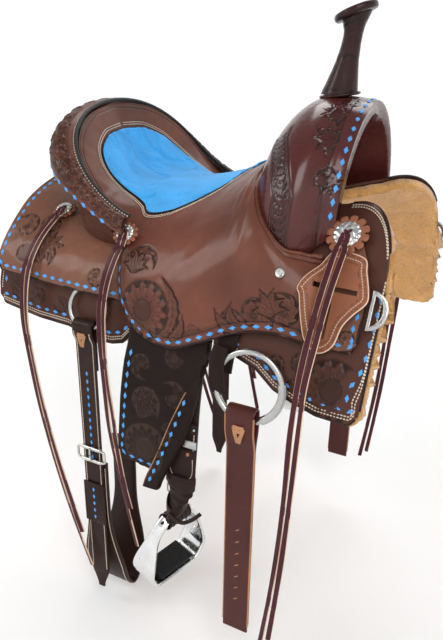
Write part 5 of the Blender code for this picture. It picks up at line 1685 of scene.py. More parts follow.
        bm, u, v = grid((150, 56))
        for vert, where in zip(bm.verts, place(u, v)):
            vert.co = where
        bmesh.ops.mirror(bm, geom=bm.verts[:] + bm.edges[:] + bm.faces[:], axis="Y", merge_dist=-1.0)
        bmesh.ops.remove_doubles(bm, verts=bm.verts, dist=0.00012)
        bmesh.ops.recalc_face_normals(bm, faces=bm.faces)
        faces_out(bm, UP)
        bm.verts.index_update()
        border = [vert.index for vert in bm.verts if vert.is_boundary]
        obj = make_object("suede_inlay", finish_mesh(bm, "suede_inlay", 70.0), "suede")
        self.settle(obj, border)
        thicken(obj, "nap", 0.0024)
        hang(obj, "saddle", Slot.SUEDE, "seat_inlay")
        t = np.linspace(0.0, self.inlay_end, 200)
        reach = table(self.reach, t * 12.0)
        normals = self.normal(t, reach)
        trail = Trail(self.point(t, reach) + normals * 0.0008, normals)
        hang_pair(cord_on("inlay_edge", trail, 0.0014, "black_edge"), "saddle", Slot.BINDING)

    def settle(self, obj: bpy.types.Object, border: Sequence[int]) -> None:
        """Lets the suede pucker between its pinned borders, at most 3 mm."""
        before = np.array([vert.co[:] for vert in obj.data.vertices])
        group = obj.vertex_groups.new(name="border")
        group.add(list(border), 1.0, "REPLACE")
        cloth = obj.modifiers.new("settle", "CLOTH")
        cloth.settings.quality = 6
        cloth.settings.vertex_group_mass = "border"
        cloth.settings.shrink_min = -0.035
        cloth.settings.use_pressure = True
        cloth.settings.uniform_pressure_force = 0.15
        cloth.settings.effector_weights.gravity = 0.0
        cloth.settings.tension_stiffness = 20.0
        cloth.settings.bending_stiffness = 0.08
        cloth.collision_settings.use_collision = False
        cloth.collision_settings.use_self_collision = False
        cloth.point_cache.frame_start = 1
        cloth.point_cache.frame_end = 20
        scene = bpy.context.scene
        for number in range(1, 21):
            scene.frame_set(number)
        depsgraph = bpy.context.evaluated_depsgraph_get()
        settled = obj.evaluated_get(depsgraph).data
        after = np.array([vert.co[:] for vert in settled.vertices])
        scene.frame_set(1)
        obj.modifiers.remove(cloth)
        moved = after - before
        length = np.linalg.norm(moved, axis=1, keepdims=True)
        moved = moved * np.minimum(1.0, 0.0018 / np.maximum(length, 1e-9))
        for vert, place in zip(obj.data.vertices, before + moved):
            vert.co = place
        log.info("suede settled by up to %.1f mm", float(np.max(length)) * 1000.0)


@dataclass
class Skirts:
    """Skirts with their fleece, rear jockeys and front jockeys."""

    bottom: tuple = ((-0.350, 0.033), (-0.318, 0.029), (-0.286, 0.025), (-0.254, 0.0215),
                     (-0.222, 0.021), (-0.190, 0.0205), (-0.158, 0.015), (-0.126, 0.009),
                     (-0.096, 0.011), (-0.076, 0.017), (-0.062, 0.033), (-0.050, 0.105),
                     (0.000, 0.108), (0.050, 0.108), (0.098, 0.105), (0.112, 0.050), (0.135, 0.042),
                     (0.165, 0.033), (0.195, 0.012), (0.225, 0.002), (0.262, -0.006),
                     (0.292, -0.006), (0.319, -0.005))
    top: tuple = ((-0.35, 0.0), (-0.25, 0.02), (-0.10, 0.10), (0.10, 0.10), (0.235, 0.22))
    nose_x: float = 0.235
    thick: float = 0.0050
    fleece_gap: float = 0.0032
    fleece_thick: float = 0.0180
    jockey_thick: float = 0.0038
    edge_lace: float = 0.0175
    edge_stitches: tuple[float, float] = (0.0062, 0.0105)
    tuft_depths: tuple = (0.0022, 0.0056, 0.0090, 0.0124, 0.0158)
    tuft_pitch: float = 0.0036
    rear_top: tuple = ((-0.346, 0.018), (-0.316, 0.018), (-0.286, 0.018), (-0.260, 0.018),
                       (-0.235, 0.018), (-0.205, 0.12), (-0.175, 0.24), (-0.145, 0.34),
                       (-0.103, 0.39), (-0.060, 0.42))
    rear_bottom: tuple = ((-0.346, 0.090), (-0.250, 0.087), (-0.111, 0.083), (-0.060, 0.083))
    front_bottom: tuple = ((0.212, 0.088), (0.240, 0.080), (0.300, 0.080))
    front_top: tuple = ((0.212, 0.150), (0.228, 0.156), (0.244, 0.212), (0.256, 0.219), (0.268, 0.216),
                        (0.280, 0.206), (0.290, 0.190), (0.299, 0.160))

    def skirt(self, lift: float, grow: float) -> Surface:
        """Skirt layer: u from the top down, v from the rear forward."""
        def place(u: Array, v: Array) -> Array:
            x, low = even_rows(self.bottom, v)
            ends = ramp(v, 0.0, 0.020) * ramp(1.0 - v, 0.0, 0.020)
            low = low - grow + (1.0 - ends) * 0.012
            bow = np.clip((x - self.nose_x) / 0.084, 0.0, 1.0)
            nose = 0.22 + 0.34 * (1.0 - np.sqrt(1.0 - np.minimum(bow, 0.999) ** 2))
            top = np.maximum(np.where(x > self.nose_x, nose, table(self.top, x)), 0.002 + grow * 7.0)
            share = FLANK.share(x, low)
            return FLANK.point(x + grow * (2.0 * v - 1.0), mix(top, share, u), lift)
        return place

    def rear(self, u: Array, v: Array) -> Array:
        """Rear jockey."""
        x, top = even_rows(self.rear_top, v)
        ends = ramp(v, 0.0, 0.05)
        low = table(self.rear_bottom, x) + (1.0 - ends) * 0.010
        f = mix(top, FLANK.share(x, low), u)
        lift = 0.0055 + 0.0130 * ramp(f, 0.40, 0.66) * ramp(-x, 0.085, 0.105)
        return FLANK.point(x, f, lift)

    def front(self, u: Array, v: Array) -> Array:
        """Front jockey."""
        x = mix(0.212, 0.299, v)
        top = FLANK.share(x, table(self.front_top, x))
        low = table(self.front_bottom, x) + (1.0 - ramp(1.0 - v, 0.0, 0.10)) * 0.010
        return FLANK.point(x, mix(top, FLANK.share(x, low), u), 0.0065)

    def carve_skirt(self, done: Field) -> None:
        """Sunflower, stippled patch and scrolls of the skirt."""
        Bloom(Panel((0.277, -0.265, 0.030), (0.05, -0.95, 0.22)), 0.0165, 0.040, 14, 55.0, 250.0).carve(done)
        Stipple(Panel((-0.305, -0.2280, 0.062), (0.0, -0.97, 0.2)), 0.0165).carve(done)
        press_scrolls(done, (0.0, -0.97, 0.2), (((0.2279, -0.2538, 0.0526), 0.019, 1, 40.0),
                                                ((0.1950, -0.2560, 0.0450), 0.017, -1, 210.0),
                                                ((0.2250, -0.2620, 0.0200), 0.013, -1, 90.0),
                                                ((-0.255, -0.2350, 0.058), 0.019, -1, 160.0),
                                                ((-0.205, -0.2400, 0.056), 0.019, 1, 260.0)))
        hand_made(done, 0.11, 0.0010, 3.0)

    def carve_rear(self, done: Field) -> None:
        """Circle, scrolls and leaves of the rear jockey."""
        Stipple(Panel((-0.292, -0.220, 0.129), (0.0, -0.85, 0.5)), 0.0155).carve(done)
        press_scrolls(done, (0.0, -0.85, 0.5), (((-0.255, -0.2200, 0.1340), 0.030, 1, 30.0),
                                                ((-0.312, -0.1950, 0.1720), 0.026, -1, 80.0),
                                                ((-0.265, -0.1880, 0.1800), 0.024, 1, 180.0),
                                                ((-0.1300, -0.2360, 0.1180), 0.020, -1, 300.0)))
        press_all(done, sprig((-0.268, -0.2150, 0.1450), (0.0, -0.85, 0.5), 0.050, -60.0, 140.0, 7))
        hand_made(done, 0.08, 0.0008, 6.0)

    def carve_front(self, done: Field) -> None:
        """Flower and scrolls of the front jockey."""
        Bloom(Panel((0.2945, -0.263, 0.062), (0.05, -0.93, 0.36)), 0.010, 0.027, 12, 0.0, 360.0).carve(done)
        press_scrolls(done, (0.0, -0.93, 0.36), (((0.283, -0.2395, 0.0994), 0.013, 1, 30.0),
                                                 ((0.262, -0.252, 0.078), 0.012, -1, 150.0)))
        hand_made(done, 0.07, 0.0006, 4.0)

    def build(self) -> None:
        """Makes and hangs the skirts, their fleece and both pairs of jockeys."""
        outer = self.skirt(0.0, 0.0)
        obj = sheet_object("skirt_cover", (90, 260), outer, self.thick, "brown_leather", RIGHT_OUT,
                           self.carve_skirt, crowd_u=((0.0, 0.0), (0.18, 0.45), (1.0, 1.0)),
                           crowd_v=((0.0, 0.0), (0.34, 0.38), (0.50, 0.68), (1.0, 1.0)))
        hang_pair(obj, "saddle", Slot.SADDLE, "skirt_{}")
        self.skirt_trims(outer)
        self.fleece()
        obj = sheet_object("rear_jockey_cover", (100, 170), self.rear, self.jockey_thick,
                           "jockey_leather", RIGHT_OUT, self.carve_rear)
        hang_pair(obj, "saddle", Slot.JOCKEY, "rear_jockey_{}")
        obj = sheet_object("front_jockey_cover", (110, 90), self.front, self.jockey_thick,
                           "jockey_leather", RIGHT_OUT, self.carve_front)
        hang_pair(obj, "saddle", Slot.JOCKEY, "front_jockey_{}")
        self.jockey_trims()

    def skirt_trims(self, outer: Surface) -> None:
        """Lacing, double stitching and the dark binding of the skirt's edge."""
        rear = np.linspace(0.012, 10.0 / 22.0, 170)
        front = np.linspace(15.3 / 22.0, 0.992, 120)
        up, back = np.linspace(0.95, 0.03, 90), np.linspace(0.95, 0.05, 90)
        nose = np.linspace(0.885, 0.992, 90)
        laces = [inset_trail(outer, shares, inset, RIGHT_OUT, edge) for shares, inset, edge in (
            (rear, self.edge_lace, "u1"), (front, self.edge_lace, "u1"),
            (np.linspace(0.90, 0.16, 80), 0.0190, "v1"), (np.linspace(0.90, 0.05, 80), self.edge_lace, "v0"))]
        rows = [inset_trail(outer, shares, inset, RIGHT_OUT, edge)
                for shares, edge in ((rear, "u1"), (front, "u1"), (up, "v1"), (nose, "u0"))
                for inset in self.edge_stitches]
        rows.append(inset_trail(outer, back, 0.0070, RIGHT_OUT, "v0"))
        hang_pair(lace_diamonds("skirt_lacing", laces, 0.0190, 0.0118, 0.0060), "saddle", Slot.SUEDE)
        hang_pair(stitches("skirt_stitching", rows, "thread", 0.0046, 0.0034, 0.0019), "saddle", Slot.STRING)
        runs = ((rear, "u1"), (front, "u1"), (up, "v1"), (back, "v0"), (nose, "u0"))
        self.bind("skirt_edge", outer, runs, 0.0029, -0.0025)

    def bind(self, name: str, surface: Surface, runs: Sequence, radius: float, lift: float) -> None:
        """Hangs a dark bead along each of a sheet's edges.

        Args:
            name: The pieces' name, before their number.
            surface: The sheet.
            runs: Shares along each edge, and which edge it is.
            radius: Half of the bead's width.
            lift: How far its middle stands off the sheet.
        """
        for index, (shares, edge) in enumerate(runs):
            trail = inset_trail(surface, shares, 0.0004, RIGHT_OUT, edge)
            cord = cord_on(f"{name}_{index}", trail, radius, "dark_leather", lift)
            hang_pair(cord, "saddle", Slot.BINDING)

    def fleece(self) -> None:
        """Fleece lining: a soft body with tufts standing along its edges."""
        lift = -self.thick - self.fleece_gap
        core = self.skirt(lift, 0.003)

        def woolly(done: Field) -> None:
            clumps = wave(done.points, 0.022, 1.0) + 0.6 * wave(done.points, 0.011, 2.0)
            done.rise += 0.0010 * wave(done.points, 0.034, 1.0)
            # Darker patches between wool clumps: partly the wool's uneven tone, partly painted shade for
            # fluffy relief that the smooth sheet doesn't have.
            done.shade += np.clip(0.10 - 0.22 * clumps, 0.0, 0.7)

        obj = sheet_object("fleece_pad", (90, 240), core, self.fleece_thick, "fleece", RIGHT_OUT,
                           woolly, 80.0)
        hang_pair(obj, "saddle", Slot.FLEECE, "fleece_{}")
        random = np.random.default_rng(4)
        places = []
        runs = (("u1", np.linspace(0.004, 10.2 / 22.0, 240)), ("u1", np.linspace(15.0 / 22.0, 0.998, 190)),
                ("v1", np.linspace(0.999, 0.05, 190)), ("v0", np.linspace(0.999, 0.05, 160)))
        for edge, shares in runs:
            for depth in self.tuft_depths:
                layer = self.skirt(lift - depth, 0.003)
                trail = inset_trail(layer, shares, 0.0024, RIGHT_OUT, edge)
                whole = trail.length()
                count = int(whole / self.tuft_pitch)
                distances = (np.arange(count) + random.random(count)) * whole / count
                for point, normal in zip(*trail.at(distances)[:2]):
                    size = random.uniform(0.0050, 0.0068)
                    angle = random.uniform(0.0, 6.28)
                    axis = Vector(random.normal(size=3)).normalized()
                    turn = Matrix.Rotation(angle, 4, axis)
                    place = Matrix.Translation(Vector(point) - Vector(normal) * random.uniform(-0.001, 0.001))
                    places.append(place @ turn @ Matrix.Diagonal((size, size * 0.8, size, 1.0)))

        def tuft() -> bmesh.types.BMesh:
            bm = bmesh.new()
            bmesh.ops.create_icosphere(bm, subdivisions=1, radius=0.5)
            for index, vert in enumerate(bm.verts):
                vert.co *= 0.90 + 0.16 * ((index * 7) % 5) / 4.0
            return bm

        hang_pair(scattered("fleece_tufts", tuft, places, "fleece", 80.0), "saddle", Slot.FLEECE)

    def jockey_trims(self) -> None:
        """Lacing and dark edges of the jockeys."""
        rear = np.linspace(0.01, 0.93, 190)
        low = inset_trail(self.rear, rear, 0.0085, RIGHT_OUT, "u1")
        back = inset_trail(self.rear, np.linspace(0.95, 0.06, 90), 0.0095, RIGHT_OUT, "v0")
        hang_pair(lace_diamonds("rear_jockey_lacing", [low, back], 0.0175, 0.0120, 0.0068),
                  "saddle", Slot.SUEDE)
        runs = ((rear, "u1"), (np.linspace(0.98, 0.02, 90), "v0"))
        self.bind("rear_jockey_edge", self.rear, runs, 0.0022, -0.0019)
        bottom = np.linspace(0.04, 0.97, 50)
        upward = np.linspace(0.96, 0.10, 60)
        rows = [inset_trail(self.front, bottom, 0.0080, RIGHT_OUT, "u1"),
                inset_trail(self.front, upward, 0.0080, RIGHT_OUT, "v1")]
        hang_pair(lace_diamonds("front_jockey_lacing", rows, 0.0170, 0.0112, 0.0058), "saddle", Slot.SUEDE)
        self.bind("front_jockey_edge", self.front, ((bottom, "u1"), (upward, "v1")), 0.0021, -0.0019)


@dataclass
class Bars:
    """Boards of the tree."""

    def build(self) -> None:
        """Makes and hangs both boards."""
        def place(u: Array, v: Array) -> Array:
            return FLANK.point(mix(-0.136, 0.086, v), mix(0.10, 0.32, u), 0.0135)

        obj = sheet_object("bar_board", (12, 30), place, 0.012, "tree_fibre", RIGHT_OUT)
        hang_pair(obj, "saddle", Slot.TREE, "tree_bar_{}")


def outline_plate(name: str, outline: Sequence, thick: float, holes: Sequence = (),
                  edge: float = 0.0, cell: float = 0.0) -> bmesh.types.BMesh:
    """Flat plate cut to an outline with through holes, in its own X and Y plane.

    Args:
        name: A name for the curve that cuts it.
        outline: Rows of X and Y.
        thick: Height of the plate.
        holes: Outlines of the holes.
        edge: Rounding of the edges.
        cell: Largest length of an edge; 0 leaves them.

    Returns:
        The plate as a bmesh.
    """
    curve = bpy.data.curves.new(name, "CURVE")
    curve.dimensions = "2D"
    curve.fill_mode = "BOTH"
    curve.extrude = thick / 2.0
    for loop in (outline, *holes):
        line = curve.splines.new("POLY")
        line.points.add(len(loop) - 1)
        for point, (x, y) in zip(line.points, loop):
            point.co = (x, y, 0.0, 1.0)
        line.use_cyclic_u = True
    maker = linked(name + "_outline", curve)
    depsgraph = bpy.context.evaluated_depsgraph_get()
    mesh = bpy.data.meshes.new_from_object(maker.evaluated_get(depsgraph))
    bpy.data.objects.remove(maker)
    bm = bmesh.new()
    bm.from_mesh(mesh)
    bpy.data.meshes.remove(mesh)
    bmesh.ops.remove_doubles(bm, verts=bm.verts, dist=WELD)
    if edge:
        sharp = [item for item in bm.edges if len(item.link_faces) == 2 and item.calc_face_angle() > 1.2
                 and abs(item.verts[0].co.z - item.verts[1].co.z) < thick * 0.1]
        ease(bm, sharp, edge, 2)
    for _ in range(5):
        long = [item for item in bm.edges if cell and item.calc_length() > cell]
        if not long:
            break
        bmesh.ops.subdivide_edges(bm, edges=long, cuts=1)
        bmesh.ops.triangulate(bm, faces=bm.faces)
    bmesh.ops.recalc_face_normals(bm, faces=bm.faces)
    return bm


def box_piece(name: str, size: Place, edge: float, matrix: Matrix, finish: str) -> bpy.types.Object:
    """Box of a size with eased edges, placed by a matrix."""
    bm = bmesh.new()
    bmesh.ops.create_cube(bm, size=1.0)
    bmesh.ops.scale(bm, vec=size, verts=bm.verts)
    ease(bm, bm.edges[:], edge, 2)
    bmesh.ops.transform(bm, matrix=matrix, verts=bm.verts)
    return make_object(name, finish_mesh(bm, name), finish)


def rounded_loop(middle: Place, wide: float, high: float, power: int, steps: int) -> Array:
    """Upright loop with rounded corners round a middle, from half its width and height."""
    rows = []
    for turn in np.linspace(0.0, FULL_TURN, steps):
        c, s = math.cos(turn), math.sin(turn)
        size = (abs(c) ** power + abs(s) ** power) ** (-1.0 / power)
        rows.append((middle[0] + c * size * wide, middle[1], middle[2] + s * size * high))
    return np.array(rows)


def smooth_outline(rows: Sequence, count: int) -> list[tuple[float, float]]:
    """Closed outline rounded through its rows."""
    rows = list(rows)
    looped = rows[-2:] + rows + rows[:3]
    shares = np.linspace(2.0, 2.0 + len(rows), count, endpoint=False) / (len(looped) - 1)
    return [tuple(point) for point in spline(looped, shares)]


@dataclass
class Keeper:
    """Slotted keeper plate in front of the swell, on both sides."""

    outline: tuple = ((0.244, 0.192), (0.228, 0.170), (0.211, 0.143), (0.216, 0.132), (0.226, 0.104),
                      (0.236, 0.083), (0.253, 0.073), (0.270, 0.084), (0.277, 0.108), (0.288, 0.124),
                      (0.302, 0.140), (0.301, 0.155), (0.293, 0.176), (0.285, 0.192))
    slots: tuple = (((0.229, 0.152), (0.288, 0.152), (0.288, 0.146), (0.229, 0.146)),
                    ((0.251, 0.131), (0.257, 0.131), (0.257, 0.090), (0.251, 0.090)))
    thick: float = 0.0045

    def lift(self, x: Array, z: Array) -> Array:
        """Lift off the flank."""
        low = mix(0.0320, 0.0160, ramp(x, 0.218, 0.256))
        return mix(low, 0.0115, ramp(z, 0.150, 0.185))

    def lay(self, rows: Array, lift: Array) -> Array:
        """Points on the keeper for rows of X and Z."""
        return FLANK.at(rows[:, 0], rows[:, 1], self.lift(rows[:, 0], rows[:, 1]) + lift)

    def border(self, inset: float, count: int) -> Trail:
        """Trail inside the outline."""
        rows = np.array(smooth_outline(self.outline, count))
        middle = rows.mean(axis=0)
        step = np.roll(rows, -1, axis=0) - np.roll(rows, 1, axis=0)
        inward = unit(np.column_stack((-step[:, 1], step[:, 0])))
        inward *= np.where(np.sum(inward * (middle - rows), axis=1) < 0.0, -1.0, 1.0)[:, None]
        rows = rows + inward * inset
        rows = np.vstack((rows, rows[:1]))
        points = self.lay(rows, np.full(len(rows), self.thick / 2.0))
        share = FLANK.share(rows[:, 0], rows[:, 1])
        out = FLANK.normal(rows[:, 0], share)
        return Trail(points, np.column_stack((np.zeros(len(rows)), -out[:, 0], out[:, 1])))

    def build(self) -> None:
        """Makes and hangs the keepers with their stamps and stitching."""
        outline = smooth_outline(self.outline, 90)
        bm = outline_plate("keeper_cut", outline, self.thick, self.slots, 0.0007, 0.0022)
        rows = np.array([vert.co[:] for vert in bm.verts])
        away = self.rim_distance(rows)
        turn = np.arctan2(rows[:, 1] - 0.135, rows[:, 0] - 0.256)
        shade = np.zeros(len(rows))
        top = rows[:, 2] > 0.0
        moons = np.exp(-((away - 0.0025) / 0.0009) ** 2) * (np.sin(turn * 44.0) > -0.2)
        panel = np.exp(-((away - 0.0100) / 0.0006) ** 2)
        shade[top] = np.maximum(moons, panel)[top] * 0.7
        rows[:, 2] -= np.where(top, (moons + panel) * 0.0004, 0.0)
        points = self.lay(rows, rows[:, 2])
        press(bm, points, shade)
        bmesh.ops.recalc_face_normals(bm, faces=bm.faces)
        obj = make_object("keeper_plate", finish_mesh(bm, "keeper_plate"), "keeper_leather")
        hang_pair(obj, "saddle", Slot.KEEPER, "latigo_keeper_{}")
        rows = self.border(0.0060, 260)
        hang_pair(stitches("keeper_stitching", [rows], "thread", 0.0040, 0.0031, 0.0011),
                  "saddle", Slot.STRING)
        edge = self.border(-0.0001, 160)
        edge.points = edge.points - edge.normals * (self.thick / 2.0)
        hang_pair(cord_on("keeper_edge", edge, 0.0014, "cream_edge"), "saddle", Slot.KEEPER)

    def rim_distance(self, rows: Array) -> Array:
        """Distance of each row from the outline."""
        line = np.array(smooth_outline(self.outline, 240))
        gaps = np.linalg.norm(rows[:, None, :2] - line[None, :, :], axis=2)
        return gaps.min(axis=1)


CONCHOS = {
    "front": ((0.2545, -0.1680, 0.2214), (-0.10, -0.72, 0.67), 0.0205, 0.0300),
    "middle": ((-0.0888, -0.2052, 0.1857), (0.12, -0.67, 0.72), 0.0150, 0.0205),
    "rear": ((-0.2600, -0.1414, 0.1912), (0.05, -0.45, 0.89), 0.0150, 0.0210),
}
STRINGS = {
    "front": (((0.248, -0.197, 0.206), (0.246, -0.239, 0.161), (0.242, -0.265, 0.110),
               (0.239, -0.288, 0.050), (0.236, -0.298, -0.030), (0.233, -0.298, -0.140),
               (0.227, -0.298, -0.250), (0.218, -0.298, -0.350), (0.208, -0.298, -0.440)),
              ((0.259, -0.197, 0.205), (0.257, -0.239, 0.159), (0.253, -0.268, 0.105),
               (0.250, -0.293, 0.045), (0.248, -0.301, -0.030), (0.243, -0.301, -0.140),
               (0.237, -0.301, -0.250), (0.229, -0.301, -0.350), (0.221, -0.300, -0.425))),
    "middle": (((-0.098, -0.224, 0.163), (-0.102, -0.249, 0.128), (-0.104, -0.263, 0.080),
                (-0.103, -0.270, 0.020), (-0.098, -0.271, -0.060), (-0.092, -0.271, -0.140),
                (-0.078, -0.271, -0.220), (-0.062, -0.271, -0.300), (-0.046, -0.271, -0.370)),
               ((-0.088, -0.226, 0.163), (-0.092, -0.252, 0.126), (-0.094, -0.266, 0.078),
                (-0.093, -0.272, 0.020), (-0.089, -0.273, -0.045), (-0.083, -0.273, -0.110),
                (-0.076, -0.273, -0.180), (-0.066, -0.273, -0.240), (-0.056, -0.273, -0.290))),
    "rear": (((-0.264, -0.169, 0.184), (-0.269, -0.214, 0.152), (-0.272, -0.247, 0.105),
              (-0.271, -0.262, 0.030), (-0.259, -0.266, -0.060), (-0.240, -0.270, -0.160),
              (-0.214, -0.271, -0.270), (-0.184, -0.272, -0.370), (-0.150, -0.273, -0.460)),
             ((-0.254, -0.171, 0.184), (-0.258, -0.216, 0.152), (-0.261, -0.249, 0.103),
              (-0.260, -0.264, 0.030), (-0.249, -0.268, -0.055), (-0.232, -0.272, -0.140),
              (-0.212, -0.273, -0.230), (-0.190, -0.274, -0.310), (-0.166, -0.275, -0.385))),
}


@dataclass
class Conchos:
    """Silver conchos on leather rosettes, and the laces that tie them."""

    lace_width: float = 0.0085
    lace_thick: float = 0.0028
    cross_width: float = 0.0042
    cross_thick: float = 0.0014
    scallops: int = 14

    def build(self) -> None:
        """Makes and hangs every concho and its two tails."""
        for spot, (centre, normal, silver, rosette) in CONCHOS.items():
            self.concho(spot, Vector(centre), Vector(normal).normalized(), silver, rosette)
            self.laces(spot, Vector(centre), Vector(normal).normalized())

    def concho(self, spot: str, centre: Vector, normal: Vector, silver: float, rosette: float) -> None:
        """Rosette with petal tabs, and the engraved silver over it."""
        def petals(local: Array) -> Array:
            turn = np.arctan2(local[:, 1], local[:, 0])
            out = np.hypot(local[:, 0], local[:, 1]) / rosette
            notch = 1.0 - np.abs(np.cos(turn * 6.0)) ** 0.35
            local[:, :2] *= (1.0 - 0.24 * notch * ramp(out, 0.70, 1.0))[:, None]
            local[:, 2] += np.where(local[:, 2] > 0.0, -0.0012 * notch * ramp(out, 0.62, 0.85), 0.0)
            return local

        base = turned(f"rosette_{spot}", ((0.0, 0.0016), (rosette * 0.60, 0.0016), (rosette * 0.72, 0.0019),
                                          (rosette * 0.82, 0.0021), (rosette * 0.90, 0.0019),
                                          (rosette * 0.97, 0.0012), (rosette * 1.03, 0.0),
                                          (rosette * 0.97, -0.0012), (0.0, -0.0014)), 96, "keeper_leather",
                      centre, normal, petals)
        hang_pair(base, "saddle", Slot.SILVER, "concho_{}_" + spot)

        def engrave(local: Array) -> Array:
            turn = np.arctan2(local[:, 1], local[:, 0])
            out = np.hypot(local[:, 0], local[:, 1]) / silver
            scallop = 1.0 - 0.06 * np.abs(np.sin(turn * self.scallops / 2.0)) * ramp(out, 0.8, 1.0)
            local[:, :2] *= scallop[:, None]
            rays = np.cos(turn * self.scallops) * np.exp(-((out - 0.84) / 0.09) ** 2)
            leaves = np.cos(turn * 6.0 + out * 9.0) * np.exp(-((out - 0.55) / 0.14) ** 2)
            rope = np.cos(turn * 36.0 + out * 30.0) * np.exp(-((out - 0.96) / 0.04) ** 2)
            local[:, 2] += np.where(local[:, 2] > 0.0, 0.00055 * (rays + leaves) + 0.0003 * rope, 0.0)
            return local

        top = centre + normal * 0.0018
        shares = (0.0, 0.12, 0.22, 0.32, 0.40, 0.46, 0.52, 0.58, 0.64, 0.70, 0.75, 0.79, 0.83, 0.87,
                  0.91, 0.95)
        rows = [(silver * r, 0.0008 + 0.0030 * math.sqrt(max(1.0 - (r * 0.93) ** 2, 0.0))) for r in shares]
        rows += [(silver, 0.0010), (silver, 0.0), (silver * 0.9, -0.0003), (0.0, -0.0003)]
        plate = turned(f"concho_plate_{spot}", rows, 96, "silver", top, normal, engrave)
        hang_pair(plate, "saddle", Slot.SILVER, "concho_{}_" + spot)
        side = normal.cross(Vector(UP)).normalized()
        high = side.cross(normal)
        for index, (a, b) in enumerate(((1.0, 1.0), (1.0, -1.0))):
            reach = silver * 0.30
            ends = [top + side * (a * s * reach) + high * (b * s * reach)
                    + normal * (0.0042 + 0.0008 * index - 0.0022 * abs(s) ** 2)
                    for s in (-1.25, -0.6, 0.0, 0.6, 1.25)]
            lace = self.ribbon(f"cross_{spot}_{index}", np.array([point[:] for point in ends]), normal,
                               self.cross_width, self.cross_thick, 16)
            hang_pair(lace, "saddle", Slot.STRING)

    def ribbon(self, name: str, rows: Array, out: Vector, width: float, thick: float, cells: int,
               finish: str = "lace_leather") -> bpy.types.Object:
        """Flat lace along rows, its face towards out."""
        def path(v: Array) -> Array:
            return spline(rows, v)

        def spread(v: Array) -> Array:
            return unit(np.cross(heading(path, v, 0.01), np.array(out)[None, :]))

        place = strap_surface(path, spread, even_width(width), thick, 5.0)
        return swept(name, (12, cells), place, finish)

    def laces(self, spot: str, centre: Vector, normal: Vector) -> None:
        """Both tails of one string, on both sides, as soft cords."""
        side = normal.cross(Vector(UP)).normalized()
        down = (Vector((0.0, 0.0, -1.0)) + normal * normal.z).normalized()
        for index, route in enumerate(STRINGS[spot]):
            sign = 1.0 if index == 1 else -1.0
            lean = side * (0.0038 * (sign if side.x > 0.0 else -sign))
            start = [centre + normal * 0.0062 + lean * 0.6 + down * 0.002,
                     centre + normal * 0.0058 + lean + down * 0.010,
                     centre + normal * 0.0050 + lean + down * 0.021]
            rows = np.array([point[:] for point in start] + list(route))
            rows = rows + np.column_stack((0.0006 * np.sin(rows[:, 2] * 60.0 + index), np.zeros(len(rows)),
                                           np.zeros(len(rows))))
            for sided in Side:
                self.tail(spot, index, rows * np.array((1.0, -1.0 * sided.value, 1.0)), sided,
                          centre, normal)

    def tail(self, spot: str, index: int, rows: Array, sided: Side, centre: Vector, normal: Vector) -> None:
        """One tail: burgundy lace with pale cut edges."""
        label = "right" if sided is Side.RIGHT else "left"
        flip = -1.0 * sided.value

        def path(v: Array) -> Array:
            return spline(rows, v)

        def spread(v: Array) -> Array:
            twist = 0.35 * np.sin(v * 5.0 + index * 2.0) * ramp(v, 0.3, 0.6)
            return np.column_stack((np.cos(twist), np.sin(twist) * flip, np.zeros(len(v))))

        width = self.lace_width
        place = strap_surface(path, spread, lambda v: width * (1.0 + 0.06 * np.sin(v * 40.0)),
                              self.lace_thick, 6.0)
        name = f"string_{spot}_{index}_{label}"
        obj = swept(name, (16, 150), place, "lace_leather")
        obj.data.materials.append(SHELF.get("cream_edge"))
        self.pale_edges(obj, path, spread, width)
        length = float(np.sum(np.linalg.norm(np.diff(path(np.linspace(0.0, 1.0, 400)), axis=0), axis=1)))
        hang(obj, "saddle", Slot.STRING, f"saddle_string_{label}_{spot}")
        line = [tuple(float(part) for part in point) for point in path(np.linspace(0.0, 1.0, 160))]
        log.info("%s is %.3f m long", name, length)

    def pale_edges(self, obj: bpy.types.Object, path: Callable[[Array], Array],
                   spread: Callable[[Array], Array], width: float) -> None:
        """Gives the lace's narrow sides the pale cut finish."""
        shares = np.linspace(0.0, 1.0, 301)
        line, wide = path(shares), spread(shares)
        centres = np.array([face.center[:] for face in obj.data.polygons])
        gaps = np.linalg.norm(centres[:, None, :] - line[None, :, :], axis=2)
        near = gaps.argmin(axis=1)
        across = np.abs(np.sum((centres - line[near]) * wide[near], axis=1))
        marks = (across > width * 0.445).astype(int)
        obj.data.polygons.foreach_set("material_index", marks.tolist())


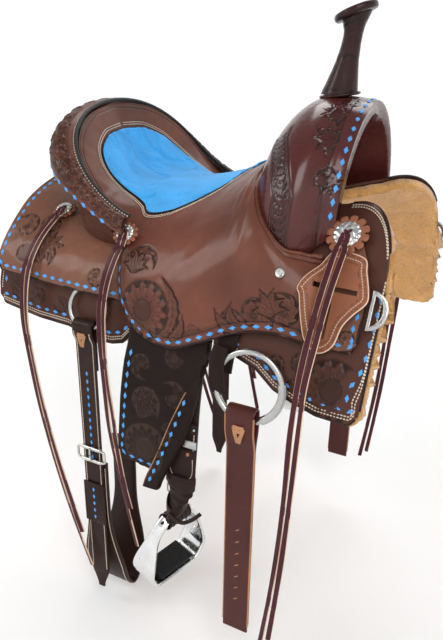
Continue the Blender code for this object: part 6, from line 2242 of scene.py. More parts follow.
@dataclass
class Rigging:
    """Tugs, rings, billets, breast dees and the flank cinch."""

    front_ring: Place = (0.161, -0.2752, 0.0105)
    front_radius: float = 0.0515
    front_wire: float = 0.0050
    front_lean: float = math.radians(12.0)
    rear_ring: Place = (-0.142, -0.2447, 0.0640)
    rear_radius: float = 0.0350
    rear_wire: float = 0.0040
    rear_lean: float = math.radians(18.0)
    billet_width: float = 0.044
    rear_width: float = 0.039
    strap_thick: float = 0.0040
    bottom_z: float = -0.445
    buckle_z: float = -0.212
    buckle_out: float = 0.0174
    dee_pivot: tuple = (0.3035, 0.133)
    dee_lift: float = 0.0110
    front_hug: tuple[float, float] = (-0.065, -0.022)
    front_loop: tuple[float, float] = (0.40, 0.60)

    def flat(self, v: Array) -> Array:
        """Width direction of a strap that hangs straight down."""
        return np.tile((1.0, 0.0, 0.0), (len(v), 1))

    def build(self) -> None:
        """Makes and hangs all of the rigging."""
        self.tugs()
        self.ring("front_ring_wire", self.front_ring, self.front_radius, self.front_wire, self.front_lean,
                  "front_rigging_{}", "front_ring_{}", True)
        self.ring("rear_ring_wire", self.rear_ring, self.rear_radius, self.rear_wire, self.rear_lean,
                  "rear_rigging_{}", "rear_ring_{}", False)
        self.off_billet()
        self.rear_billet()
        self.dees()
        self.cinch()

    def tugs(self) -> None:
        """Leather loops that carry the rings."""
        front = ((0.117, -0.2315, 0.104), (0.117, -0.2433, 0.082), (0.116, -0.2530, 0.060),
                 (0.114, -0.2590, 0.038), (0.112, -0.2610, 0.018))
        rear = [tuple(FLANK.at(-0.142, z, lift)[0]) for z, lift in ((0.128, 0.0040), (0.108, 0.0050))]
        for name, route, width, node in (("front_tug", front, 0.030, "front_rig_strap_{}"),
                                         ("rear_tug", rear, 0.028, "rear_rig_strap_{}")):
            place = strap_surface(lambda v, rows=route: spline(rows, v), self.flat,
                                  even_width(width), self.strap_thick)
            hang_pair(swept(name, (24, 24), place, "fender_leather"), "saddle", Slot.SADDLE, node)
        wrap = ((0.1120, -0.2668, 0.060), (0.1105, -0.2740, 0.046), (0.1110, -0.2795, 0.030),
                (0.1125, -0.2820, 0.012), (0.1150, -0.2815, -0.004), (0.1180, -0.2770, -0.011))
        place = strap_surface(lambda v: spline(wrap, v), self.flat, even_width(0.024), 0.0030)
        hang_pair(swept("front_tug_wrap", (20, 40), place, "fender_leather"), "saddle", Slot.SADDLE)

    def ring(self, name: str, centre: Place, radius: float, wire: float, lean: float, body: str,
             node: str, band: bool) -> None:
        """Round steel ring and, on the front ones, a wide band."""
        def circle(turn: Array, grow: float = 0.0) -> Array:
            size = radius + grow
            high = size * np.sin(turn)
            return np.column_stack((centre[0] + size * np.cos(turn), centre[1] + high * math.sin(lean),
                                    centre[2] + high * math.cos(lean)))

        turn = np.linspace(0.0, FULL_TURN, 97)
        out = (0.0, -math.cos(lean), math.sin(lean))
        obj = tube(name, circle(turn), wire * 0.92, "steel", 14, 96, up=out)
        hang_pair(obj, body, Slot.STEEL, node)
        if band:
            arc = np.linspace(-1.05, 0.30, 40)
            plate = tube(name + "_band", circle(arc), wire * 1.28, "steel", 18, 40, flat=0.82, up=out)
            hang_pair(plate, body, Slot.STEEL)

    def billet_parts(self, name: str, centre: Array, leg: float, back: float, clear: float, rise: float,
                     hug: tuple[float, float], share: tuple[float, float], width: Callable[[Array], Array],
                     finish: str) -> bpy.types.Object:
        """Doubled strap over a ring: outer leg, loop, inner leg."""
        place = strap_surface(self.billet_path(centre, leg, back, clear, rise, hug, share), self.flat,
                              width, self.strap_thick, 9.0)
        return swept(name, (28, 260), place, finish)

    def billet_path(self, centre: Array, leg: float, back: float, clear: float, rise: float,
                    hug: tuple[float, float], share: tuple[float, float]) -> Callable[[Array], Array]:
        """Path of a doubled strap; share gives where its loop starts and ends."""
        first, last = share
        near = self.strap_thick / 2.0 + 0.0003

        def path(v: Array) -> Array:
            down = leg * (1.0 - v / first)
            behind = back * (v - last) / (1.0 - last)
            turn = math.pi * np.clip((v - first) / (last - first), 0.0, 1.0)
            outer = mix(near, clear, ramp(down, *hug))
            inner = mix(near, clear, ramp(behind, *hug))
            y = np.where(v < first, -outer, np.where(v > last, inner, -clear * np.cos(turn)))
            z = np.where(v < first, down, np.where(v > last, behind, rise * np.sin(turn)))
            return np.array(centre) + np.column_stack((np.zeros(len(v)), y, z))
        return path

    def off_billet(self) -> None:
        """Off-side billet, and the latigo in its place on the left."""
        ring = self.front_ring
        out = ring[1] - math.sin(self.front_lean) * self.front_radius
        clear = self.front_wire + 0.0035 + self.strap_thick / 2.0
        rise = self.front_wire + self.strap_thick / 2.0 + 0.0020
        centre = np.array((ring[0] - 0.004, out + 0.0015, ring[2] - self.front_radius + 0.013))
        leg = self.bottom_z - centre[2]
        wide = even_width(self.billet_width)
        obj = self.billet_parts("girth_billet", centre, leg, leg + 0.012, clear, rise, self.front_hug,
                                self.front_loop, wide, "latigo_leather")
        obj.name = "off_billet_strap"
        left = mirrored_copy(obj, "latigo_strap")
        face = self.strap_thick + 0.0004
        edges = []
        for shift in (-1.0, 1.0):
            line = np.linspace(0.012, 0.40, 120)
            path = self.billet_path(centre, leg, leg, clear, rise, self.front_hug, self.front_loop)(line)
            path = path + np.array((shift * self.billet_width / 2.0, 0.0, 0.0))
            edges.append(tube(f"billet_edge_{shift:.0f}", path, 0.0017, "edge_leather", 8, 120, up=OUT))
        pale = joined("off_billet_edges", edges)
        pale_left = mirrored_copy(pale, "latigo_edges")
        holes = []
        for index in range(7):
            z = -0.238 - index * 0.0235
            middle = Vector((centre[0], centre[1] - face - 0.0002, z))
            frame_at = frame_matrix(middle, Vector(OUT))
            holes.append(frame_at @ Matrix.Rotation(math.radians(38.0), 4, "Z")
                         @ Matrix.Diagonal((0.0082, 0.0017, 0.0006, 1.0)))
        slits = scattered("off_billet_slits", stitch_shape, holes, "edge_leather")
        middle = Vector((centre[0], centre[1] - clear - 0.0030, centre[2] - 0.030))
        knot = self.knot("off_billet_knot", middle, 0.0125)
        for piece, left_piece, slot, nodes in ((obj, left, Slot.LATIGO, ("off_billet_right", "latigo_left")),
                                               (pale, pale_left, Slot.LATIGO, ())):
            hang(piece, "front_rigging_right", slot, *nodes[:1])
            hang(left_piece, "front_rigging_left", slot, *nodes[1:])
        for piece in (slits, knot):
            hang_pair(piece, "front_rigging_{}", Slot.LATIGO)

    def knot(self, name: str, middle: Vector, size: float) -> bpy.types.Object:
        """Lace knot: a small V of two crossing bands with a bar over them."""
        parts = []
        shapes = (((-0.62, 0.9), (-0.08, -1.1)), ((0.62, 0.9), (0.08, -1.1)), ((-0.66, 0.95), (0.66, 0.95)),
                  ((-0.42, 0.45), (0.42, 0.45)), ((-0.20, -0.55), (0.20, -0.55)))
        for index, (start, end) in enumerate(shapes):
            rows = []
            for share in (0.0, 0.5, 1.0):
                x, z = mix(start[0], end[0], share), mix(start[1], end[1], share)
                bulge = 0.0010 * math.sin(share * math.pi) + 0.0002 * index
                rows.append((middle.x + x * size, middle.y - bulge, middle.z + z * size))
            parts.append(tube(f"{name}_{index}", np.array(rows), 0.0031, "edge_leather", 10, 12, flat=0.45,
                              up=OUT))
        return joined(name, parts)

    def rear_billet(self) -> None:
        """Rear billets, doubled at the top and stitched along both edges."""
        ring = self.rear_ring
        out = ring[1] - math.sin(self.rear_lean) * self.rear_radius
        clear = self.rear_wire + 0.0034 + self.strap_thick / 2.0
        rise = self.rear_wire + self.strap_thick / 2.0 + 0.0028
        centre = np.array((ring[0], out + 0.0008, ring[2] - self.rear_radius + 0.0065))
        leg = -0.520 - centre[2]
        shares = (0.70, 0.86)
        hug = (-0.032, -0.011)
        wide = lambda v: self.rear_width * mix(0.35, 1.0, ramp(v, 0.0, 0.06))
        obj = self.billet_parts("rear_billet_strap", centre, leg, -0.080, clear, rise, hug, shares, wide,
                                "billet_leather")
        hang_pair(obj, "rear_rigging_{}", Slot.SADDLE, "rear_billet_{}")
        path = self.billet_path(centre, leg, -0.080, clear, rise, hug, shares)
        normals = np.tile(OUT, (200, 1))
        rows = []
        for shift in (-0.0155, 0.0155):
            line = path(np.linspace(0.06, 0.69, 200)) + np.array((shift, -self.strap_thick / 2.0, 0.0))
            rows.append(Trail(line, normals))
        hang_pair(stitches("rear_billet_stitching", rows), "rear_rigging_{}", Slot.STRING)
        line = path(np.linspace(0.37, 0.60, 200)) + np.array((0.0, -self.strap_thick / 2.0, 0.0))
        lace = lace_diamonds("rear_billet_lacing", [Trail(line, normals)], 0.0155, 0.0095, 0.0050)
        hang_pair(lace, "rear_rigging_{}", Slot.SUEDE)
        sleeve = box_piece("billet_sleeve", (0.0440, 0.0030, 0.0880), 0.0010,
                           Matrix.Translation((centre[0], centre[1] - 0.0068, -0.318)), "billet_leather")
        hang_pair(sleeve, "rear_rigging_{}", Slot.SADDLE)
        column = np.column_stack((np.full(80, centre[0]), np.full(80, centre[1] - 0.0083),
                                  np.linspace(-0.280, -0.356, 80)))
        dashes = lace_diamonds("billet_sleeve_lacing", [Trail(column, normals[:80])], 0.0155, 0.0095, 0.0050)
        hang_pair(dashes, "rear_rigging_{}", Slot.SUEDE)
        middle = Vector((centre[0], centre[1] - clear - 0.0028, centre[2] - 0.022))
        knot = self.knot("rear_billet_knot", middle, 0.0105)
        hang_pair(knot, "rear_rigging_{}", Slot.LATIGO)

    def dees(self) -> None:
        """Breast collar dees."""
        x, z = self.dee_pivot
        outer, inner = [], []
        for index in range(25):
            turn = math.radians(-90.0 + 180.0 * index / 24)
            outer.append((0.004 + 0.0245 * math.cos(turn), 0.0275 * math.sin(turn)))
            if math.cos(turn) * 0.0180 > 0.005:
                inner.append((0.004 + 0.0180 * math.cos(turn), 0.0210 * math.sin(turn)))
        outer = [(0.004, -0.0275)] + outer[1:-1] + [(0.004, 0.0275)]
        inner = [(0.0085, -0.0205)] + inner + [(0.0085, 0.0205)]
        bm = outline_plate("dee_cut", outer, 0.0040, (inner,), 0.0011)
        place = FLANK.at(x, z, self.dee_lift)[0]
        out = FLANK.normal(np.array([x]), FLANK.share(np.array([x]), np.array([z])))[0]
        normal = Vector((0.0, -out[0], out[1]))
        forward = Vector((1.0, 0.0, 0.0))
        matrix = axes_matrix(forward, normal.cross(forward), normal, Vector(place))
        bmesh.ops.transform(bm, matrix=matrix, verts=bm.verts)
        bmesh.ops.recalc_face_normals(bm, faces=bm.faces)
        obj = make_object("breast_ring", finish_mesh(bm, "breast_ring", 30.0), "steel")
        hang_pair(obj, "breast_dee_{}", Slot.STEEL, "breast_dee_{}")

    def cinch(self) -> None:
        """Flank cinch folded to the off side, and its roller buckle."""
        top_z = self.buckle_z - 0.019

        def path(v: Array) -> Array:
            turn = math.pi * v
            y = -0.2065 - 0.0440 * np.cos(turn)
            z = top_z - 0.300 * np.sin(turn) ** 0.55
            return np.column_stack((np.full(len(v), self.rear_ring[0]), y, z))

        def width(v: Array) -> Array:
            return mix(0.050, 0.092, ramp(np.sin(math.pi * v), 0.15, 0.7))

        def even(v: Array) -> Array:
            fine = np.linspace(0.0, 1.0, 2001)
            run = run_of(path(fine))
            return np.interp(v * run[-1], run, fine)

        place = strap_surface(lambda v: path(even(v)), self.flat, lambda v: width(even(v)), 0.0060, 9.0)
        obj = swept("belly_strap", (32, 260), place, "billet_leather")
        hang(obj, "flank_cinch", Slot.SADDLE, "flank_cinch")
        rows = []
        for shift in (-0.5, 0.5):
            share = even(np.linspace(0.015, 0.985, 400))
            line = path(share)
            ahead = unit(np.gradient(line, axis=0))
            out = np.cross(ahead, np.tile((1.0, 0.0, 0.0), (len(line), 1)))
            away = line - np.array((self.rear_ring[0], -0.2065, -0.38))
            out *= np.where(np.sum(out * away, axis=1) < 0.0, -1.0, 1.0)[:, None]
            side = line + np.column_stack((width(share) * shift * 0.86, np.zeros(400), np.zeros(400)))
            rows.append(Trail(side + out * 0.0030, out))
        hang(stitches("belly_strap_stitching", rows), "flank_cinch", Slot.STRING)
        self.buckle()

    def buckle(self) -> None:
        """Double-bar roller buckle with its tongue."""
        x, y = self.rear_ring[0], self.rear_ring[1] - self.buckle_out
        z = self.buckle_z
        rows = rounded_loop((x, y, z), 0.0287, 0.0127, 6, 65)
        parts = [tube("buckle_frame", rows, 0.0022, "nickel", 12, 128, up=OUT)]
        for height, radius in ((0.0127, 0.0034), (-0.0127, 0.0034)):
            bar = np.array([(x + share * 0.0200, y, z + height) for share in np.linspace(-1.0, 1.0, 9)])
            parts.append(tube(f"buckle_roller_{height:.3f}", bar, radius, "nickel", 16, 8))
        tongue = np.array([(x, y - 0.0030, z - 0.0115), (x, y - 0.0050, z), (x, y - 0.0042, z + 0.0145)])
        parts.append(tube("buckle_tongue", tongue, 0.0017, "nickel", 10, 12))
        hang(joined("cinch_buckle_frame", parts), "rear_rigging_right", Slot.STEEL, "cinch_buckle")


@dataclass
class Legs:
    """Fenders, stirrup leathers, hobble straps and stirrups."""

    top_z: float = 0.092
    bottom_z: float = -0.168
    tip_z: float = -0.193
    centre_x: float = 0.020
    thick: float = 0.0035
    curl: float = 0.0075
    yaw: float = math.radians(75.0)
    centre: Place = (0.040, -0.305, -0.340)
    width: float = 0.118
    height: float = 0.112
    tread: float = 0.048
    rear_edge: tuple = ((-0.190, -0.062), (-0.080, -0.056), (0.040, -0.052), (0.092, -0.050))
    fold_edge: tuple = ((-0.255, 0.012), (-0.180, 0.032), (-0.130, 0.054), (-0.077, 0.075),
                        (-0.029, 0.083), (0.010, 0.085), (0.092, 0.085))
    cut_edge: tuple = ((-0.255, -0.016), (-0.180, 0.004), (-0.130, 0.026), (-0.077, 0.044),
                       (-0.029, 0.062), (0.010, 0.079), (0.040, 0.0845), (0.092, 0.0849))
    hang_out: tuple = ((-0.250, 0.303), (-0.150, 0.297), (-0.060, 0.284), (0.000, 0.271),
                       (0.022, 0.2610), (0.040, 0.2530), (0.065, 0.2465), (0.092, 0.2440))

    def soft_table(self, rows: Sequence, x: Array) -> Array:
        """Reading of a table, eased over its corners."""
        return (table(rows, x - 0.014) + 2.0 * table(rows, x) + table(rows, x + 0.014)) / 4.0

    def fender(self, u: Array, v: Array) -> Array:
        """Inner face of the fender, its front edge curled out over its face."""
        flat, bend = 0.60, 0.26
        low = mix(self.bottom_z, self.tip_z, ramp(u, 0.45, 0.80))
        low = low + 0.012 * (1.0 - ramp(u, 0.0, 0.10))
        z = mix(self.top_z, low, v)
        rear = table(self.rear_edge, z)
        fold = self.soft_table(self.fold_edge, z)
        cut = self.soft_table(self.cut_edge, z)
        reach = np.maximum(fold - cut, 0.0)
        curl = self.curl * ramp(reach, 0.0, 0.020)
        yaw = math.radians(20.0) * ramp(-z, 0.02, 0.22)
        turn = math.pi * np.clip((u - flat) / bend, 0.0, 1.0)
        past = np.clip((u - flat - bend) / (1.0 - flat - bend), 0.0, 1.0)
        along = mix(rear, fold - curl, u / flat)
        bent = mix(fold - curl + curl * np.sin(turn), fold, 1.0 - ramp(reach, 0.0, 0.006))
        along = np.where(u <= flat, along, np.where(u <= flat + bend, bent, mix(fold - curl, cut, past)))
        out = np.where(u <= flat, 0.0, np.where(u <= flat + bend, curl * (1.0 - np.cos(turn)),
                                                curl * (2.0 + 0.5 * past)))
        hem = 0.0035 * np.where(curl < 0.001, u, 0.0)
        swing = (along - self.centre_x) * np.sin(yaw) * 0.45
        return np.column_stack((along + hem, -(self.soft_table(self.hang_out, z) + out + swing), z))

    def face(self, u: Array, v: Array) -> Array:
        """Outer face of the fender."""
        along, down = slopes(self.fender, u, v, 0.003)
        out = unit(np.cross(down, along))
        first = (u < 0.5) & (out[:, 1] > 0.0)
        if np.any(first):
            out = -out
        return self.fender(u, v) + out * self.thick

    def carve(self, done: Field) -> None:
        """Sunflower, scrolls and leaves of the fender."""
        facing = (-0.05, -0.98, 0.10)
        # fender_leather paints this carved shade lighter, as a painted highlight on the tooling.
        Bloom(Panel((-0.006, -0.298, -0.135), facing), 0.0160, 0.040, 14, 0.0, 360.0).carve(done)
        press_scrolls(done, facing, (((-0.012, -0.285, -0.058), 0.030, 1, 40.0),
                                     ((0.040, -0.280, -0.036), 0.024, -1, 60.0),
                                     ((-0.022, -0.270, 0.000), 0.022, -1, 220.0),
                                     ((0.035, -0.262, 0.022), 0.022, 1, 120.0),
                                     ((0.034, -0.296, -0.092), 0.018, 1, 300.0)))
        press_all(done, sprig((-0.020, -0.288, -0.085), facing, 0.055, 20.0, 90.0, 5))
        hand_made(done, 0.06, 0.0008, 8.0)

    def build(self) -> None:
        """Makes and hangs both legs of the saddle."""
        self.fenders()
        self.leathers()
        self.neck()
        self.hobble()
        self.stirrup()

    def fenders(self) -> None:
        """Fender with its lacing and the pale cut edge of its curl."""
        obj = sheet_object("fender_cover", (150, 160), self.face, self.thick, "fender_leather",
                           OUT, self.carve, crowd_v=((0.0, 0.0), (0.08, 0.20), (1.0, 1.0)))
        hang_pair(obj, "fender_{}", Slot.FENDER, "fender_{}")
        down = np.linspace(0.28, 0.97, 160)
        bottom = np.linspace(0.03, 0.60, 90)
        strip = self.fender(np.full(130, 0.945), np.linspace(0.40, 0.96, 130)) + np.array((0.0, -0.0018, 0.0))
        rows = [inset_trail(self.face, down, 0.0085, OUT, "u0"),
                inset_trail(self.face, bottom, 0.0085, OUT, "v1"),
                Trail(strip, np.tile(unit(np.array((-0.1, -1.0, 0.12))), (130, 1)))]
        hang_pair(lace_diamonds("fender_lacing", rows, 0.0185, 0.0115, 0.0058), "fender_{}", Slot.SUEDE)
        cut = self.face(np.full(150, 1.0), np.linspace(0.38, 1.0, 150))
        inner = self.fender(np.full(150, 1.0), np.linspace(0.38, 1.0, 150))
        edge = tube("fender_cut_edge", (cut + inner) / 2.0, 0.0016, "edge_leather", 8, 150)
        hang_pair(edge, "fender_{}", Slot.FENDER)
        rear = (self.face(np.full(120, 0.0), np.linspace(0.0, 1.0, 120))
                + self.fender(np.full(120, 0.0), np.linspace(0.0, 1.0, 120))) / 2.0
        hang_pair(tube("fender_rear_edge", rear, 0.0021, "black_edge", 8, 120), "fender_{}", Slot.FENDER)

    def frame(self) -> Matrix:
        """Middle of the tread: X along it, Y across, Z up."""
        along = Vector((math.cos(self.yaw), math.sin(self.yaw), 0.0))
        across = Vector((math.sin(self.yaw), -math.cos(self.yaw), 0.0))
        up = (Vector(UP) + across * 0.16).normalized()
        return axes_matrix(along, along.cross(up) * -1.0, up, Vector(self.centre))

    def leathers(self) -> None:
        """Doubled stirrup leathers with their stitching."""
        bolt = self.frame() @ Vector((0.0, 0.0, self.height))
        route = ((0.060, -0.2365, 0.092), (0.060, -0.2415, 0.062), (0.060, -0.2475, 0.042),
                 (0.060, -0.2565, 0.020), (0.060, -0.2655, 0.000), (0.060, -0.2740, -0.035),
                 (0.060, -0.2795, -0.070), (0.060, -0.2870, -0.130), (0.056, -0.2890, -0.190),
                 (bolt.x, bolt.y, bolt.z + 0.008))

        def path(v: Array) -> Array:
            return spline(route, v)

        def spread(v: Array) -> Array:
            twist = self.yaw * ramp(v, 0.80, 0.985)
            return np.column_stack((np.cos(twist), -np.sin(twist), np.zeros(len(v))))

        def width(v: Array) -> Array:
            return mix(0.045, 0.040, ramp(v, 0.80, 0.95))

        place = strap_surface(path, spread, width, 0.0060, 9.0)
        hang_pair(swept("leather_strap", (28, 200), place, "dark_leather"), "fender_{}", Slot.FENDER,
                  "stirrup_leather_{}")
        share = np.linspace(0.70, 0.98, 160)
        line, wide = path(share), spread(share)
        ahead = unit(np.gradient(line, axis=0))
        rows = []
        for side in (-1.0, 1.0):
            out = unit(np.cross(ahead, wide)) * side
            for shift in (-0.40, 0.40):
                rows.append(Trail(line + wide * (width(share) * shift)[:, None] + out * 0.0031, out))
        hang_pair(stitches("leather_stitching", rows), "fender_{}", Slot.STRING)

    def neck(self) -> None:
        """Bolt, wrinkled neck, riveted flap, steel plate and keeper above the stirrup."""
        frame_at = self.frame()
        bolt = frame_at @ Vector((0.0, 0.0, self.height - 0.004))
        along = frame_at.to_3x3() @ Vector((1.0, 0.0, 0.0))
        line = np.array([(bolt + along * share)[:] for share in np.linspace(-0.033, 0.033, 9)])
        hang_pair(tube("stirrup_bolt", line, 0.0036, "nickel", 16, 8), "stirrup_{}", Slot.STEEL)
        line = np.array([(bolt + along * share)[:] for share in np.linspace(-0.0235, 0.0235, 25)])
        wrap = tube("bolt_wrap", line, 0.0135, "dark_leather", 28, 48,
                    lambda u, v: 1.0 + 0.05 * np.sin(v * 34.0) + 0.03 * np.sin(u * 12.6))
        hang_pair(wrap, "fender_{}", Slot.FENDER)
        top = np.array((0.0590, -0.2930, -0.165))
        rows = np.array([top, (0.0580, -0.2950, -0.183), (0.0565, -0.2990, -0.200),
                         tuple(bolt + Vector((0.0, 0.0, 0.010)))])

        def place(u: Array, v: Array) -> Array:
            middle = spline(rows, v)
            twist = self.yaw * ramp(v, 0.1, 0.95)
            wide = np.column_stack((np.cos(twist), -np.sin(twist), np.zeros(len(v))))
            deep = np.column_stack((np.sin(twist), np.cos(twist), np.zeros(len(v))))
            folds = 1.0 + 0.055 * np.sin(v * 46.0 + 1.3 * np.sin(u * 6.28)) * ramp(v, 0.2, 0.4)
            a = np.cos(FULL_TURN * u) * mix(0.0262, 0.0325, ramp(v, 0.0, 0.75)) * folds
            b = np.sin(FULL_TURN * u) * mix(0.0080, 0.0125, ramp(v, 0.0, 0.7)) * folds
            return middle + wide * a[:, None] + deep * b[:, None]

        hang_pair(swept("stirrup_neck", (40, 90), place, "dark_leather"), "fender_{}", Slot.FENDER)
        slope = Matrix.Translation((0.0600, -0.2925, -0.1480)) @ Matrix.Rotation(math.radians(-4.0), 4, "X")
        parts = (("neck_flap", (0.0490, 0.0036, 0.0620), 0.0014, (0.0, 0.0, 0.0), "dark_leather",
                  Slot.FENDER),
                 ("neck_plate", (0.0470, 0.0020, 0.0130), 0.0006, (0.0, 0.0004, 0.0410), "steel",
                  Slot.STEEL),
                 ("strap_keeper", (0.0520, 0.0036, 0.0170), 0.0012, (0.0, 0.0, 0.0690), "dark_leather",
                  Slot.FENDER))
        for name, size, edge, shift, finish, slot in parts:
            piece = box_piece(name, size, edge, slope @ Matrix.Translation(shift), finish)
            hang_pair(piece, "fender_{}", slot)
        curve = np.array([(-0.0195, -0.0022, 0.018), (-0.0195, -0.0022, -0.008), (-0.0120, -0.0022, -0.021),
                          (0.0, -0.0022, -0.0255), (0.0120, -0.0022, -0.021), (0.0195, -0.0022, -0.008),
                          (0.0195, -0.0022, 0.018)])
        turn_part = np.array(slope.to_3x3()).T
        line = spline(curve, np.linspace(0.0, 1.0, 90)) @ turn_part + np.array(slope.translation)
        out = np.tile(np.array(OUT) @ turn_part, (90, 1))
        hang_pair(stitches("flap_stitching", [Trail(line, out)], "thread", 0.0038, 0.0029, 0.0012),
                  "fender_{}", Slot.STRING)
        lean = Matrix.Rotation(math.radians(90.0), 4, "X")
        rivets = (("flap_rivets", "copper", 0.010, 0.024, 0.0070, 0.0045),
                  ("keeper_rivets", "nickel", 0.0195, 0.069, 0.0050, 0.0035))
        for name, finish, apart, height, wide, deep in rivets:
            studs = [slope @ Matrix.Translation((x, -0.0016, height)) @ lean
                     @ Matrix.Diagonal((wide, wide, deep, 1.0)) for x in (-apart, apart)]
            hang_pair(scattered(name, dome_shape, studs, finish), "fender_{}", Slot.STEEL)

    def hobble(self) -> None:
        """Hobble strap round the neck, with its buckle and free end."""
        centre = (0.0566, -0.3008, -0.2085)
        yaw = -self.yaw * 0.94

        def around(turn: Array, grow: float) -> Array:
            a = (0.034 + grow) * np.cos(turn)
            b = (0.014 + grow) * np.sin(turn)
            return np.column_stack((centre[0] + a * math.cos(yaw) - b * math.sin(yaw),
                                    centre[1] + a * math.sin(yaw) + b * math.cos(yaw),
                                    np.full(len(turn), centre[2])))

        def place(u: Array, v: Array) -> Array:
            turn = FULL_TURN * v
            across, high = rounded_section(u, np.full(len(u), 0.0015), np.full(len(u), 0.0078), 5.0)
            inner, outer = around(turn, 0.0), around(turn, 0.003)
            point = mix(inner, outer, (across / 0.003 + 0.5)[:, None])
            point[:, 2] += high + 0.0015 * np.sin(turn)
            return point

        hang_pair(swept("hobble_band", (20, 120), place, "dark_leather"), "fender_{}", Slot.FENDER,
                  "hobble_strap_{}")
        spot = around(np.array([3.9]), 0.0065)[0]
        rows = rounded_loop((spot[0], spot[1] - 0.001, spot[2]), 0.0085, 0.0105, 5, 41)
        start = around(np.array([5.9]), 0.0050)[0]
        route = start + np.array(((0.0, 0.0, 0.0), (0.012, -0.004, -0.003), (0.026, -0.004, -0.004),
                                  (0.040, 0.002, 0.003), (0.050, 0.010, 0.012)))

        def free_end(v: Array) -> Array:
            return spline(route, v)

        def upright(v: Array) -> Array:
            return np.tile(np.array((0.0, 0.05, 1.0)), (len(v), 1))

        tail = swept("hobble_tail", (16, 60), strap_surface(free_end, upright, even_width(0.0065), 0.0026),
                     "dark_leather")
        hang_pair(tail, "fender_{}", Slot.FENDER)
        hang_pair(tube("hobble_buckle", rows, 0.0015, "nickel", 10, 60, up=OUT),
                  "fender_{}", Slot.STEEL)

    def stirrup(self) -> None:
        """Polished stirrup with rounded edges and a ribbed rubber tread."""
        half, high = self.width / 2.0, self.height
        outline = ((-0.020, high), (-0.034, high - 0.012), (-half * 0.80, high * 0.70),
                   (-half, high * 0.28), (-half * 0.92, 0.012), (-half * 0.70, -0.004), (0.0, -0.006),
                   (half * 0.70, -0.004), (half * 0.92, 0.012), (half, high * 0.28),
                   (half * 0.80, high * 0.70), (0.034, high - 0.012), (0.020, high))
        matrix = self.frame()
        turn_part = np.array(matrix.to_3x3()).T
        shift = np.array(matrix.translation)

        def place(u: Array, v: Array) -> Array:
            middle = spline(outline, v)
            ahead = heading(lambda t: spline(outline, t), v, 0.01)
            wide = mix(0.020, self.tread, ramp(1.0 - middle[:, 1] / high, 0.1, 0.8))
            across, thick = rounded_section(u, wide / 2.0, np.full(len(u), 0.0029), 6.0)
            lip = np.exp(-((np.abs(across) - wide / 2.0 + 0.003) / 0.0014) ** 2)
            thick = thick + 0.0007 * lip * np.sign(thick)
            local = np.column_stack((middle[:, 0] - ahead[:, 1] * thick, across,
                                     middle[:, 1] + ahead[:, 0] * thick))
            return local @ turn_part + shift

        hang_pair(swept("stirrup_bow", (40, 240), place, "aluminium", sharp=60.0), "stirrup_{}",
                  Slot.ALUMINIUM, "stirrup_{}")
        pad = box_piece("tread_pad", (self.width * 0.62, self.tread - 0.006, 0.0045), 0.0012,
                        matrix @ Matrix.Translation((0.0, 0.0, 0.0058)), "rubber")
        ribs = []
        count = 15
        for index in range(count):
            x = (index / (count - 1) - 0.5) * self.width * 0.56
            ribs.append(matrix @ Matrix.Translation((x, 0.0, 0.0083)) @ Matrix.Diagonal(
                (0.0026, self.tread - 0.010, 0.0020, 1.0)))
        rows = scattered("tread_ribs", stitch_shape, ribs, "rubber")
        hang_pair(pad, "stirrup_{}", Slot.RUBBER, "stirrup_tread_{}")
        hang_pair(rows, "stirrup_{}", Slot.RUBBER)


# Picture.

@dataclass(frozen=True)
class Camera:
    """Camera of the photograph."""

    place: Place = (0.488, -1.044, 0.472)
    azimuth: float = 28.5
    elevation: float = 22.8
    lens: float = 37.18
    shift: tuple[float, float] = (0.0445, -0.0078)

    def build(self) -> None:
        """Makes the scene's camera."""
        a, e = math.radians(self.azimuth), math.radians(self.elevation)
        back = Vector((math.sin(a) * math.cos(e), -math.cos(a) * math.cos(e), math.sin(e)))
        right = Vector((math.cos(a), math.sin(a), 0.0))
        up = back.cross(right)
        data = bpy.data.cameras.new("photo_camera")
        data.sensor_fit = "VERTICAL"
        data.sensor_height = 36.0
        data.lens = self.lens
        data.shift_x, data.shift_y = self.shift
        data.clip_start = 0.01
        obj = linked("photo_camera", data)
        obj.matrix_world = axes_matrix(right, up, back, Vector(self.place))
        bpy.context.scene.camera = obj


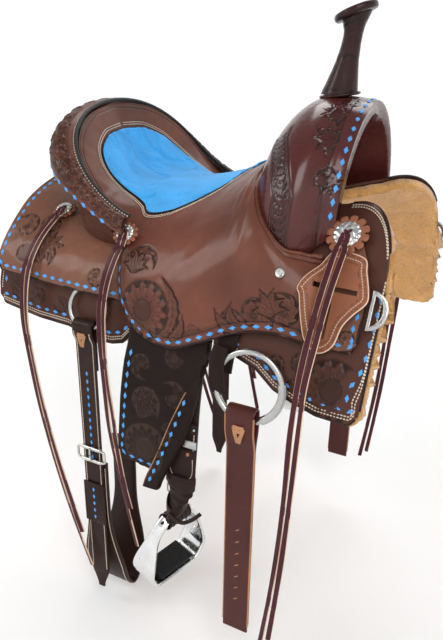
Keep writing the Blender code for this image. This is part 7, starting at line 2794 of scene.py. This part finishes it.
@dataclass(frozen=True)
class Stage:
    """Pale floor, soft sky and three soft lamps."""

    floor_z: float = -0.560
    sky: float = 0.42
    lamps: tuple = (((1.4, -2.2, 2.6), 1.6, 46.0), ((-2.2, -1.6, 2.0), 1.2, 24.0),
                    ((-0.4, 2.2, 2.8), 1.8, 38.0))

    def build(self) -> None:
        """Makes the floor, the world and the lamps."""
        bm = bmesh.new()
        bmesh.ops.create_grid(bm, x_segments=48, y_segments=48, size=3.2)
        for vert in bm.verts:
            away = max(vert.co.xy.length - 1.5, 0.0)
            vert.co.z = self.floor_z + 0.9 * away * away
        floor = linked("floor", finish_mesh(bm, "floor"))
        graph = Graph("floor_paint")
        graph.feed(graph.shader.inputs["Base Color"], (0.92, 0.92, 0.92, 1.0))
        graph.set(Roughness=0.95, Specular_IOR_Level=0.1)
        floor.data.materials.append(graph.material)
        world = bpy.data.worlds.new("studio")
        bpy.context.scene.world = world
        world.use_nodes = True
        tree = world.node_tree
        tree.nodes.clear()
        path = tree.nodes.new("ShaderNodeLightPath")
        lit = tree.nodes.new("ShaderNodeBackground")
        seen = tree.nodes.new("ShaderNodeBackground")
        share = tree.nodes.new("ShaderNodeMixShader")
        out = tree.nodes.new("ShaderNodeOutputWorld")
        lit.inputs["Color"].default_value = (1.0, 1.0, 1.0, 1.0)
        lit.inputs["Strength"].default_value = self.sky
        seen.inputs["Color"].default_value = (0.93, 0.93, 0.93, 1.0)
        seen.inputs["Strength"].default_value = 1.0
        tree.links.new(path.outputs["Is Camera Ray"], share.inputs[0])
        tree.links.new(lit.outputs[0], share.inputs[1])
        tree.links.new(seen.outputs[0], share.inputs[2])
        tree.links.new(share.outputs[0], out.inputs["Surface"])
        for index, (place, size, power) in enumerate(self.lamps):
            data = bpy.data.lights.new(f"lamp_{index}", "AREA")
            data.size = size
            data.energy = power
            lamp = linked(f"lamp_{index}", data)
            lamp.location = place
            aim = Vector((0.0, -0.1, 0.05)) - Vector(place)
            lamp.rotation_euler = aim.to_track_quat("-Z", "Y").to_euler()
        bpy.context.scene.view_settings.view_transform = "Standard"


def main() -> None:
    """Builds the whole dressed saddle."""
    swell = Swell()
    for assembly in (swell, Cantle(), Seat(swell), Skirts(), Bars(), Keeper(), Conchos(), Rigging(), Legs()):
        assembly.build()
        log.info("%s is done", type(assembly).__name__)
    Camera().build()
    Stage().build()


if __name__ == "__main__":
    main()
